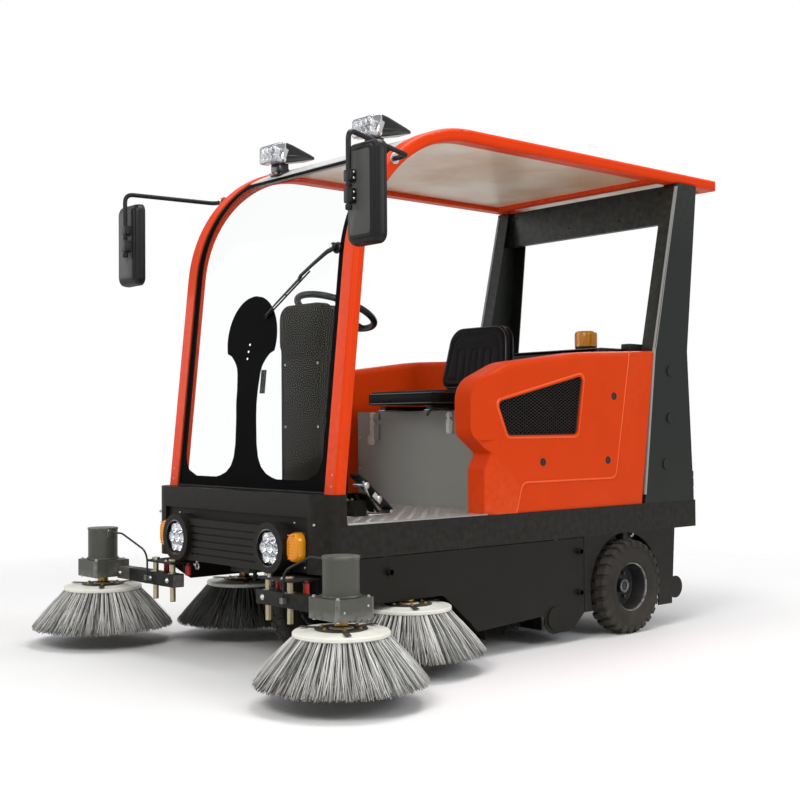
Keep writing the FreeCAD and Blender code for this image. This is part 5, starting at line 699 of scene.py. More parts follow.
def block_tyre(name, body, node, centre, wide):
    """A tyre with a rounded carcass and two rows of notched shoulder blocks."""
    radius, rim = 0.204, 0.105
    half = wide / 2
    carcass = Form()
    profile = [(rim, -half + 0.01), (rim + 0.006, -half + 0.003), (rim + 0.018, -half + 0.0005),
               (rim + 0.038, -half + 0.001), (radius - 0.016, -half + 0.006), (radius - 0.01, -half + 0.014),
               (radius - 0.008, 0), (radius - 0.01, half - 0.014), (radius - 0.016, half - 0.006),
               (rim + 0.038, half - 0.001), (rim + 0.018, half - 0.0005),
               (rim + 0.006, half - 0.003), (rim, half - 0.01)]
    carcass.lathe(profile, centre, LEFT, 96)
    for groove in (rim + 0.022, rim + 0.03):
        for face_side in (-1, 1):
            ring = [(groove - 0.0015, face_side * (half - 0.0006)), (groove, face_side * (half + 0.0002)),
                    (groove + 0.0015, face_side * (half - 0.0006))]
            carcass.lathe(ring, centre, LEFT, 96)
    blocks = 26
    for i in range(blocks):
        for row in (-1, 1):
            angle = 2 * pi * (i + (0.25 if row > 0 else -0.25)) / blocks
            tread_block(carcass, centre, angle, row, half, radius, blocks)
    carcass.piece(name, "tyre_rubber", body, stands_for=(node,), sharp=32)


def tread_block(form, centre, angle, row, half, radius, blocks):
    """One lug: it runs from the middle over the shoulder and a little down the side."""
    step = 2 * pi / blocks
    rows = []
    for across, lift, back in ((0.003, 0, -0.16), (half * 0.5, 0, -0.05), (half - 0.008, -0.0015, 0),
                               (half - 0.001, -0.012, 0), (half - 0.0005, -0.03, 0)):
        width = 0.33 if across < half - 0.02 else 0.3
        top = radius + lift
        rows.append((across, top, back, width))
    lines = []
    for across, top, back, width in rows:
        base_drop = 0.012 if across < half - 0.004 else 0
        inward = 0 if across < half - 0.004 else 0.006
        line = []
        for edge, drop in ((-width, 1), (-width + 0.05, 0), (width - 0.05, 0), (width, 1)):
            a = angle + (edge + back * row) * step
            r = top - (base_drop + 0.002) * drop
            x = row * (across - inward * drop)
            line.append(Vector(centre) + Vector((x, r * sin(a), r * cos(a))))
        lines.append(line)
    grid = form.surface(lines)
    form.mesh.faces.new(grid[0])
    form.mesh.faces.new(list(reversed(grid[-1])))


def make_tyres():
    block_tyre("tyre_left", "rear_wheel_left", "rear_tyre_left", (0.572, 0.678, 0.204), 0.0996)
    block_tyre("tyre_right", "rear_wheel_right", "rear_tyre_right", (-0.572, 0.678, 0.204), 0.0996)
    block_tyre("tyre_front", "front_wheel", "front_tyre", (0, -0.6, 0.204), 0.0956)


# Windscreen

LEAN = radians(6.2)
POST_FOOT = (-0.935, 0.672)
BEND_CENTRE = (-0.2431, 1.485)
BEND_RADIUS = 0.6
POST_LONG = 0.883


def on_screen(x, along, inset):
    """A point on the canopy's front curve: distance up from its foot, and depth behind the outer face."""
    if along <= POST_LONG:
        y = POST_FOOT[0] + along * sin(LEAN) + inset * cos(LEAN)
        z = POST_FOOT[1] + along * cos(LEAN) - inset * sin(LEAN)
        return Vector((x, y, z))
    turn = LEAN + (along - POST_LONG) / BEND_RADIUS
    reach = BEND_RADIUS - inset
    return Vector((x, BEND_CENTRE[0] - reach * cos(turn), BEND_CENTRE[1] + reach * sin(turn)))


def screen_strip(form, edges, inset, thick=0.0006):
    """Film on the glass: each entry gives a height and the left and right ends of the film there."""
    rings = []
    for along, left, right in edges:
        xs = steps_between(left, right, 9)
        outer = [on_screen(x, along, inset) for x in xs]
        rings.append(outer + [on_screen(x, along, inset + thick) for x in reversed(xs)])
    form.skin(rings)


def keyhole_half(along):
    """Half width of the printed keyhole at one height."""
    table = ((0.04, 0.235), (0.05, 0.185), (0.065, 0.14), (0.09, 0.106), (0.125, 0.085), (0.18, 0.074),
             (0.28, 0.07), (0.4, 0.073), (0.46, 0.08), (0.49, 0.089), (0.515, 0.11), (0.535, 0.134))
    centre, radius = 0.6, 0.172
    if along >= 0.545:
        return sqrt(max(radius ** 2 - (along - centre) ** 2, 0))
    last = table[0]
    for here in table[1:]:
        if along <= here[0]:
            share = (along - last[0]) / (here[0] - last[0])
            return last[1] + (here[1] - last[1]) * share
        last = here
    share = (along - last[0]) / (0.545 - last[0])
    return last[1] + (sqrt(radius ** 2 - 0.055 ** 2) - last[1]) * share


def make_screen_print():
    """Black edge print with rounded inner corners and the keyhole-shaped print up the middle."""
    half, edge, foot, head, top = 0.5045, 0.037, 0.046, 0.03, 1.415
    form = Form()
    screen_strip(form, [(a, -half, half) for a in (0.002, 0.024, foot)], 0.0093)
    screen_strip(form, [(a, -half, half) for a in (top - head, top - head / 2, top)], 0.0093)
    low_corner, high_corner = 0.095, 0.05
    for side in (-1, 1):
        rows = []
        for along in steps_between(foot, top - head, 60):
            near = min(along - foot, top - head - along)
            corner = low_corner if along < 0.7 else high_corner
            extra = corner - sqrt(max(corner ** 2 - (corner - near) ** 2, 0)) if near < corner else 0
            inner, outer = side * (half - edge - extra), side * half
            rows.append((along, min(inner, outer), max(inner, outer)))
        screen_strip(form, rows, 0.0093)
    rows = []
    for along in steps_between(0.04, 0.535, 40) + steps_between(0.545, 0.7717, 36):
        centre = -0.056 if along > 0.6 else -0.016 - 0.04 * min(max((along - 0.04) / 0.3, 0), 1)
        width = max(keyhole_half(along), 0.004)
        rows.append((along, centre - width, centre + width))
    screen_strip(form, rows, 0.0092)
    form.piece("screen_print", "screen_print")
    marks = Form()
    for x, along in ((-0.063, 0.576), (-0.069, 0.548), (-0.073, 0.52)):
        place = on_screen(x, along, 0.0092)
        ahead = on_screen(x, along, 0) - on_screen(x, along, 0.01)
        marks.rod(place, place + ahead.normalized() * 0.0012, 0.0048, 16, 0.0004)
    marks.piece("screen_studs", "bright_zinc", slot="glass")
    seal = Form()
    for side in (-1, 1):
        points = [on_screen(side * 0.5045, a, 0.0098) for a in steps_between(0, 1.418, 60)]
        seal.tube(points, 0.0042, 8)
    across = steps_between(-0.5045, 0.5045, 24)
    seal.tube([on_screen(x, 1.418, 0.01) for x in across], 0.004, 8)
    seal.tube([on_screen(x, 0.004, 0.01) for x in across], 0.0042, 8)
    seal.piece("screen_seal", "flap_rubber")
    latch = Form()
    for along in steps_between(0.3915, 0.4605, 4):
        latch.box(on_screen(0.033, along, 0.02), (0.026, 0.008, 0.0236), 0.001, turn_about("X", -6.2))
    latch.piece("screen_clip", "black_plastic")


def make_wiper():
    """Arm from the upper left of the glass to the blade over the keyhole print."""
    form = Form()
    stations = ((0.456, 0.912, 0.016), (0.42, 0.896, 0.016), (0.34, 0.858, 0.014), (0.262, 0.818, 0.013))
    raise_by = 0.022
    points = [on_screen(x, a, 0.01 - raise_by * (0.5 if i == 0 else 1)) for i, (x, a, w) in enumerate(stations)]
    form.tube(points, [w for _, _, w in stations], 10, 0.45)
    pivot = on_screen(0.456, 0.912, 0.01)
    ahead = (on_screen(0.456, 0.912, 0) - pivot).normalized()
    form.lathe([(0, 0), (0.022, 0), (0.022, 0.006), (0.017, 0.01), (0.016, 0.026), (0.012, 0.03), (0, 0.031)],
               pivot, ahead, 28)
    lower = ((0.262, 0.818, 0.0125), (0.2, 0.781, 0.011), (0.12, 0.733, 0.009), (0.048, 0.686, 0.006))
    form.tube([on_screen(x, a, 0.01 - 0.015) for x, a, _ in lower], [w for _, _, w in lower], 10, 0.4)
    form.piece("wiper_arm", "black_plastic", stands_for=("wiper",))
    blade = Form()
    ends = ((0.3, 0.838), (0.034, 0.676))
    line = [(ends[0][0] + (ends[1][0] - ends[0][0]) * t, ends[0][1] + (ends[1][1] - ends[0][1]) * t)
            for t in steps_between(0, 1, 18)]
    blade.tube([on_screen(x, a, 0.0042) for x, a in line], 0.0042, 8, 0.6)
    blade.tube([on_screen(x, a, 0.008) for x, a in line], 0.0016, 6)
    for share in (0.2, 0.5, 0.8):
        x = ends[0][0] + (ends[1][0] - ends[0][0]) * share
        a = ends[0][1] + (ends[1][1] - ends[0][1]) * share
        blade.tube([on_screen(x, a, 0.004), on_screen(x, a, -0.008)], 0.003, 8)
    blade.piece("wiper_blade", "flap_rubber")
    stud = Form()
    elbow = on_screen(0.262, 0.818, 0.01 - raise_by - 0.004)
    stud.rod(elbow, elbow + ahead * 0.006, 0.006, 14, 0.001)
    stud.rod(pivot + ahead * 0.029, pivot + ahead * 0.034, 0.007, 6, 0.001)
    stud.piece("wiper_studs", "bright_zinc")


# Mirrors and roof lamps

def make_mirror(side, name):
    """Mirror case with a raised back, a rim round the glass, clamp and bent stalk."""
    x, low, high = 0.806, 1.536, 1.89
    half, front, back = 0.087, -1.009, -0.9585

    def ring(inset, radius):
        corners = rounded((-half + inset, low + inset), (half - inset, high - inset), radius)
        return [(side * (x + a), b) for a, b in corners]

    Form().stack([(front, ring(0.03, 0.014)), (front + 0.003, ring(0.022, 0.018)),
                  (front + 0.008, ring(0.019, 0.02)), (front + 0.011, ring(0.01, 0.026)),
                  (front + 0.02, ring(0.003, 0.031)), (back - 0.014, ring(0, 0.033)),
                  (back - 0.012, ring(0.002, 0.032)), (back - 0.009, ring(0.002, 0.032)),
                  (back - 0.007, ring(0, 0.033)), (back - 0.001, ring(0, 0.033)), (back, ring(0.004, 0.03)),
                  (back - 0.004, ring(0.008, 0.026))]).piece(name + "_case", "black_plastic",
                                stands_for=("mirrors",), sharp=28, bevel=0.0008)
    Form().stack([(front - 0.0006, ring(0.034, 0.012)), (front + 0.0004, ring(0.032, 0.014)),
                  (front + 0.0025, ring(0.032, 0.014))]).piece(name + "_panel", "mirror_panel")
    Form().stack([(back - 0.0035, ring(0.0085, 0.026)),
                  (back - 0.0022, ring(0.009, 0.025))]).piece(name + "_glass", "mirror_silver")
    stalk = Form()
    path = bend_path([(0.56, -0.6484, 1.9136), (0.647, -0.6484, 1.9136), (0.772, -1.0284, 1.9296),
                      (0.772, -1.0284, 1.654)], 0.036)
    stalk.tube([(side * p.x, p.y, p.z) for p in path], 0.0095, 16)
    for z0, z1, radius in ((1.655, 1.672, 0.0125), (1.735, 1.742, 0.012)):
        stalk.rod((side * 0.772, -1.0284, z0), (side * 0.772, -1.0284, z1), radius, 18, 0.002)
    for z0, z1 in ((1.678, 1.728), (1.752, 1.792)):
        stalk.block((side * 0.772 - 0.0185, -1.0375, z0), (side * 0.772 + 0.0185, -0.992, z1), 0.004)
    stalk.piece(name + "_stalk", "black_plastic", sharp=40)
    fixings = Form()
    for z in (1.692, 1.714, 1.762, 1.782):
        fixings.screw((side * 0.772 + side * 0.0185, -1.02, z), (side, 0, 0), 0.01)
    fixings.rod((side * 0.5755, -0.6484, 1.9136), (side * 0.5795, -0.6484, 1.9136), 0.021, 24, 0.001)
    fixings.piece(name + "_fixings", "bright_zinc")


def make_roof_lamp(side, name):
    """Work lamp: a faceted clear lens in front of a black housing that tapers to the rear, on a foot."""
    x, half = 0.318, 0.0615

    def section(y, low, high, narrow, radius=0.012):
        corners = rounded((-half + narrow, low), (half - narrow, high), radius, 4)
        return y, [(side * (x + a), b) for a, b in corners]

    Form().stack([section(-0.5995, 2.052, 2.118, 0.012, 0.016), section(-0.5965, 2.048, 2.124, 0.005, 0.014),
                  section(-0.575, 2.049, 2.132, 0, 0.012),
                  section(-0.548, 2.051, 2.139, 0, 0.012)]).piece(name + "_lens", "lamp_glass",
                                stands_for=("roof_lamps",), sharp=30)
    bowl = Form()
    for i in range(4):
        for j in range(2):
            cx = side * (x + (-0.042 + 0.028 * i))
            cz = 2.069 + 0.035 * j
            bowl.lathe([(0, 0.028), (0.006, 0.02), (0.011, 0.008), (0.0145, 0), (0.0155, 0), (0.0155, 0.03),
                        (0, 0.03)], (cx, -0.588, cz), REARWARD, 18)
    bowl.piece(name + "_bowls", "lamp_chrome")
    rim = Form()
    rim.stack([section(-0.548, 2.05, 2.1405, -0.0003, 0.013), section(-0.541, 2.05, 2.142, -0.0003, 0.013)])
    for s in (-1, 1):
        rim.block((side * x + s * 0.0605 - 0.0012, -0.56, 2.06), (side * x + s * 0.0605 + 0.0012, -0.536, 2.112),
                  0.0008, turn_about("X", -22), (side * x, -0.548, 2.085))
    rim.piece(name + "_rim", "lamp_chrome", sharp=30)
    shell = Form()
    shell.stack([section(-0.541, 2.052, 2.1405, 0.001, 0.014), section(-0.5, 2.058, 2.134, 0.002, 0.016),
                        section(-0.45, 2.07, 2.122, 0.006, 0.018), section(-0.4, 2.081, 2.107, 0.013, 0.01),
                        section(-0.373, 2.086, 2.099, 0.02, 0.005)])
    for s in (-1, 1):
        shell.tube([(side * x + s * 0.0595, -0.536, 2.078), (side * x + s * 0.0585, -0.5, 2.083),
                    (side * x + s * 0.054, -0.45, 2.09), (side * x + s * 0.047, -0.405, 2.094)],
                   [0.0035, 0.003, 0.0028, 0.002], 8)
    shell.block((side * x - 0.03, -0.558, 2.012), (side * x + 0.03, -0.502, 2.054), 0.006)
    shell.block((side * x - 0.034, -0.56, 2.0085), (side * x + 0.034, -0.5, 2.018), 0.003, turn_about("X", 26))
    shell.piece(name + "_shell", "gloss_black", sharp=32, bevel=0.0008)
    feet = Form()
    for dx in (-0.022, 0.022):
        feet.bolt((side * x + dx, -0.566, 2.0045), (0, -0.45, 0.9), 0.009)
    feet.piece(name + "_bolts", "bright_zinc")


# Front lamps

def make_front_lamps():
    """Seven small reflectors in each round lamp behind a clear cover; amber corner lamps with ribs."""
    for side, name in SIDES:
        x, z = side * 0.321, 0.474
        bowls = Form()
        bowls.rod((x, -1.0175, z), (x, -1.0245, z), 0.0635, 48)
        for i in range(7):
            ring = 0 if i == 0 else 0.0405
            angle = radians(60 * i)
            cx, cz = x + ring * cos(angle), z + ring * sin(angle)
            bowls.lathe([(0, 0), (0.004, 0.0005), (0.008, 0.004), (0.0135, 0.012), (0.0178, 0.021),
                         (0.0196, 0.022), (0.02, 0.0165), (0.02, 0)], (cx, -1.024, cz), FORWARD, 24)
            bowls.lathe([(0, 0.016), (0.003, 0.0145), (0.005, 0.01), (0.0055, 0)], (cx, -1.024, cz), FORWARD, 14)
        bowls.piece("headlamp_bowls_" + name, "lamp_chrome")
        Form().lathe([(0, 0.0085), (0.02, 0.0082), (0.04, 0.0066), (0.055, 0.0038), (0.0625, 0), (0.0625, -0.003),
                      (0.054, 0.001), (0.04, 0.0036), (0.02, 0.0052), (0, 0.0055)], (x, -1.0475, z), FORWARD,
                     56).piece("headlamp_cover_" + name, "clear_lens", stands_for=("headlamps",))
        Form().lathe([(0.0645, -0.01), (0.0645, 0.002), (0.0665, 0.0035), (0.07, 0.0025), (0.0715, 0)],
                     (x, -1.0545, z), FORWARD, 56).piece("headlamp_ring_" + name, "gloss_black")
        lens = Form()
        xs, low, high = sorted((side * 0.408, side * 0.478)), 0.4285, 0.5355
        lens.stack([(y, rounded((xs[0] + a, low + a), (xs[1] - a, high - a), radius, 5)) for y, a, radius in (
            (-1.041, 0.013, 0.021), (-1.034, 0.004, 0.03), (-1.024, 0.0005, 0.032), (-0.9985, 0, 0.03))])
        lens.piece("corner_lamp_" + name, "amber_lens", stands_for=("indicator_lamps",), bevel=0.0008)
        ribs = Form()
        for i in range(9):
            rz = 0.44 + i * 0.0105
            ribs.block((xs[0] + 0.016, -1.0415, rz), (xs[1] - 0.016, -1.034, rz + 0.0045), 0.0012)
        ribs.rod(((xs[0] + xs[1]) / 2, -1.004, 0.482), ((xs[0] + xs[1]) / 2, -1.026, 0.482), 0.014, 20, 0.006)
        ribs.piece("corner_lamp_ribs_" + name, "amber_core")
        Form().block((xs[0] - 0.002, -1.0005, low - 0.002), (xs[1] + 0.0015, -0.9865, high + 0.002),
                     0.004).piece("corner_lamp_base_" + name, "black_plastic")


def make_beacon():
    """Amber beacon on a black base with vertical ribs in the dome."""
    Form().lathe([(0, 0), (0.056, 0), (0.0565, 0.06), (0.054, 0.07), (0.046, 0.0765), (0, 0.0785)],
                 (0, 1.112, 1.303), UP, 48).piece("beacon_dome", "amber_lens", stands_for=("beacon",))
    ribs = Form()
    for a in round_angles(24):
        ribs.rod((0.049 * cos(a), 1.112 + 0.049 * sin(a), 1.306),
                 (0.048 * cos(a), 1.112 + 0.048 * sin(a), 1.362), 0.0022, 6)
    ribs.rod((0, 1.112, 1.304), (0, 1.112, 1.345), 0.012, 20, 0.004)
    ribs.piece("beacon_ribs", "amber_core")
    Form().lathe([(0, -0.027), (0.0555, -0.027), (0.0555, -0.018), (0.053, -0.014), (0.0545, -0.002),
                  (0.0535, 0.003), (0.0515, 0.004), (0, 0.004)], (0, 1.112, 1.3015), UP,
                 48).piece("beacon_base", "black_plastic")


# Fastenings and small fittings

def make_fastenings():
    """Bolts, screws and rivets on the chassis, its sheets and the canopy."""
    bright = Form()
    for side in (-1, 1):
        for x, z, deep in ((0.53, 0.566, -1), (0.458, 0.408, -0.986), (0.396, 0.566, -0.986)):
            bright.screw((side * x, deep, z), FORWARD, 0.011)
        for z in (0.7, 0.742):
            bright.screw((side * 0.5405, -0.931 + (z - 0.672) * 0.1086, z), (0, -1, 0.1), 0.01)
    bright.piece("sheet_bolts", "bright_zinc")
    header = Form()
    for x, z in ((-0.463, 2.008), (-0.104, 1.987), (-0.104, 1.907), (0.215, 1.995),
                 (0.215, 1.905), (0.463, 2.008)):
        header.screw((x, 1.1118, z), FORWARD, 0.01)
    header.piece("header_screws", "cast_grey", slot="pillar_paint")
    # Pale strips over each pillar's front face and corner: painted highlight along the lit front edge.
    highlight_strip = Form()
    for side in (-1, 1):
        rows = []
        for y, z in ((0.829, 0.6), (0.9075, 1.25), (0.914, 1.27), (1.087, 2.02)):
            rows.append([(side * 0.565, y - 0.0008, z), (side * 0.5655, y - 0.0022, z),
                         (side * 0.577, y - 0.0022, z), (side * 0.5792, y + 0.0004, z),
                         (side * 0.5792, y + 0.006, z)])
        highlight_strip.surface(rows)
    highlight_strip.piece("pillar_edge_highlights", "pillar_highlight_grey")
    lugs = Form()
    for side in (-1, 1):
        lugs.block((side * 0.474 - 0.026, 0.826, 1.248), (side * 0.474 + 0.026, 0.958, 1.282), 0.005)
    lugs.piece("panel_top_boxes", "black_plastic")
    caps = Form()
    for side in (-1, 1):
        for y, z in ((0.98, 0.732), (1.014, 0.942), (1.018, 1.158)):
            caps.lathe([(0.024, 0), (0.0235, 0.0035), (0.02, 0.0048), (0.016, 0.0042), (0.012, 0.0046),
                        (0, 0.0046)], (side * 0.5792, y, z), (side, 0, 0), 32)
    caps.piece("pillar_plugs", "cast_grey", slot="black_plastic", sharp=20)
    dark = Form()
    for side in (-1, 1):
        for y, z in ((0.15, 0.762), (0.568, 0.76), (0.613, 1.039)):
            dark.lathe([(0.0165, 0), (0.016, 0.0022), (0.01, 0.0032), (0.006, 0.0016), (0, 0.0016)],
                       (side * 0.579, y, z), (side, 0, 0), 24)
    dark.piece("panel_screws", "gloss_black")
    knobs = Form()
    for side in (-1, 1):
        for y, z in ((-0.696, 0.379), (0.365, 0.379), (0.365, 0.206)):
            centre = (side * 0.5802, y, z)
            knobs.lathe([(0.0128, 0), (0.0128, 0.002), (0.0085, 0.0035), (0.008, 0.01), (0.0125, 0.0125),
                         (0.013, 0.0165), (0.011, 0.0178), (0, 0.0178)], centre, (side, 0, 0), 10)
    knobs.piece("panel_knobs", "gloss_black")


def make_box_fittings():
    """Two draw latches and a hasp with their rivets on the battery box, and the seat's slide lever."""
    plates, rivets, catches, catch_rivets = Form(), Form(), Form(), Form()
    for x in (-0.332, 0.18):
        catches.block((x - 0.019, -0.0065, 0.953), (x + 0.019, -0.0006, 0.977), 0.002)
        plates.block((x - 0.019, -0.0065, 0.88), (x + 0.019, -0.0006, 0.936), 0.002)
        plates.rod((x - 0.014, -0.0062, 0.94), (x + 0.014, -0.0062, 0.94), 0.0045, 14, 0.001)
        plates.block((x - 0.0085, -0.0092, 0.896), (x + 0.0085, -0.0068, 0.96), 0.001)
        for dx in (-0.014, 0.014):
            catch_rivets.screw((x + dx, -0.0063, 0.97), FORWARD, 0.0075)
            for z in (0.888, 0.928):
                rivets.screw((x + dx, -0.0063, z), FORWARD, 0.0075)
    plates.prism([(-0.346, 0.884), (-0.368, 0.864), (-0.368, 0.836), (-0.358, 0.828), (-0.33, 0.828),
                  (-0.32, 0.838), (-0.32, 0.884)], "Y", -0.0046, -0.001, 0.0008)
    rivets.screw((-0.334, -0.0044, 0.842), FORWARD, 0.009)
    for side in (-1, 1):
        for z in (0.585, 0.72, 0.86):
            rivets.screw((side * 0.428, -0.0004, z), FORWARD, 0.007)
    plates.piece("box_latches", "latch_plate")
    rivets.piece("box_rivets", "bright_zinc")
    catches.piece("lid_catches", "latch_plate", "seat_lid")
    catch_rivets.piece("lid_rivets", "bright_zinc", "seat_lid")
    Form().tube(bend_path([(0.196, -0.02, 0.992), (0.196, -0.118, 0.992), (0.18, -0.134, 0.958)], 0.02), 0.0045,
                10).piece("seat_lever", "gloss_black", "seat_lid")


def make_floor_chequer():
    """Raised lozenges in crossed pairs on the aluminium floor."""
    form = Form()
    pitch, half, wide, tall = 0.034, 0.011, 0.003, 0.0011
    for i in range(-17, 18):
        for j in range(26):
            x, y = i * pitch, -0.875 + j * pitch
            if abs(x) > 0.56 or (y > -0.19 and abs(x) > 0.44) or y > -0.012:
                continue
            turn = radians(45 if (i + j) % 2 else -45)
            ahead = Vector((cos(turn), sin(turn), 0))
            side = Vector((-ahead.y, ahead.x, 0))
            base = Vector((x, y, 0.5629))
            ring = [base + ahead * half, base + side * wide, base - ahead * half, base - side * wide]
            low = [form.mesh.verts.new(p) for p in ring]
            high = [form.mesh.verts.new(base + (p - base) * 0.55 + Vector((0, 0, tall))) for p in ring]
            for k in range(4):
                m = (k + 1) % 4
                form.mesh.faces.new((low[k], low[m], high[m], high[k]))
            form.mesh.faces.new(list(reversed(high)))
    form.piece("floor_lozenges", "floor_plate", sharp=20)
    edge = Form()
    for side in (-1, 1):
        edge.block((side * 0.5705, -0.884, 0.5605), (side * 0.5795, -0.176, 0.5665), 0.0012)
    edge.piece("floor_edge", "bare_steel")


# Brush drives

def make_motor_dress():
    """Caps, bolts, glands and lugs on the motors and gearboxes."""
    for side, name in SIDES:
        x, y = side * FRONT_BRUSH[0], FRONT_BRUSH[1]
        steel = Form()
        for dx in (-0.064, 0.064):
            for dy in (-0.064, 0.064):
                steel.bolt((x + dx, y + dy, 0.353), UP, 0.009)
                steel.bolt((x + dx, y + dy, 0.283), DOWN, 0.008)
        steel.rod((x - side * 0.0585, y, 0.472), (x - side * 0.064, y, 0.472), 0.0125, 6, 0.001)
        for z in (0.312, 0.326):
            steel.screw((x + side * 0.08, y + 0.05 * (1 if z > 0.32 else -1), z), (side, 0, 0), 0.009)
        steel.piece("motor_bolts_" + name, "bright_zinc", "front_arm_" + name)
        can = Form()
        can.lathe([(0, 0.1348), (0.05, 0.1345), (0.0625, 0.131), (0.0635, 0.127), (0.063, 0.1245),
                   (0.0615, 0.124)], (x, y, 0.353), UP, 48)
        can.lathe([(0.0622, 0.002), (0.0668, 0.002), (0.0668, 0.0085), (0.0622, 0.0085)], (x, y, 0.353), UP, 48)
        can.block((x - side * 0.0615 - 0.004, y - 0.013, 0.448),
                  (x - side * 0.0615 + 0.004, y + 0.013, 0.476), 0.002)
        can.piece("motor_cap_" + name, "motor_grey", "front_arm_" + name)
        channel = Form()
        for low_y, high_y in ((-1.0862, -1.0846), (-1.0354, -1.0338)):
            channel.block((side * 0.2905, low_y, 0.2755), (side * 0.64, high_y, 0.3265), 0.0006)
        for low_x, high_x in ((0.2905, 0.3135), (0.353, 0.446), (0.486, 0.64)):
            for low_z, high_z in ((0.2748, 0.2762), (0.3258, 0.3272)):
                channel.block((side * low_x, -1.086, low_z), (side * high_x, -1.034, high_z), 0.0005)
        channel.piece("arm_channel_" + name, "arm_black", "front_arm_" + name)
        rods = Form()
        for rx in (0.333, 0.466):
            rods.rod((side * rx, -1.06, 0.2145), (side * rx, -1.06, 0.366), 0.0112, 20, 0.002)
            rods.rod((side * rx, -1.06, 0.3742), (side * rx, -1.06, 0.384), 0.016, 6, 0.002)
        rods.piece("guide_rods_" + name, "zinc_plate")
        collars = Form()
        for rx in (0.333, 0.466):
            collars.lathe([(0.012, 0), (0.021, 0), (0.021, 0.0022), (0.0175, 0.0034), (0.012, 0.0034)],
                          (side * rx, -1.06, 0.3262), UP, 24, True)
            collars.bolt((side * rx, -1.0862, 0.301), FORWARD, 0.01)
        collars.bolt((side * 0.72, -1.085, 0.301), FORWARD, 0.01)
        collars.piece("arm_collars_" + name, "bright_zinc", "front_arm_" + name)


# Seat

def span_to(px, py, line):
    """Shortest distance from a point to a line of connected points."""
    best = 9
    for (ax, ay), (bx, by) in zip(line, line[1:]):
        dx, dy = bx - ax, by - ay
        share = ((px - ax) * dx + (py - ay) * dy) / max(dx * dx + dy * dy, 1e-12)
        share = min(max(share, 0), 1)
        best = min(best, hypot(px - ax - dx * share, py - ay - dy * share))
    return best


def swell(form, sewn, cap, voxel=0.0065, pressure=4, steps=20):
    """Blow a closed form up like stuffed vinyl; where sewn(point) is small it stays put and sinks a little."""
    scene = bpy.context.scene
    bmesh.ops.recalc_face_normals(form.mesh, faces=form.mesh.faces[:])
    data = bpy.data.meshes.new("pad_start")
    form.mesh.to_mesh(data)
    form.mesh.free()
    pad = bpy.data.objects.new("pad_start", data)
    scene.collection.objects.link(pad)
    even = pad.modifiers.new("even", "REMESH")
    even.mode = "VOXEL"
    even.voxel_size = voxel
    mesh = bpy.data.meshes.new_from_object(pad.evaluated_get(bpy.context.evaluated_depsgraph_get()))
    pad.modifiers.clear()
    pad.data = mesh
    reach = [sewn(vert.co) for vert in mesh.vertices]
    start = [vert.co.copy() for vert in mesh.vertices]
    held = pad.vertex_groups.new(name="sewn")
    for i, gap in enumerate(reach):
        weight = 1 - min(max((gap - 0.004) / 0.006, 0), 1)
        if weight > 0:
            held.add([i], weight, "REPLACE")
    cloth = pad.modifiers.new("swell", "CLOTH")
    cloth.settings.use_pressure = True
    cloth.settings.uniform_pressure_force = pressure
    cloth.settings.effector_weights.gravity = 0
    cloth.settings.vertex_group_mass = "sewn"
    cloth.point_cache.frame_start = 1
    cloth.point_cache.frame_end = steps
    for step in range(1, steps + 1):
        scene.frame_set(step)
    mesh = bpy.data.meshes.new_from_object(pad.evaluated_get(bpy.context.evaluated_depsgraph_get()))
    pad.modifiers.clear()
    pad.data = mesh
    scene.frame_set(1)
    done = Form()
    done.mesh.from_mesh(mesh)
    bpy.data.objects.remove(pad)
    done.mesh.normal_update()
    outward = [vert.normal.copy() for vert in done.mesh.verts]
    for vert, before, gap, normal in zip(done.mesh.verts, start, reach, outward):
        move = vert.co - before
        if move.length > cap:
            vert.co = before + move.normalized() * cap
        if gap < 0.007:
            vert.co = before - normal * 0.0035 * (1 - gap / 0.007)
    return done


def seat_back_at(x, z, y):
    """A point of the leaning back rest: y is its depth at the lower edge."""
    return (x, y + 0.046 * (z - 1.084) / 0.288, z)


def seat_back_outline(inset, count=7):
    """Rounded trapezoid of the back rest as (x, z) points, drawn in by inset."""
    low, high = 1.084 + inset, 1.372 - inset
    points = []
    for side, z, half, radius, start in ((1, low, 0.212 - inset, 0.046, -90), (1, high, 0.19 - inset, 0.084, 0),
                                (-1, high, 0.19 - inset, 0.084, 90), (-1, low, 0.212 - inset, 0.046, 180)):
        radius = radius - inset * 0.6
        cx = side * (half - radius)
        cz = z + radius if z < 1.2 else z - radius
        for i in range(count + 1):
            angle = radians(start + 90 * i / count)
            points.append((cx + radius * cos(angle), cz + radius * sin(angle)))
    return points


def seat_back_ring(y, inset, count=7):
    """The back rest's outline at one depth, laid into its lean."""
    return [seat_back_at(x, z, y) for x, z in seat_back_outline(inset, count)]


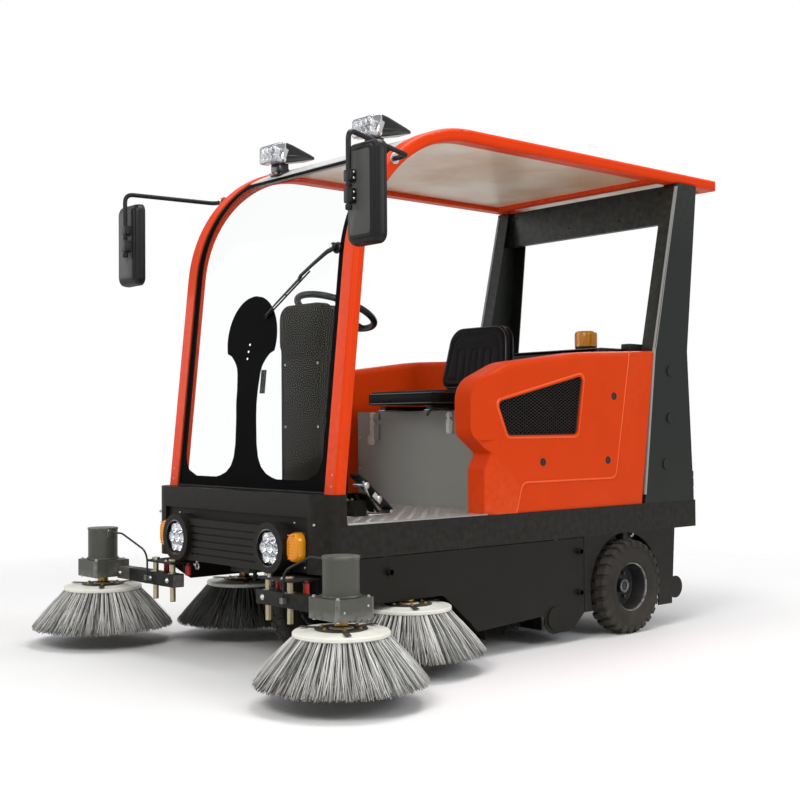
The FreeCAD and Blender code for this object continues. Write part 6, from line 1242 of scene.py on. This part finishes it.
def make_seat_pads():
    """Stuffed cushion and back rest with sewn channels, piping, and the shell behind the back."""
    border = rounded((-0.214, -0.104), (0.214, 0.3), 0.04)
    border = border + border[:1]
    inner = rounded((-0.15, -0.06), (0.15, 0.262), 0.026)
    inner = inner + inner[:1]
    bars = [[(x, -0.06), (x, 0.262)] for x in (-0.075, 0, 0.075)]

    def sewn_seat(point):
        if point.z < 1.05:
            return 0 if point.z < 1.01 else 9
        return min(span_to(point.x, point.y, line) for line in [border, inner] + bars)
    form = Form()
    form.stack([(z, rounded((-0.24 + a, -0.13 + a), (0.24 - a, 0.326 - a), 0.034)) for z,
                a in ((1.004, 0.012), (1.009, 0.006), (1.02, 0.005), (1.05, 0.0055), (1.06, 0.009),
                      (1.066, 0.017), (1.068, 0.028))], "Z")
    cushion = swell(form, sewn_seat, 0.0055).piece("seat_cushion", "seat_vinyl", "seat_lid",
                                stands_for=("seat_pads",), sharp=180, subdivide=1)
    field = seat_back_outline(0.04)
    field = field + field[:1]
    ribs = [field, [(-0.15, 1.286), (0.15, 1.286)], [(-0.108, 1.262), (-0.062, 1.262), (-0.062, 1.128)],
            [(-0.02, 1.262), (0.02, 1.262), (0.02, 1.128)], [(-0.02, 1.262), (-0.02, 1.128)],
            [(0.108, 1.262), (0.062, 1.262), (0.062, 1.128)], [(-0.02, 1.2), (0.02, 1.2)],
            [(0.108, 1.262), (0.108, 1.128)], [(-0.108, 1.262), (-0.108, 1.128)]]

    def sewn_back(point):
        depth = point.y - 0.046 * (point.z - 1.084) / 0.288
        if depth > 0.3125:
            return 0 if depth > 0.345 else 9
        return min(span_to(point.x, point.z, line) for line in ribs)
    back = Form()
    back.skin([seat_back_ring(y, a) for y, a in (
        (0.3085, 0.026), (0.3095, 0.016), (0.314, 0.008), (0.324, 0.005), (0.35, 0.005), (0.353, 0.01))])
    rest = swell(back, sewn_back, 0.0055).piece("seat_back", "seat_vinyl", "seat_lid", sharp=180, subdivide=1)
    shell = Form()
    shell.skin([seat_back_ring(y, a) for y, a in (
        (0.3535, 0.012), (0.3535, 0.0035), (0.359, 0.0025), (0.366, 0.008), (0.37, 0.024), (0.3712, 0.06))])
    shell.piece("seat_back_shell", "black_plastic", "seat_lid", "seat_black", sharp=40)
    piping = Form()
    for z, a, gauge in ((1.0555, 0.0062, 0.003), (1.0135, 0.0052, 0.003)):
        ring = rounded((-0.24 + a, -0.13 + a), (0.24 - a, 0.326 - a), 0.034, 8)
        piping.tube([(x, y, z) for x, y in ring + ring[:1]], gauge, 8)
    ring = seat_back_ring(0.3155, 0.0085, 9)
    piping.tube(ring + ring[:1], 0.003, 8)
    piping.piece("seat_piping", "gloss_black", "seat_lid", "seat_black", sharp=60)
    tray = Form()
    for side in (-1, 1):
        tray.block((side * 0.15 - 0.021, -0.104, 0.9815), (side * 0.15 + 0.021, 0.306, 0.985), 0.0012)
        for x, y in ((0.15, -0.088), (0.172, 0.27)):
            tray.bolt((side * x, y, 0.985), UP, 0.008)
    tray.piece("seat_slide", "bare_steel", "seat_lid", "zinc_plate")


# Vent grilles

def make_vents():
    """Woven wire in the side panels' openings, over a flat black sheet of painted shade for the dark inside, and
    inside a thin frame.
    """
    corners = [(-0.118, 1.009), (-0.057, 0.874), (0.365, 0.874), (0.407, 1.127)]
    middle = (sum(y for y, _ in corners) / 4, sum(z for _, z in corners) / 4)

    def drawn_in(gap):
        lines = []
        for (ay, az), (by, bz) in zip(corners, corners[1:] + corners[:1]):
            along = Vector((by - ay, bz - az)).normalized()
            normal = Vector((-along.y, along.x))
            if normal.dot(Vector((middle[0] - ay, middle[1] - az))) < 0:
                normal = -normal
            lines.append((Vector((ay, az)) + normal * gap, along))
        points = []
        for (p, d), (q, e) in zip(lines[-1:] + lines[:-1], lines):
            cross = d.x * e.y - d.y * e.x
            share = ((q.x - p.x) * e.y - (q.y - p.y) * e.x) / cross
            points.append(p + d * share)
        return points

    def clip(start, step, ring):
        """Where a line crosses a convex ring."""
        low, high = -9, 9
        centre = Vector(middle)
        for a, b in zip(ring, ring[1:] + ring[:1]):
            edge = b - a
            normal = Vector((-edge.y, edge.x))
            if normal.dot(centre - a) < 0:
                normal = -normal
            slope = normal.dot(step)
            level = normal.dot(start - a)
            if abs(slope) < 1e-12:
                if level < 0:
                    return None
                continue
            share = -level / slope
            if slope > 0:
                low = max(low, share)
            else:
                high = min(high, share)
        return (low, high) if high > low + 0.004 else None

    edge_ring = bend_ring(drawn_in(0.003), 0.02, 6)
    wire_ring = bend_ring(drawn_in(0.006), 0.018, 6)
    wires, rim, shade_card = Form(), Form(), Form()
    # Flat black sheet behind the wires: painted shade for the dark space inside the opening.
    shade_card.prism([(p.x, p.y) for p in bend_ring(drawn_in(0.002), 0.021, 6)], "X", 0.5672, 0.568)
    rim.tube([(0.5716, p.x, p.y) for p in edge_ring + edge_ring[:1]], 0.0032, 8)
    pitch = 0.0125
    for turn, depth in ((28, 0.5708), (-28, 0.5722)):
        step = Vector((cos(radians(turn)), sin(radians(turn))))
        across = Vector((-step.y, step.x))
        for i in range(-30, 31):
            start = Vector(middle) + across * (i * pitch * 0.94)
            ends = clip(start, step, wire_ring)
            if ends is not None:
                a, b = start + step * ends[0], start + step * ends[1]
                wires.tube([(depth, a.x, a.y), (depth, b.x, b.y)], 0.0013, 6)
    for form in (wires, rim, shade_card):
        form.mirror_x()
    wires.piece("vent_wires", "vent_wire", stands_for=("vent_grilles",), sharp=60)
    rim.piece("vent_frames", "black_plastic", sharp=60)
    shade_card.piece("vent_painted_shade", "screen_print", slot="black_plastic")


def make_panel_beads():
    """Moulded rolls along the side panels' step and round their grilles; their lighter orange is a painted
    highlight along the relief.
    """
    form = Form()
    line = bend_path([(0.5758, -0.0085, 0.562), (0.5758, 0.028, 0.682), (0.5758, 0.621, 0.682),
                      (0.5758, 0.7255, 1.24)], 0.04, 10)
    form.tube(line, 0.0046, 8)
    corners = [(-0.1255, 1.0145), (-0.0625, 0.8655), (0.372, 0.8655), (0.417, 1.139)]
    ring = bend_ring([(0.5765, y, z) for y, z in corners], 0.03, 8)
    form.tube(ring + ring[:1], 0.0062, 8)
    form.mirror_x()
    form.piece("panel_beads", "orange_bead_highlight", sharp=60)


# Cab

SLOPE = 26.7


def on_slope(x, along, lift=0):
    """A point on the console's sloping head: distance up from its rear edge, and height off it."""
    turn = radians(SLOPE)
    return Vector((x, -0.52 - along * cos(turn) + lift * sin(turn),
                   1.33 + along * sin(turn) + lift * cos(turn)))


def slope_block(form, x, along, wide, long, tall, bevel):
    """A flat block that lies on the console's sloping head."""
    form.box(on_slope(x, along, tall / 2), (wide, long, tall), bevel, turn_about("X", -SLOPE))


def make_console_fittings():
    """Display, switches, key and levers on the console, its seams and the wheel's hub cover."""
    cover = Form()
    for x in (0.08, -0.08):
        slope_block(cover, x, 0.05, 0.104, 0.076, 0.006, 0.003)
    for i in range(3):
        slope_block(cover, -0.112 + i * 0.03, 0.068, 0.022, 0.026, 0.013, 0.003)
        slope_block(cover, -0.112 + i * 0.03, 0.034, 0.022, 0.022, 0.011, 0.003)
    for side in (-1, 1):
        cover.block((side * 0.149, -0.622, 0.7), (side * 0.1515, -0.556, 1.02), 0.0012)
    cover.piece("console_covers", "black_plastic")
    cowl = Form()
    cowl.stack([(y, rounded((-0.152 + a, 1.2 + a), (0.152 - a, 1.414 - a), 0.058 - a * 0.5, 8)) for y,
                a in ((-0.662, 0.02), (-0.6612, 0.012), (-0.658, 0.005), (-0.65, 0), (-0.608, 0),
                      (-0.6, 0.004), (-0.596, 0.012))])
    cowl.block((-0.12, -0.6578, 0.64), (0.12, -0.6548, 1.19), 0.0015)
    cowl.piece("console_cowl", "dark_panel", sharp=30)
    glass = Form()
    slope_block(glass, 0.08, 0.052, 0.08, 0.048, 0.0075, 0.0015)
    glass.piece("console_display", "display_glass")
    Form().rod(on_slope(0.045, 0.03, 0.006), on_slope(0.045, 0.03, 0.02), 0.012, 20,
               0.004).piece("stop_button", "switch_red")
    steel = Form()
    steel.rod(on_slope(-0.04, 0.028, 0.006), on_slope(-0.04, 0.028, 0.012), 0.01, 18, 0.001)
    steel.rod(on_slope(-0.04, 0.028, 0.012), on_slope(-0.04, 0.028, 0.03), 0.0015, 8)
    for x in (-0.11, 0.11):
        for z in (0.66, 0.915, 1.17):
            steel.screw((x, -0.6575, z), FORWARD, 0.009)
    for side in (-1, 1):
        for y, z in ((-0.612, 0.712), (-0.566, 0.712), (-0.612, 1.008), (-0.566, 1.008)):
            steel.screw((side * 0.1515, y, z), (side, 0, 0), 0.007)
    knobs = Form()
    for side, tip, lean in ((1, (0.196, -0.54, 1.318), 0.25), (-1, (-0.19, -0.548, 1.33), 0.15)):
        steel.tube(bend_path([(side * 0.15, -0.56, 1.235), (side * 0.176, -0.56, 1.24), tip], 0.02), 0.0045, 10)
        steel.rod((side * 0.149, -0.56, 1.235), (side * 0.154, -0.56, 1.235), 0.014, 20, 0.001)
        knobs.lathe([(0, -0.006), (0.008, -0.004), (0.0125, 0.006), (0.0125, 0.018), (0.008, 0.028), (0, 0.03)],
                    tip, (0, lean, 1), 18)
    steel.piece("console_steel", "bright_zinc")
    knobs.piece("lever_knobs", "gloss_black")
    Form().lathe([(0, 0.0195), (0.02, 0.019), (0.03, 0.015), (0.034, 0.008), (0.0345, 0)], (0, -0.478, 1.392),
                 (0, sin(radians(22)), cos(radians(22))), 32).piece("horn_button", "gloss_black", "hand_wheel")


def make_pedal_fittings():
    """Ribbed rubber on the two pedals, their arms, springs and the cable that runs to the floor."""
    turn = turn_about("X", -50)
    rubber, steel = Form(), Form()
    for x in (0.262, 0.178):
        foot = Vector((x, -0.584, 0.6494))
        for i in range(8):
            rubber.box(foot + turn @ Vector((0, 0.01 + i * 0.0108, 0.0072)), (0.052, 0.0068, 0.0044), 0.001, turn)
        rim = [foot + turn @ Vector((a, b, 0.0064)) for a, b in rounded((-0.0285, 0.001), (0.0285, 0.095), 0.01)]
        rubber.tube(rim + rim[:1], 0.0022, 6)
        arm = [foot + turn @ Vector((0, 0.05, -0.002)), (x, -0.59, 0.6), (x, -0.612, 0.58)]
        steel.tube(bend_path(arm, 0.02), 0.006, 10)
        spring = []
        for i in range(73):
            angle = i * pi / 6
            spring.append((x + 0.018 + 0.0055 * cos(angle), -0.596 + 0.0055 * sin(angle), 0.572 + i * 0.00062))
        steel.tube(spring, 0.0011, 5)

    def tread(x, along, lift):
        """A point on the drive treadle: distance down from its top edge, and height off it."""
        return Vector((x, -0.605 + along * 0.759, 0.724 - along * 0.651)) + Vector((0, 0.651, 0.759)) * lift
    plate = Form()
    plate.skin([[tread(x, a, h) for x, a in rounded((0.236, 0), (0.306, 0.225), 0.012, 4)] for h in (0, 0.007)])
    for i in range(15):
        a = 0.014 + i * 0.014
        plate.tube([tread(0.244, a, 0.008), tread(0.298, a, 0.008)], 0.0026, 6)
    plate.piece("drive_treadle", "black_plastic", bevel=0.0008)
    for a in (0.05, 0.135):
        steel.tube([tread(0.23, a, -0.01), tread(0.312, a, -0.01)], 0.0065, 12)
        steel.lathe([(0, 0), (0.013, 0), (0.013, 0.004), (0.008, 0.006), (0, 0.006)],
                    tread(0.308, a, -0.01), LEFT, 20)
    pad_low, pad_high = tread(0.3065, 0.1, -0.002), tread(0.3065, 0.15, -0.024)
    steel.prism([(pad_low.y, pad_low.z), (tread(0, 0.15, -0.002).y, tread(0, 0.15, -0.002).z),
                 (pad_high.y, pad_high.z),
                 (tread(0, 0.1, -0.024).y, tread(0, 0.1, -0.024).z)], "X", 0.3065, 0.3095, 0.0008)
    steel.block((0.24, -0.56, 0.564), (0.304, -0.44, 0.57), 0.002)
    steel.rod((0.236, -0.444, 0.576), (0.306, -0.444, 0.576), 0.0065, 14, 0.001)
    steel.tube(bend_path([tread(0.3, 0.03, -0.004), (0.302, -0.56, 0.64),
                          (0.302, -0.52, 0.576)], 0.03), 0.0055, 10)
    steel.bolt((0.22, -0.575, 0.6235), UP, 0.009)
    steel.bolt((0.22, -0.602, 0.6235), UP, 0.009)
    rubber.piece("pedal_rubber", "flap_rubber", sharp=40)
    steel.piece("pedal_steel", "bright_zinc")


# Rear end and underside

def make_broom_strands():
    """The main broom: twelve slanted rows of tufts round a plain core on its shaft."""
    chance = random.Random(31)
    form = Form()
    shade = form.mesh.loops.layers.color.new(SHADE_LAYER)
    centre = Vector((0, 0.215, 0.152))
    rows, tufts, each = 12, 56, 9
    for row in range(rows):
        for i in range(tufts):
            share = i / (tufts - 1)
            middle = 2 * pi * row / rows + radians(30) * (share - 0.5)
            x_root = -0.3325 + 0.665 * share
            tone = chance.uniform(0.6, 1.1)
            for _ in range(each):
                a = middle + chance.gauss(0, 0.05)
                bend = chance.gauss(0, 0.03)
                x = x_root + chance.uniform(-0.004, 0.004)
                drift = chance.gauss(0, 0.004)
                reach = 0.1265 - chance.uniform(0, 0.006)
                level = tone * chance.choice((0.4, 0.8, 1.1))
                verts = []
                for step in range(3):
                    t = step / 2
                    r = 0.052 + (reach - 0.052) * t
                    turn = a + bend * t * t
                    place = centre + Vector((max(min(x + drift * t, 0.3355), -0.3355),
                                             r * cos(turn), r * sin(turn)))
                    side = Vector((0.001, -sin(turn) * 0.0008, cos(turn) * 0.0008))
                    verts.append((form.mesh.verts.new(place - side), form.mesh.verts.new(place + side)))
                for (p, q), (s, t) in zip(verts, verts[1:]):
                    shade_face(form.mesh.faces.new((p, q, t, s)), shade, level)
    form.piece("broom_strands", "broom_strand", "broom", stands_for=("main_broom",), sharp=180)
    core = Form()
    core.lathe([(0, 0), (0.05, 0), (0.0525, 0.004), (0.0525, 0.668), (0.05, 0.672), (0, 0.672)],
               (-0.336, 0.215, 0.152), LEFT, 36)
    core.lathe([(0, 0), (0.011, 0), (0.012, 0.001), (0.012, 0.691), (0.011, 0.692), (0, 0.692)],
               (-0.346, 0.215, 0.152), LEFT, 20)
    core.piece("broom_core", "board_black", "broom")


def make_hopper_fittings():
    """Grip, side latches, corner screws and the seal round the debris hopper's face."""
    Form().tube([(x, 1.2085, 0.76) for x in steps_between(-0.095, 0.095, 12)],
                [0.0088 - (0.0012 if i % 2 else 0) for i in range(12)], 14).piece("hopper_grip",
                                "flap_rubber", "debris_hopper")
    steel = Form()
    for side in (-1, 1):
        steel.block((side * 0.41 - 0.016, 1.159, 0.56), (side * 0.41 + 0.016, 1.1635, 0.64), 0.002)
        steel.block((side * 0.41 - 0.009, 1.163, 0.575), (side * 0.41 + 0.009, 1.172, 0.632), 0.002)
        for z in (0.352, 0.44, 0.74, 0.834):
            steel.screw((side * 0.424, 1.159, z), REARWARD, 0.01)
        steel.lathe([(0, 0), (0.014, 0), (0.014, 0.004), (0.009, 0.006), (0, 0.006)],
                    (side * 0.14, 1.159, 0.76), REARWARD, 22)
    for x in (-0.3, -0.1, 0.1, 0.3):
        steel.screw((x, 1.159, 0.838), REARWARD, 0.009)
    steel.piece("hopper_steel", "bright_zinc", "debris_hopper")
    seal = Form()
    ring = rounded((-0.436, 0.3325), (0.436, 0.8535), 0.006, 3)
    seal.tube([(x, 1.1545, z) for x, z in ring + ring[:1]], 0.0032, 6)
    seal.piece("hopper_seal", "flap_rubber", "debris_hopper", sharp=60)


def make_tail_lamps():
    """Rear lamps: black housing with amber, red and clear lens fields over flat reflectors."""
    for side, name in SIDES:
        x = side * 0.54
        Form().stack([(y, rounded((x - 0.027 + a, 0.58 + a), (x + 0.027 - a, 0.7 - a), 0.012, 5)) for y,
                      a in ((1.1835, 0.003), (1.186, 0), (1.204, 0), (1.2065, 0.002))]).piece("tail_case_" + name,
                                    "black_plastic", stands_for=("tail_lamps",))
        for low, high, shade in ((0.664, 0.696, "amber_lens"), (0.617, 0.661, "red_lens"),
                                 (0.584, 0.614, "clear_lens")):
            Form().stack([(y, rounded((x - 0.0235 + a, low + a), (x + 0.0235 - a, high - a), 0.006, 4)) for y,
                          a in ((1.206, 0), (1.2125, 0.0005),
                                (1.2155, 0.004))]).piece("tail_" + shade + "_" + name, shade)
        core = Form()
        for low, high in ((0.667, 0.693), (0.62, 0.658), (0.587, 0.611)):
            core.block((x - 0.02, 1.206, low), (x + 0.02, 1.2072, high), 0.0004)
        core.piece("tail_reflector_" + name, "lamp_chrome")


def make_hood_fittings():
    """Louvres, hinges, a turn latch and seams on the rear hood."""
    dark = Form()
    for side in (-1, 1):
        dark.block((side * 0.3 - 0.032, 0.498, 1.06), (side * 0.3 + 0.032, 0.504, 1.064), 0.001)
    for x, half in ((0, 0.15), (-0.3, 0.085), (0.3, 0.085)):
        for i in range(7):
            z = 0.94 + i * 0.026
            dark.block((x - half, 1.166, z), (x + half, 1.1712, z + 0.012), 0.003, turn_about("X", 24))
    dark.piece("hood_louvres", "hopper_paint")
    steel = Form()
    for x in (-0.36, 0.36):
        steel.rod((x - 0.03, 1.1695, 0.885), (x + 0.03, 1.1695, 0.885), 0.005, 16, 0.001)
        steel.block((x - 0.028, 1.1668, 0.862), (x + 0.028, 1.169, 0.908), 0.0008)
        for dx in (-0.018, 0.018):
            steel.screw((x + dx, 1.169, 0.872), REARWARD, 0.007)
            steel.screw((x + dx, 1.169, 0.9), REARWARD, 0.007)
    steel.lathe([(0, 0), (0.016, 0), (0.016, 0.003), (0.011, 0.0045), (0, 0.0045)],
                (0, 1.1668, 1.142), REARWARD, 24)
    steel.block((-0.0025, 1.1708, 1.131), (0.0025, 1.174, 1.153), 0.0008)
    steel.piece("hood_steel", "cast_grey", slot="zinc_plate")


def make_underside():
    """Cable looms and brake lines along the rails with clips, spring bolts, and bolts under the floor."""
    loom, clips, steel, lines = Form(), Form(), Form(), Form()
    for side in (-1, 1):
        path = bend_path([(side * 0.338, -0.86, 0.512), (side * 0.338, -0.12, 0.512), (side * 0.338, 0.02, 0.524),
                          (side * 0.338, 0.46, 0.524), (side * 0.338, 1.09, 0.524)], 0.08)
        loom.tube(path, 0.008, 10)
        pipe = bend_path([(side * 0.344, -0.82, 0.486), (side * 0.344, 0.03, 0.486), (side * 0.344, 0.09, 0.502),
                          (side * 0.344, 0.96, 0.502)], 0.04)
        lines.tube(pipe, 0.003, 8)
        for i in range(13):
            y = -0.8 + i * 0.145
            z = 0.512 if y < -0.1 else 0.524
            clips.block((side * 0.328, y - 0.008, z - 0.0095), (side * 0.3495, y + 0.008, z + 0.0095), 0.002)
    loom.piece("cable_looms", "cable_black")
    lines.piece("brake_lines", "zinc_plate")
    clips.piece("loom_clips", "black_plastic")
    for side in (-1, 1):
        for y in (0.644, 0.712):
            for x in (0.35, 0.41):
                steel.rod((side * x, y, 0.252), (side * x, y, 0.33), 0.0055, 12, 0.001)
                steel.rod((side * x, y, 0.262), (side * x, y, 0.27), 0.0105, 6, 0.001)
            steel.tube([(side * 0.35, y, 0.328), (side * 0.38, y, 0.334), (side * 0.41, y, 0.328)], 0.0055, 10)
        for y in (0.414, 0.942):
            steel.bolt((side * 0.4075, y, 0.405), (side, 0, 0), 0.012)
    for x in (-0.3, -0.1, 0.1, 0.3):
        for y in (-0.7, -0.3):
            steel.bolt((x, y, 0.5538), DOWN, 0.011)
    steel.piece("underside_bolts", "bright_zinc")


def make_front_fittings():
    """Red caps on the carriers, eye bolts, pipes and clamps below the bumper."""
    red, steel, pipes = Form(), Form(), Form()
    for side in (-1, 1):
        for x in (0.315, 0.482):
            red.lathe([(0, 0), (0.0105, 0), (0.012, 0.002), (0.012, 0.04), (0.008, 0.044), (0.008, 0.05),
                       (0, 0.05)], (side * x, -1, 0.316), UP, 20)
        steel.lathe([(0.0035, 0), (0.0048, 0.0015), (0.0048, 0.0035), (0.0035, 0.005), (0.0022, 0.0035),
                     (0.0022, 0.0015)], (side * 0.268, -0.997, 0.364), FORWARD, 14, True)
        ring = [(side * 0.258 + 0.013 * cos(a), -0.992, 0.36 + 0.013 * sin(a)) for a in
                [2 * pi * i / 20 for i in range(21)]]
        steel.tube(ring, 0.0042, 8)
        steel.rod((side * 0.258, -0.992, 0.372), (side * 0.258, -0.992, 0.392), 0.0065, 12, 0.001)
        for x in (0.36, 0.44):
            steel.bolt((side * x, -1.074, 0.3742), UP, 0.009)
        for radius, line in (
            (0.0042, ((0.24, -0.93, 0.44), (0.24, -0.975, 0.4), (0.262, -0.985, 0.38), (0.3, -0.96, 0.382))),
            (0.0036, ((0.21, -0.93, 0.446), (0.214, -0.972, 0.412), (0.236, -0.978, 0.384), (0.3, -0.94, 0.384))),
        ):
            pipes.tube(bend_path([(side * x, y, z) for x, y, z in line], 0.03), radius, 8)
    red.piece("carrier_caps", "switch_red")
    steel.piece("carrier_steel", "bright_zinc")
    pipes.piece("carrier_pipes", "cable_black")


def make_skirt_edging():
    """Rubber edging under the side sheets."""
    edging = Form()
    for side in (-1, 1):
        points = [(side * 0.577, -0.828, 0.27), (side * 0.577, -0.42, 0.269), (side * 0.577, -0.292, 0.1615)]
        edging.tube(bend_path(points, 0.05), 0.0026, 8)
    edging.piece("skirt_edging", "flap_rubber", slot="flap_rubber")


# Studio and camera

def make_studio():
    """Pale floor that fades into a white surround, soft lamps, and the camera at the photograph's angle."""
    scene = bpy.context.scene
    scene.view_settings.view_transform = "Standard"
    world = bpy.data.worlds.new("studio")
    scene.world = world
    world.use_nodes = True
    tree = world.node_tree
    back = tree.nodes["Background"]
    back.inputs["Color"].default_value = rgb(1, 1, 1)
    path = tree.nodes.new("ShaderNodeLightPath")
    seen = maths(tree, "MAXIMUM", path.outputs["Is Camera Ray"],
                 maths(tree, "MAXIMUM", maths(tree, "MULTIPLY", path.outputs["Is Glossy Ray"], 0.35),
                       path.outputs["Is Transmission Ray"]))
    tree.links.new(maths(tree, "MULTIPLY_ADD", seen, 0.62, 0.38), back.inputs["Strength"])
    bpy.ops.mesh.primitive_circle_add(vertices=96, radius=9, fill_type="NGON", location=(0, 0, -0.0005))
    floor = bpy.context.object
    floor.name = "studio_floor"
    floor.data.materials.append(floor_finish())
    for name, place, aim, size, power, colour in (
        ("key_lamp", (2.2, -4.6, 4.2), (0, 0, 0.9), 2.6, 130, (1, 0.98, 0.95)),
        ("side_lamp", (5.2, 0.4, 3), (0, 0.2, 0.8), 2.4, 78, (0.97, 0.98, 1)),
        ("fill_lamp", (-4.6, -3.4, 2.6), (0, 0, 0.8), 3.2, 52, (0.95, 0.97, 1)),
        ("top_lamp", (0.4, 0.6, 5.6), (0, 0.1, 0.8), 3, 150, (1, 1, 1)),
        ("rear_lamp", (-1.6, 5, 3.2), (0, 0, 1), 2.6, 62, (1, 1, 1)),
    ):
        data = bpy.data.lights.new(name, "AREA")
        data.shape = "DISK"
        data.size = size
        data.energy = power
        data.color = colour
        lamp = bpy.data.objects.new(name, data)
        scene.collection.objects.link(lamp)
        lamp.location = place
        lamp.rotation_euler = (Vector(aim) - Vector(place)).to_track_quat("-Z", "Y").to_euler()
    make_camera(scene)


def floor_finish():
    """Pale matt floor, wholly white away from the machine for the camera."""
    material = bpy.data.materials.new("floor_white")
    material.use_nodes = True
    tree = material.node_tree
    tree.nodes.remove(tree.nodes["Principled BSDF"])
    output = tree.nodes["Material Output"]
    matt = tree.nodes.new("ShaderNodeBsdfDiffuse")
    matt.inputs["Color"].default_value = rgb(0.93, 0.93, 0.93)
    clear = tree.nodes.new("ShaderNodeBsdfTransparent")
    blend = tree.nodes.new("ShaderNodeMixShader")
    place = tree.nodes.new("ShaderNodeTexCoord").outputs["Object"]
    length = tree.nodes.new("ShaderNodeVectorMath")
    length.operation = "LENGTH"
    tree.links.new(place, length.inputs[0])
    fade = maths(tree, "MULTIPLY_ADD", length.outputs["Value"], 0.45, -0.95, clamp=True)
    from_below = tree.nodes.new("ShaderNodeNewGeometry").outputs["Backfacing"]
    tree.links.new(maths(tree, "MAXIMUM", fade, from_below), blend.inputs[0])
    tree.links.new(matt.outputs[0], blend.inputs[1])
    tree.links.new(clear.outputs[0], blend.inputs[2])
    tree.links.new(blend.outputs[0], output.inputs["Surface"])
    return material


def make_camera(scene):
    """The photograph's camera: its place, its angles in degrees and its lens."""
    yaw, pitch, roll = radians(48.776), radians(1.119), radians(-0.415)
    ahead = Vector((-sin(yaw) * cos(pitch), cos(yaw) * cos(pitch), sin(pitch)))
    side = Vector((cos(yaw), sin(yaw), 0))
    up = side.cross(ahead)
    right = side * cos(roll) + up * sin(roll)
    above = up * cos(roll) - side * sin(roll)
    data = bpy.data.cameras.new("camera")
    data.sensor_width = 36
    data.lens = 56.147
    camera = bpy.data.objects.new("camera", data)
    scene.collection.objects.link(camera)
    basis = Matrix((right, above, -ahead)).transposed().to_4x4()
    camera.matrix_world = Matrix.Translation((4.0714, -3.6934, 0.922)) @ basis
    scene.camera = camera


make_finishes()
make_studio()
dress_nodes()
make_disc_brushes()
make_tyres()
make_screen_print()
make_wiper()
for way, label in SIDES:
    make_mirror(way, "mirror_" + label)
for way, label in SIDES:
    make_roof_lamp(way, "roof_lamp_" + label)
make_front_lamps()
make_beacon()
make_fastenings()
make_box_fittings()
make_floor_chequer()
make_motor_dress()
make_seat_pads()
make_vents()
make_panel_beads()
make_console_fittings()
make_pedal_fittings()
make_broom_strands()
make_hopper_fittings()
make_tail_lamps()
make_hood_fittings()
make_underside()
make_front_fittings()
make_skirt_edging()
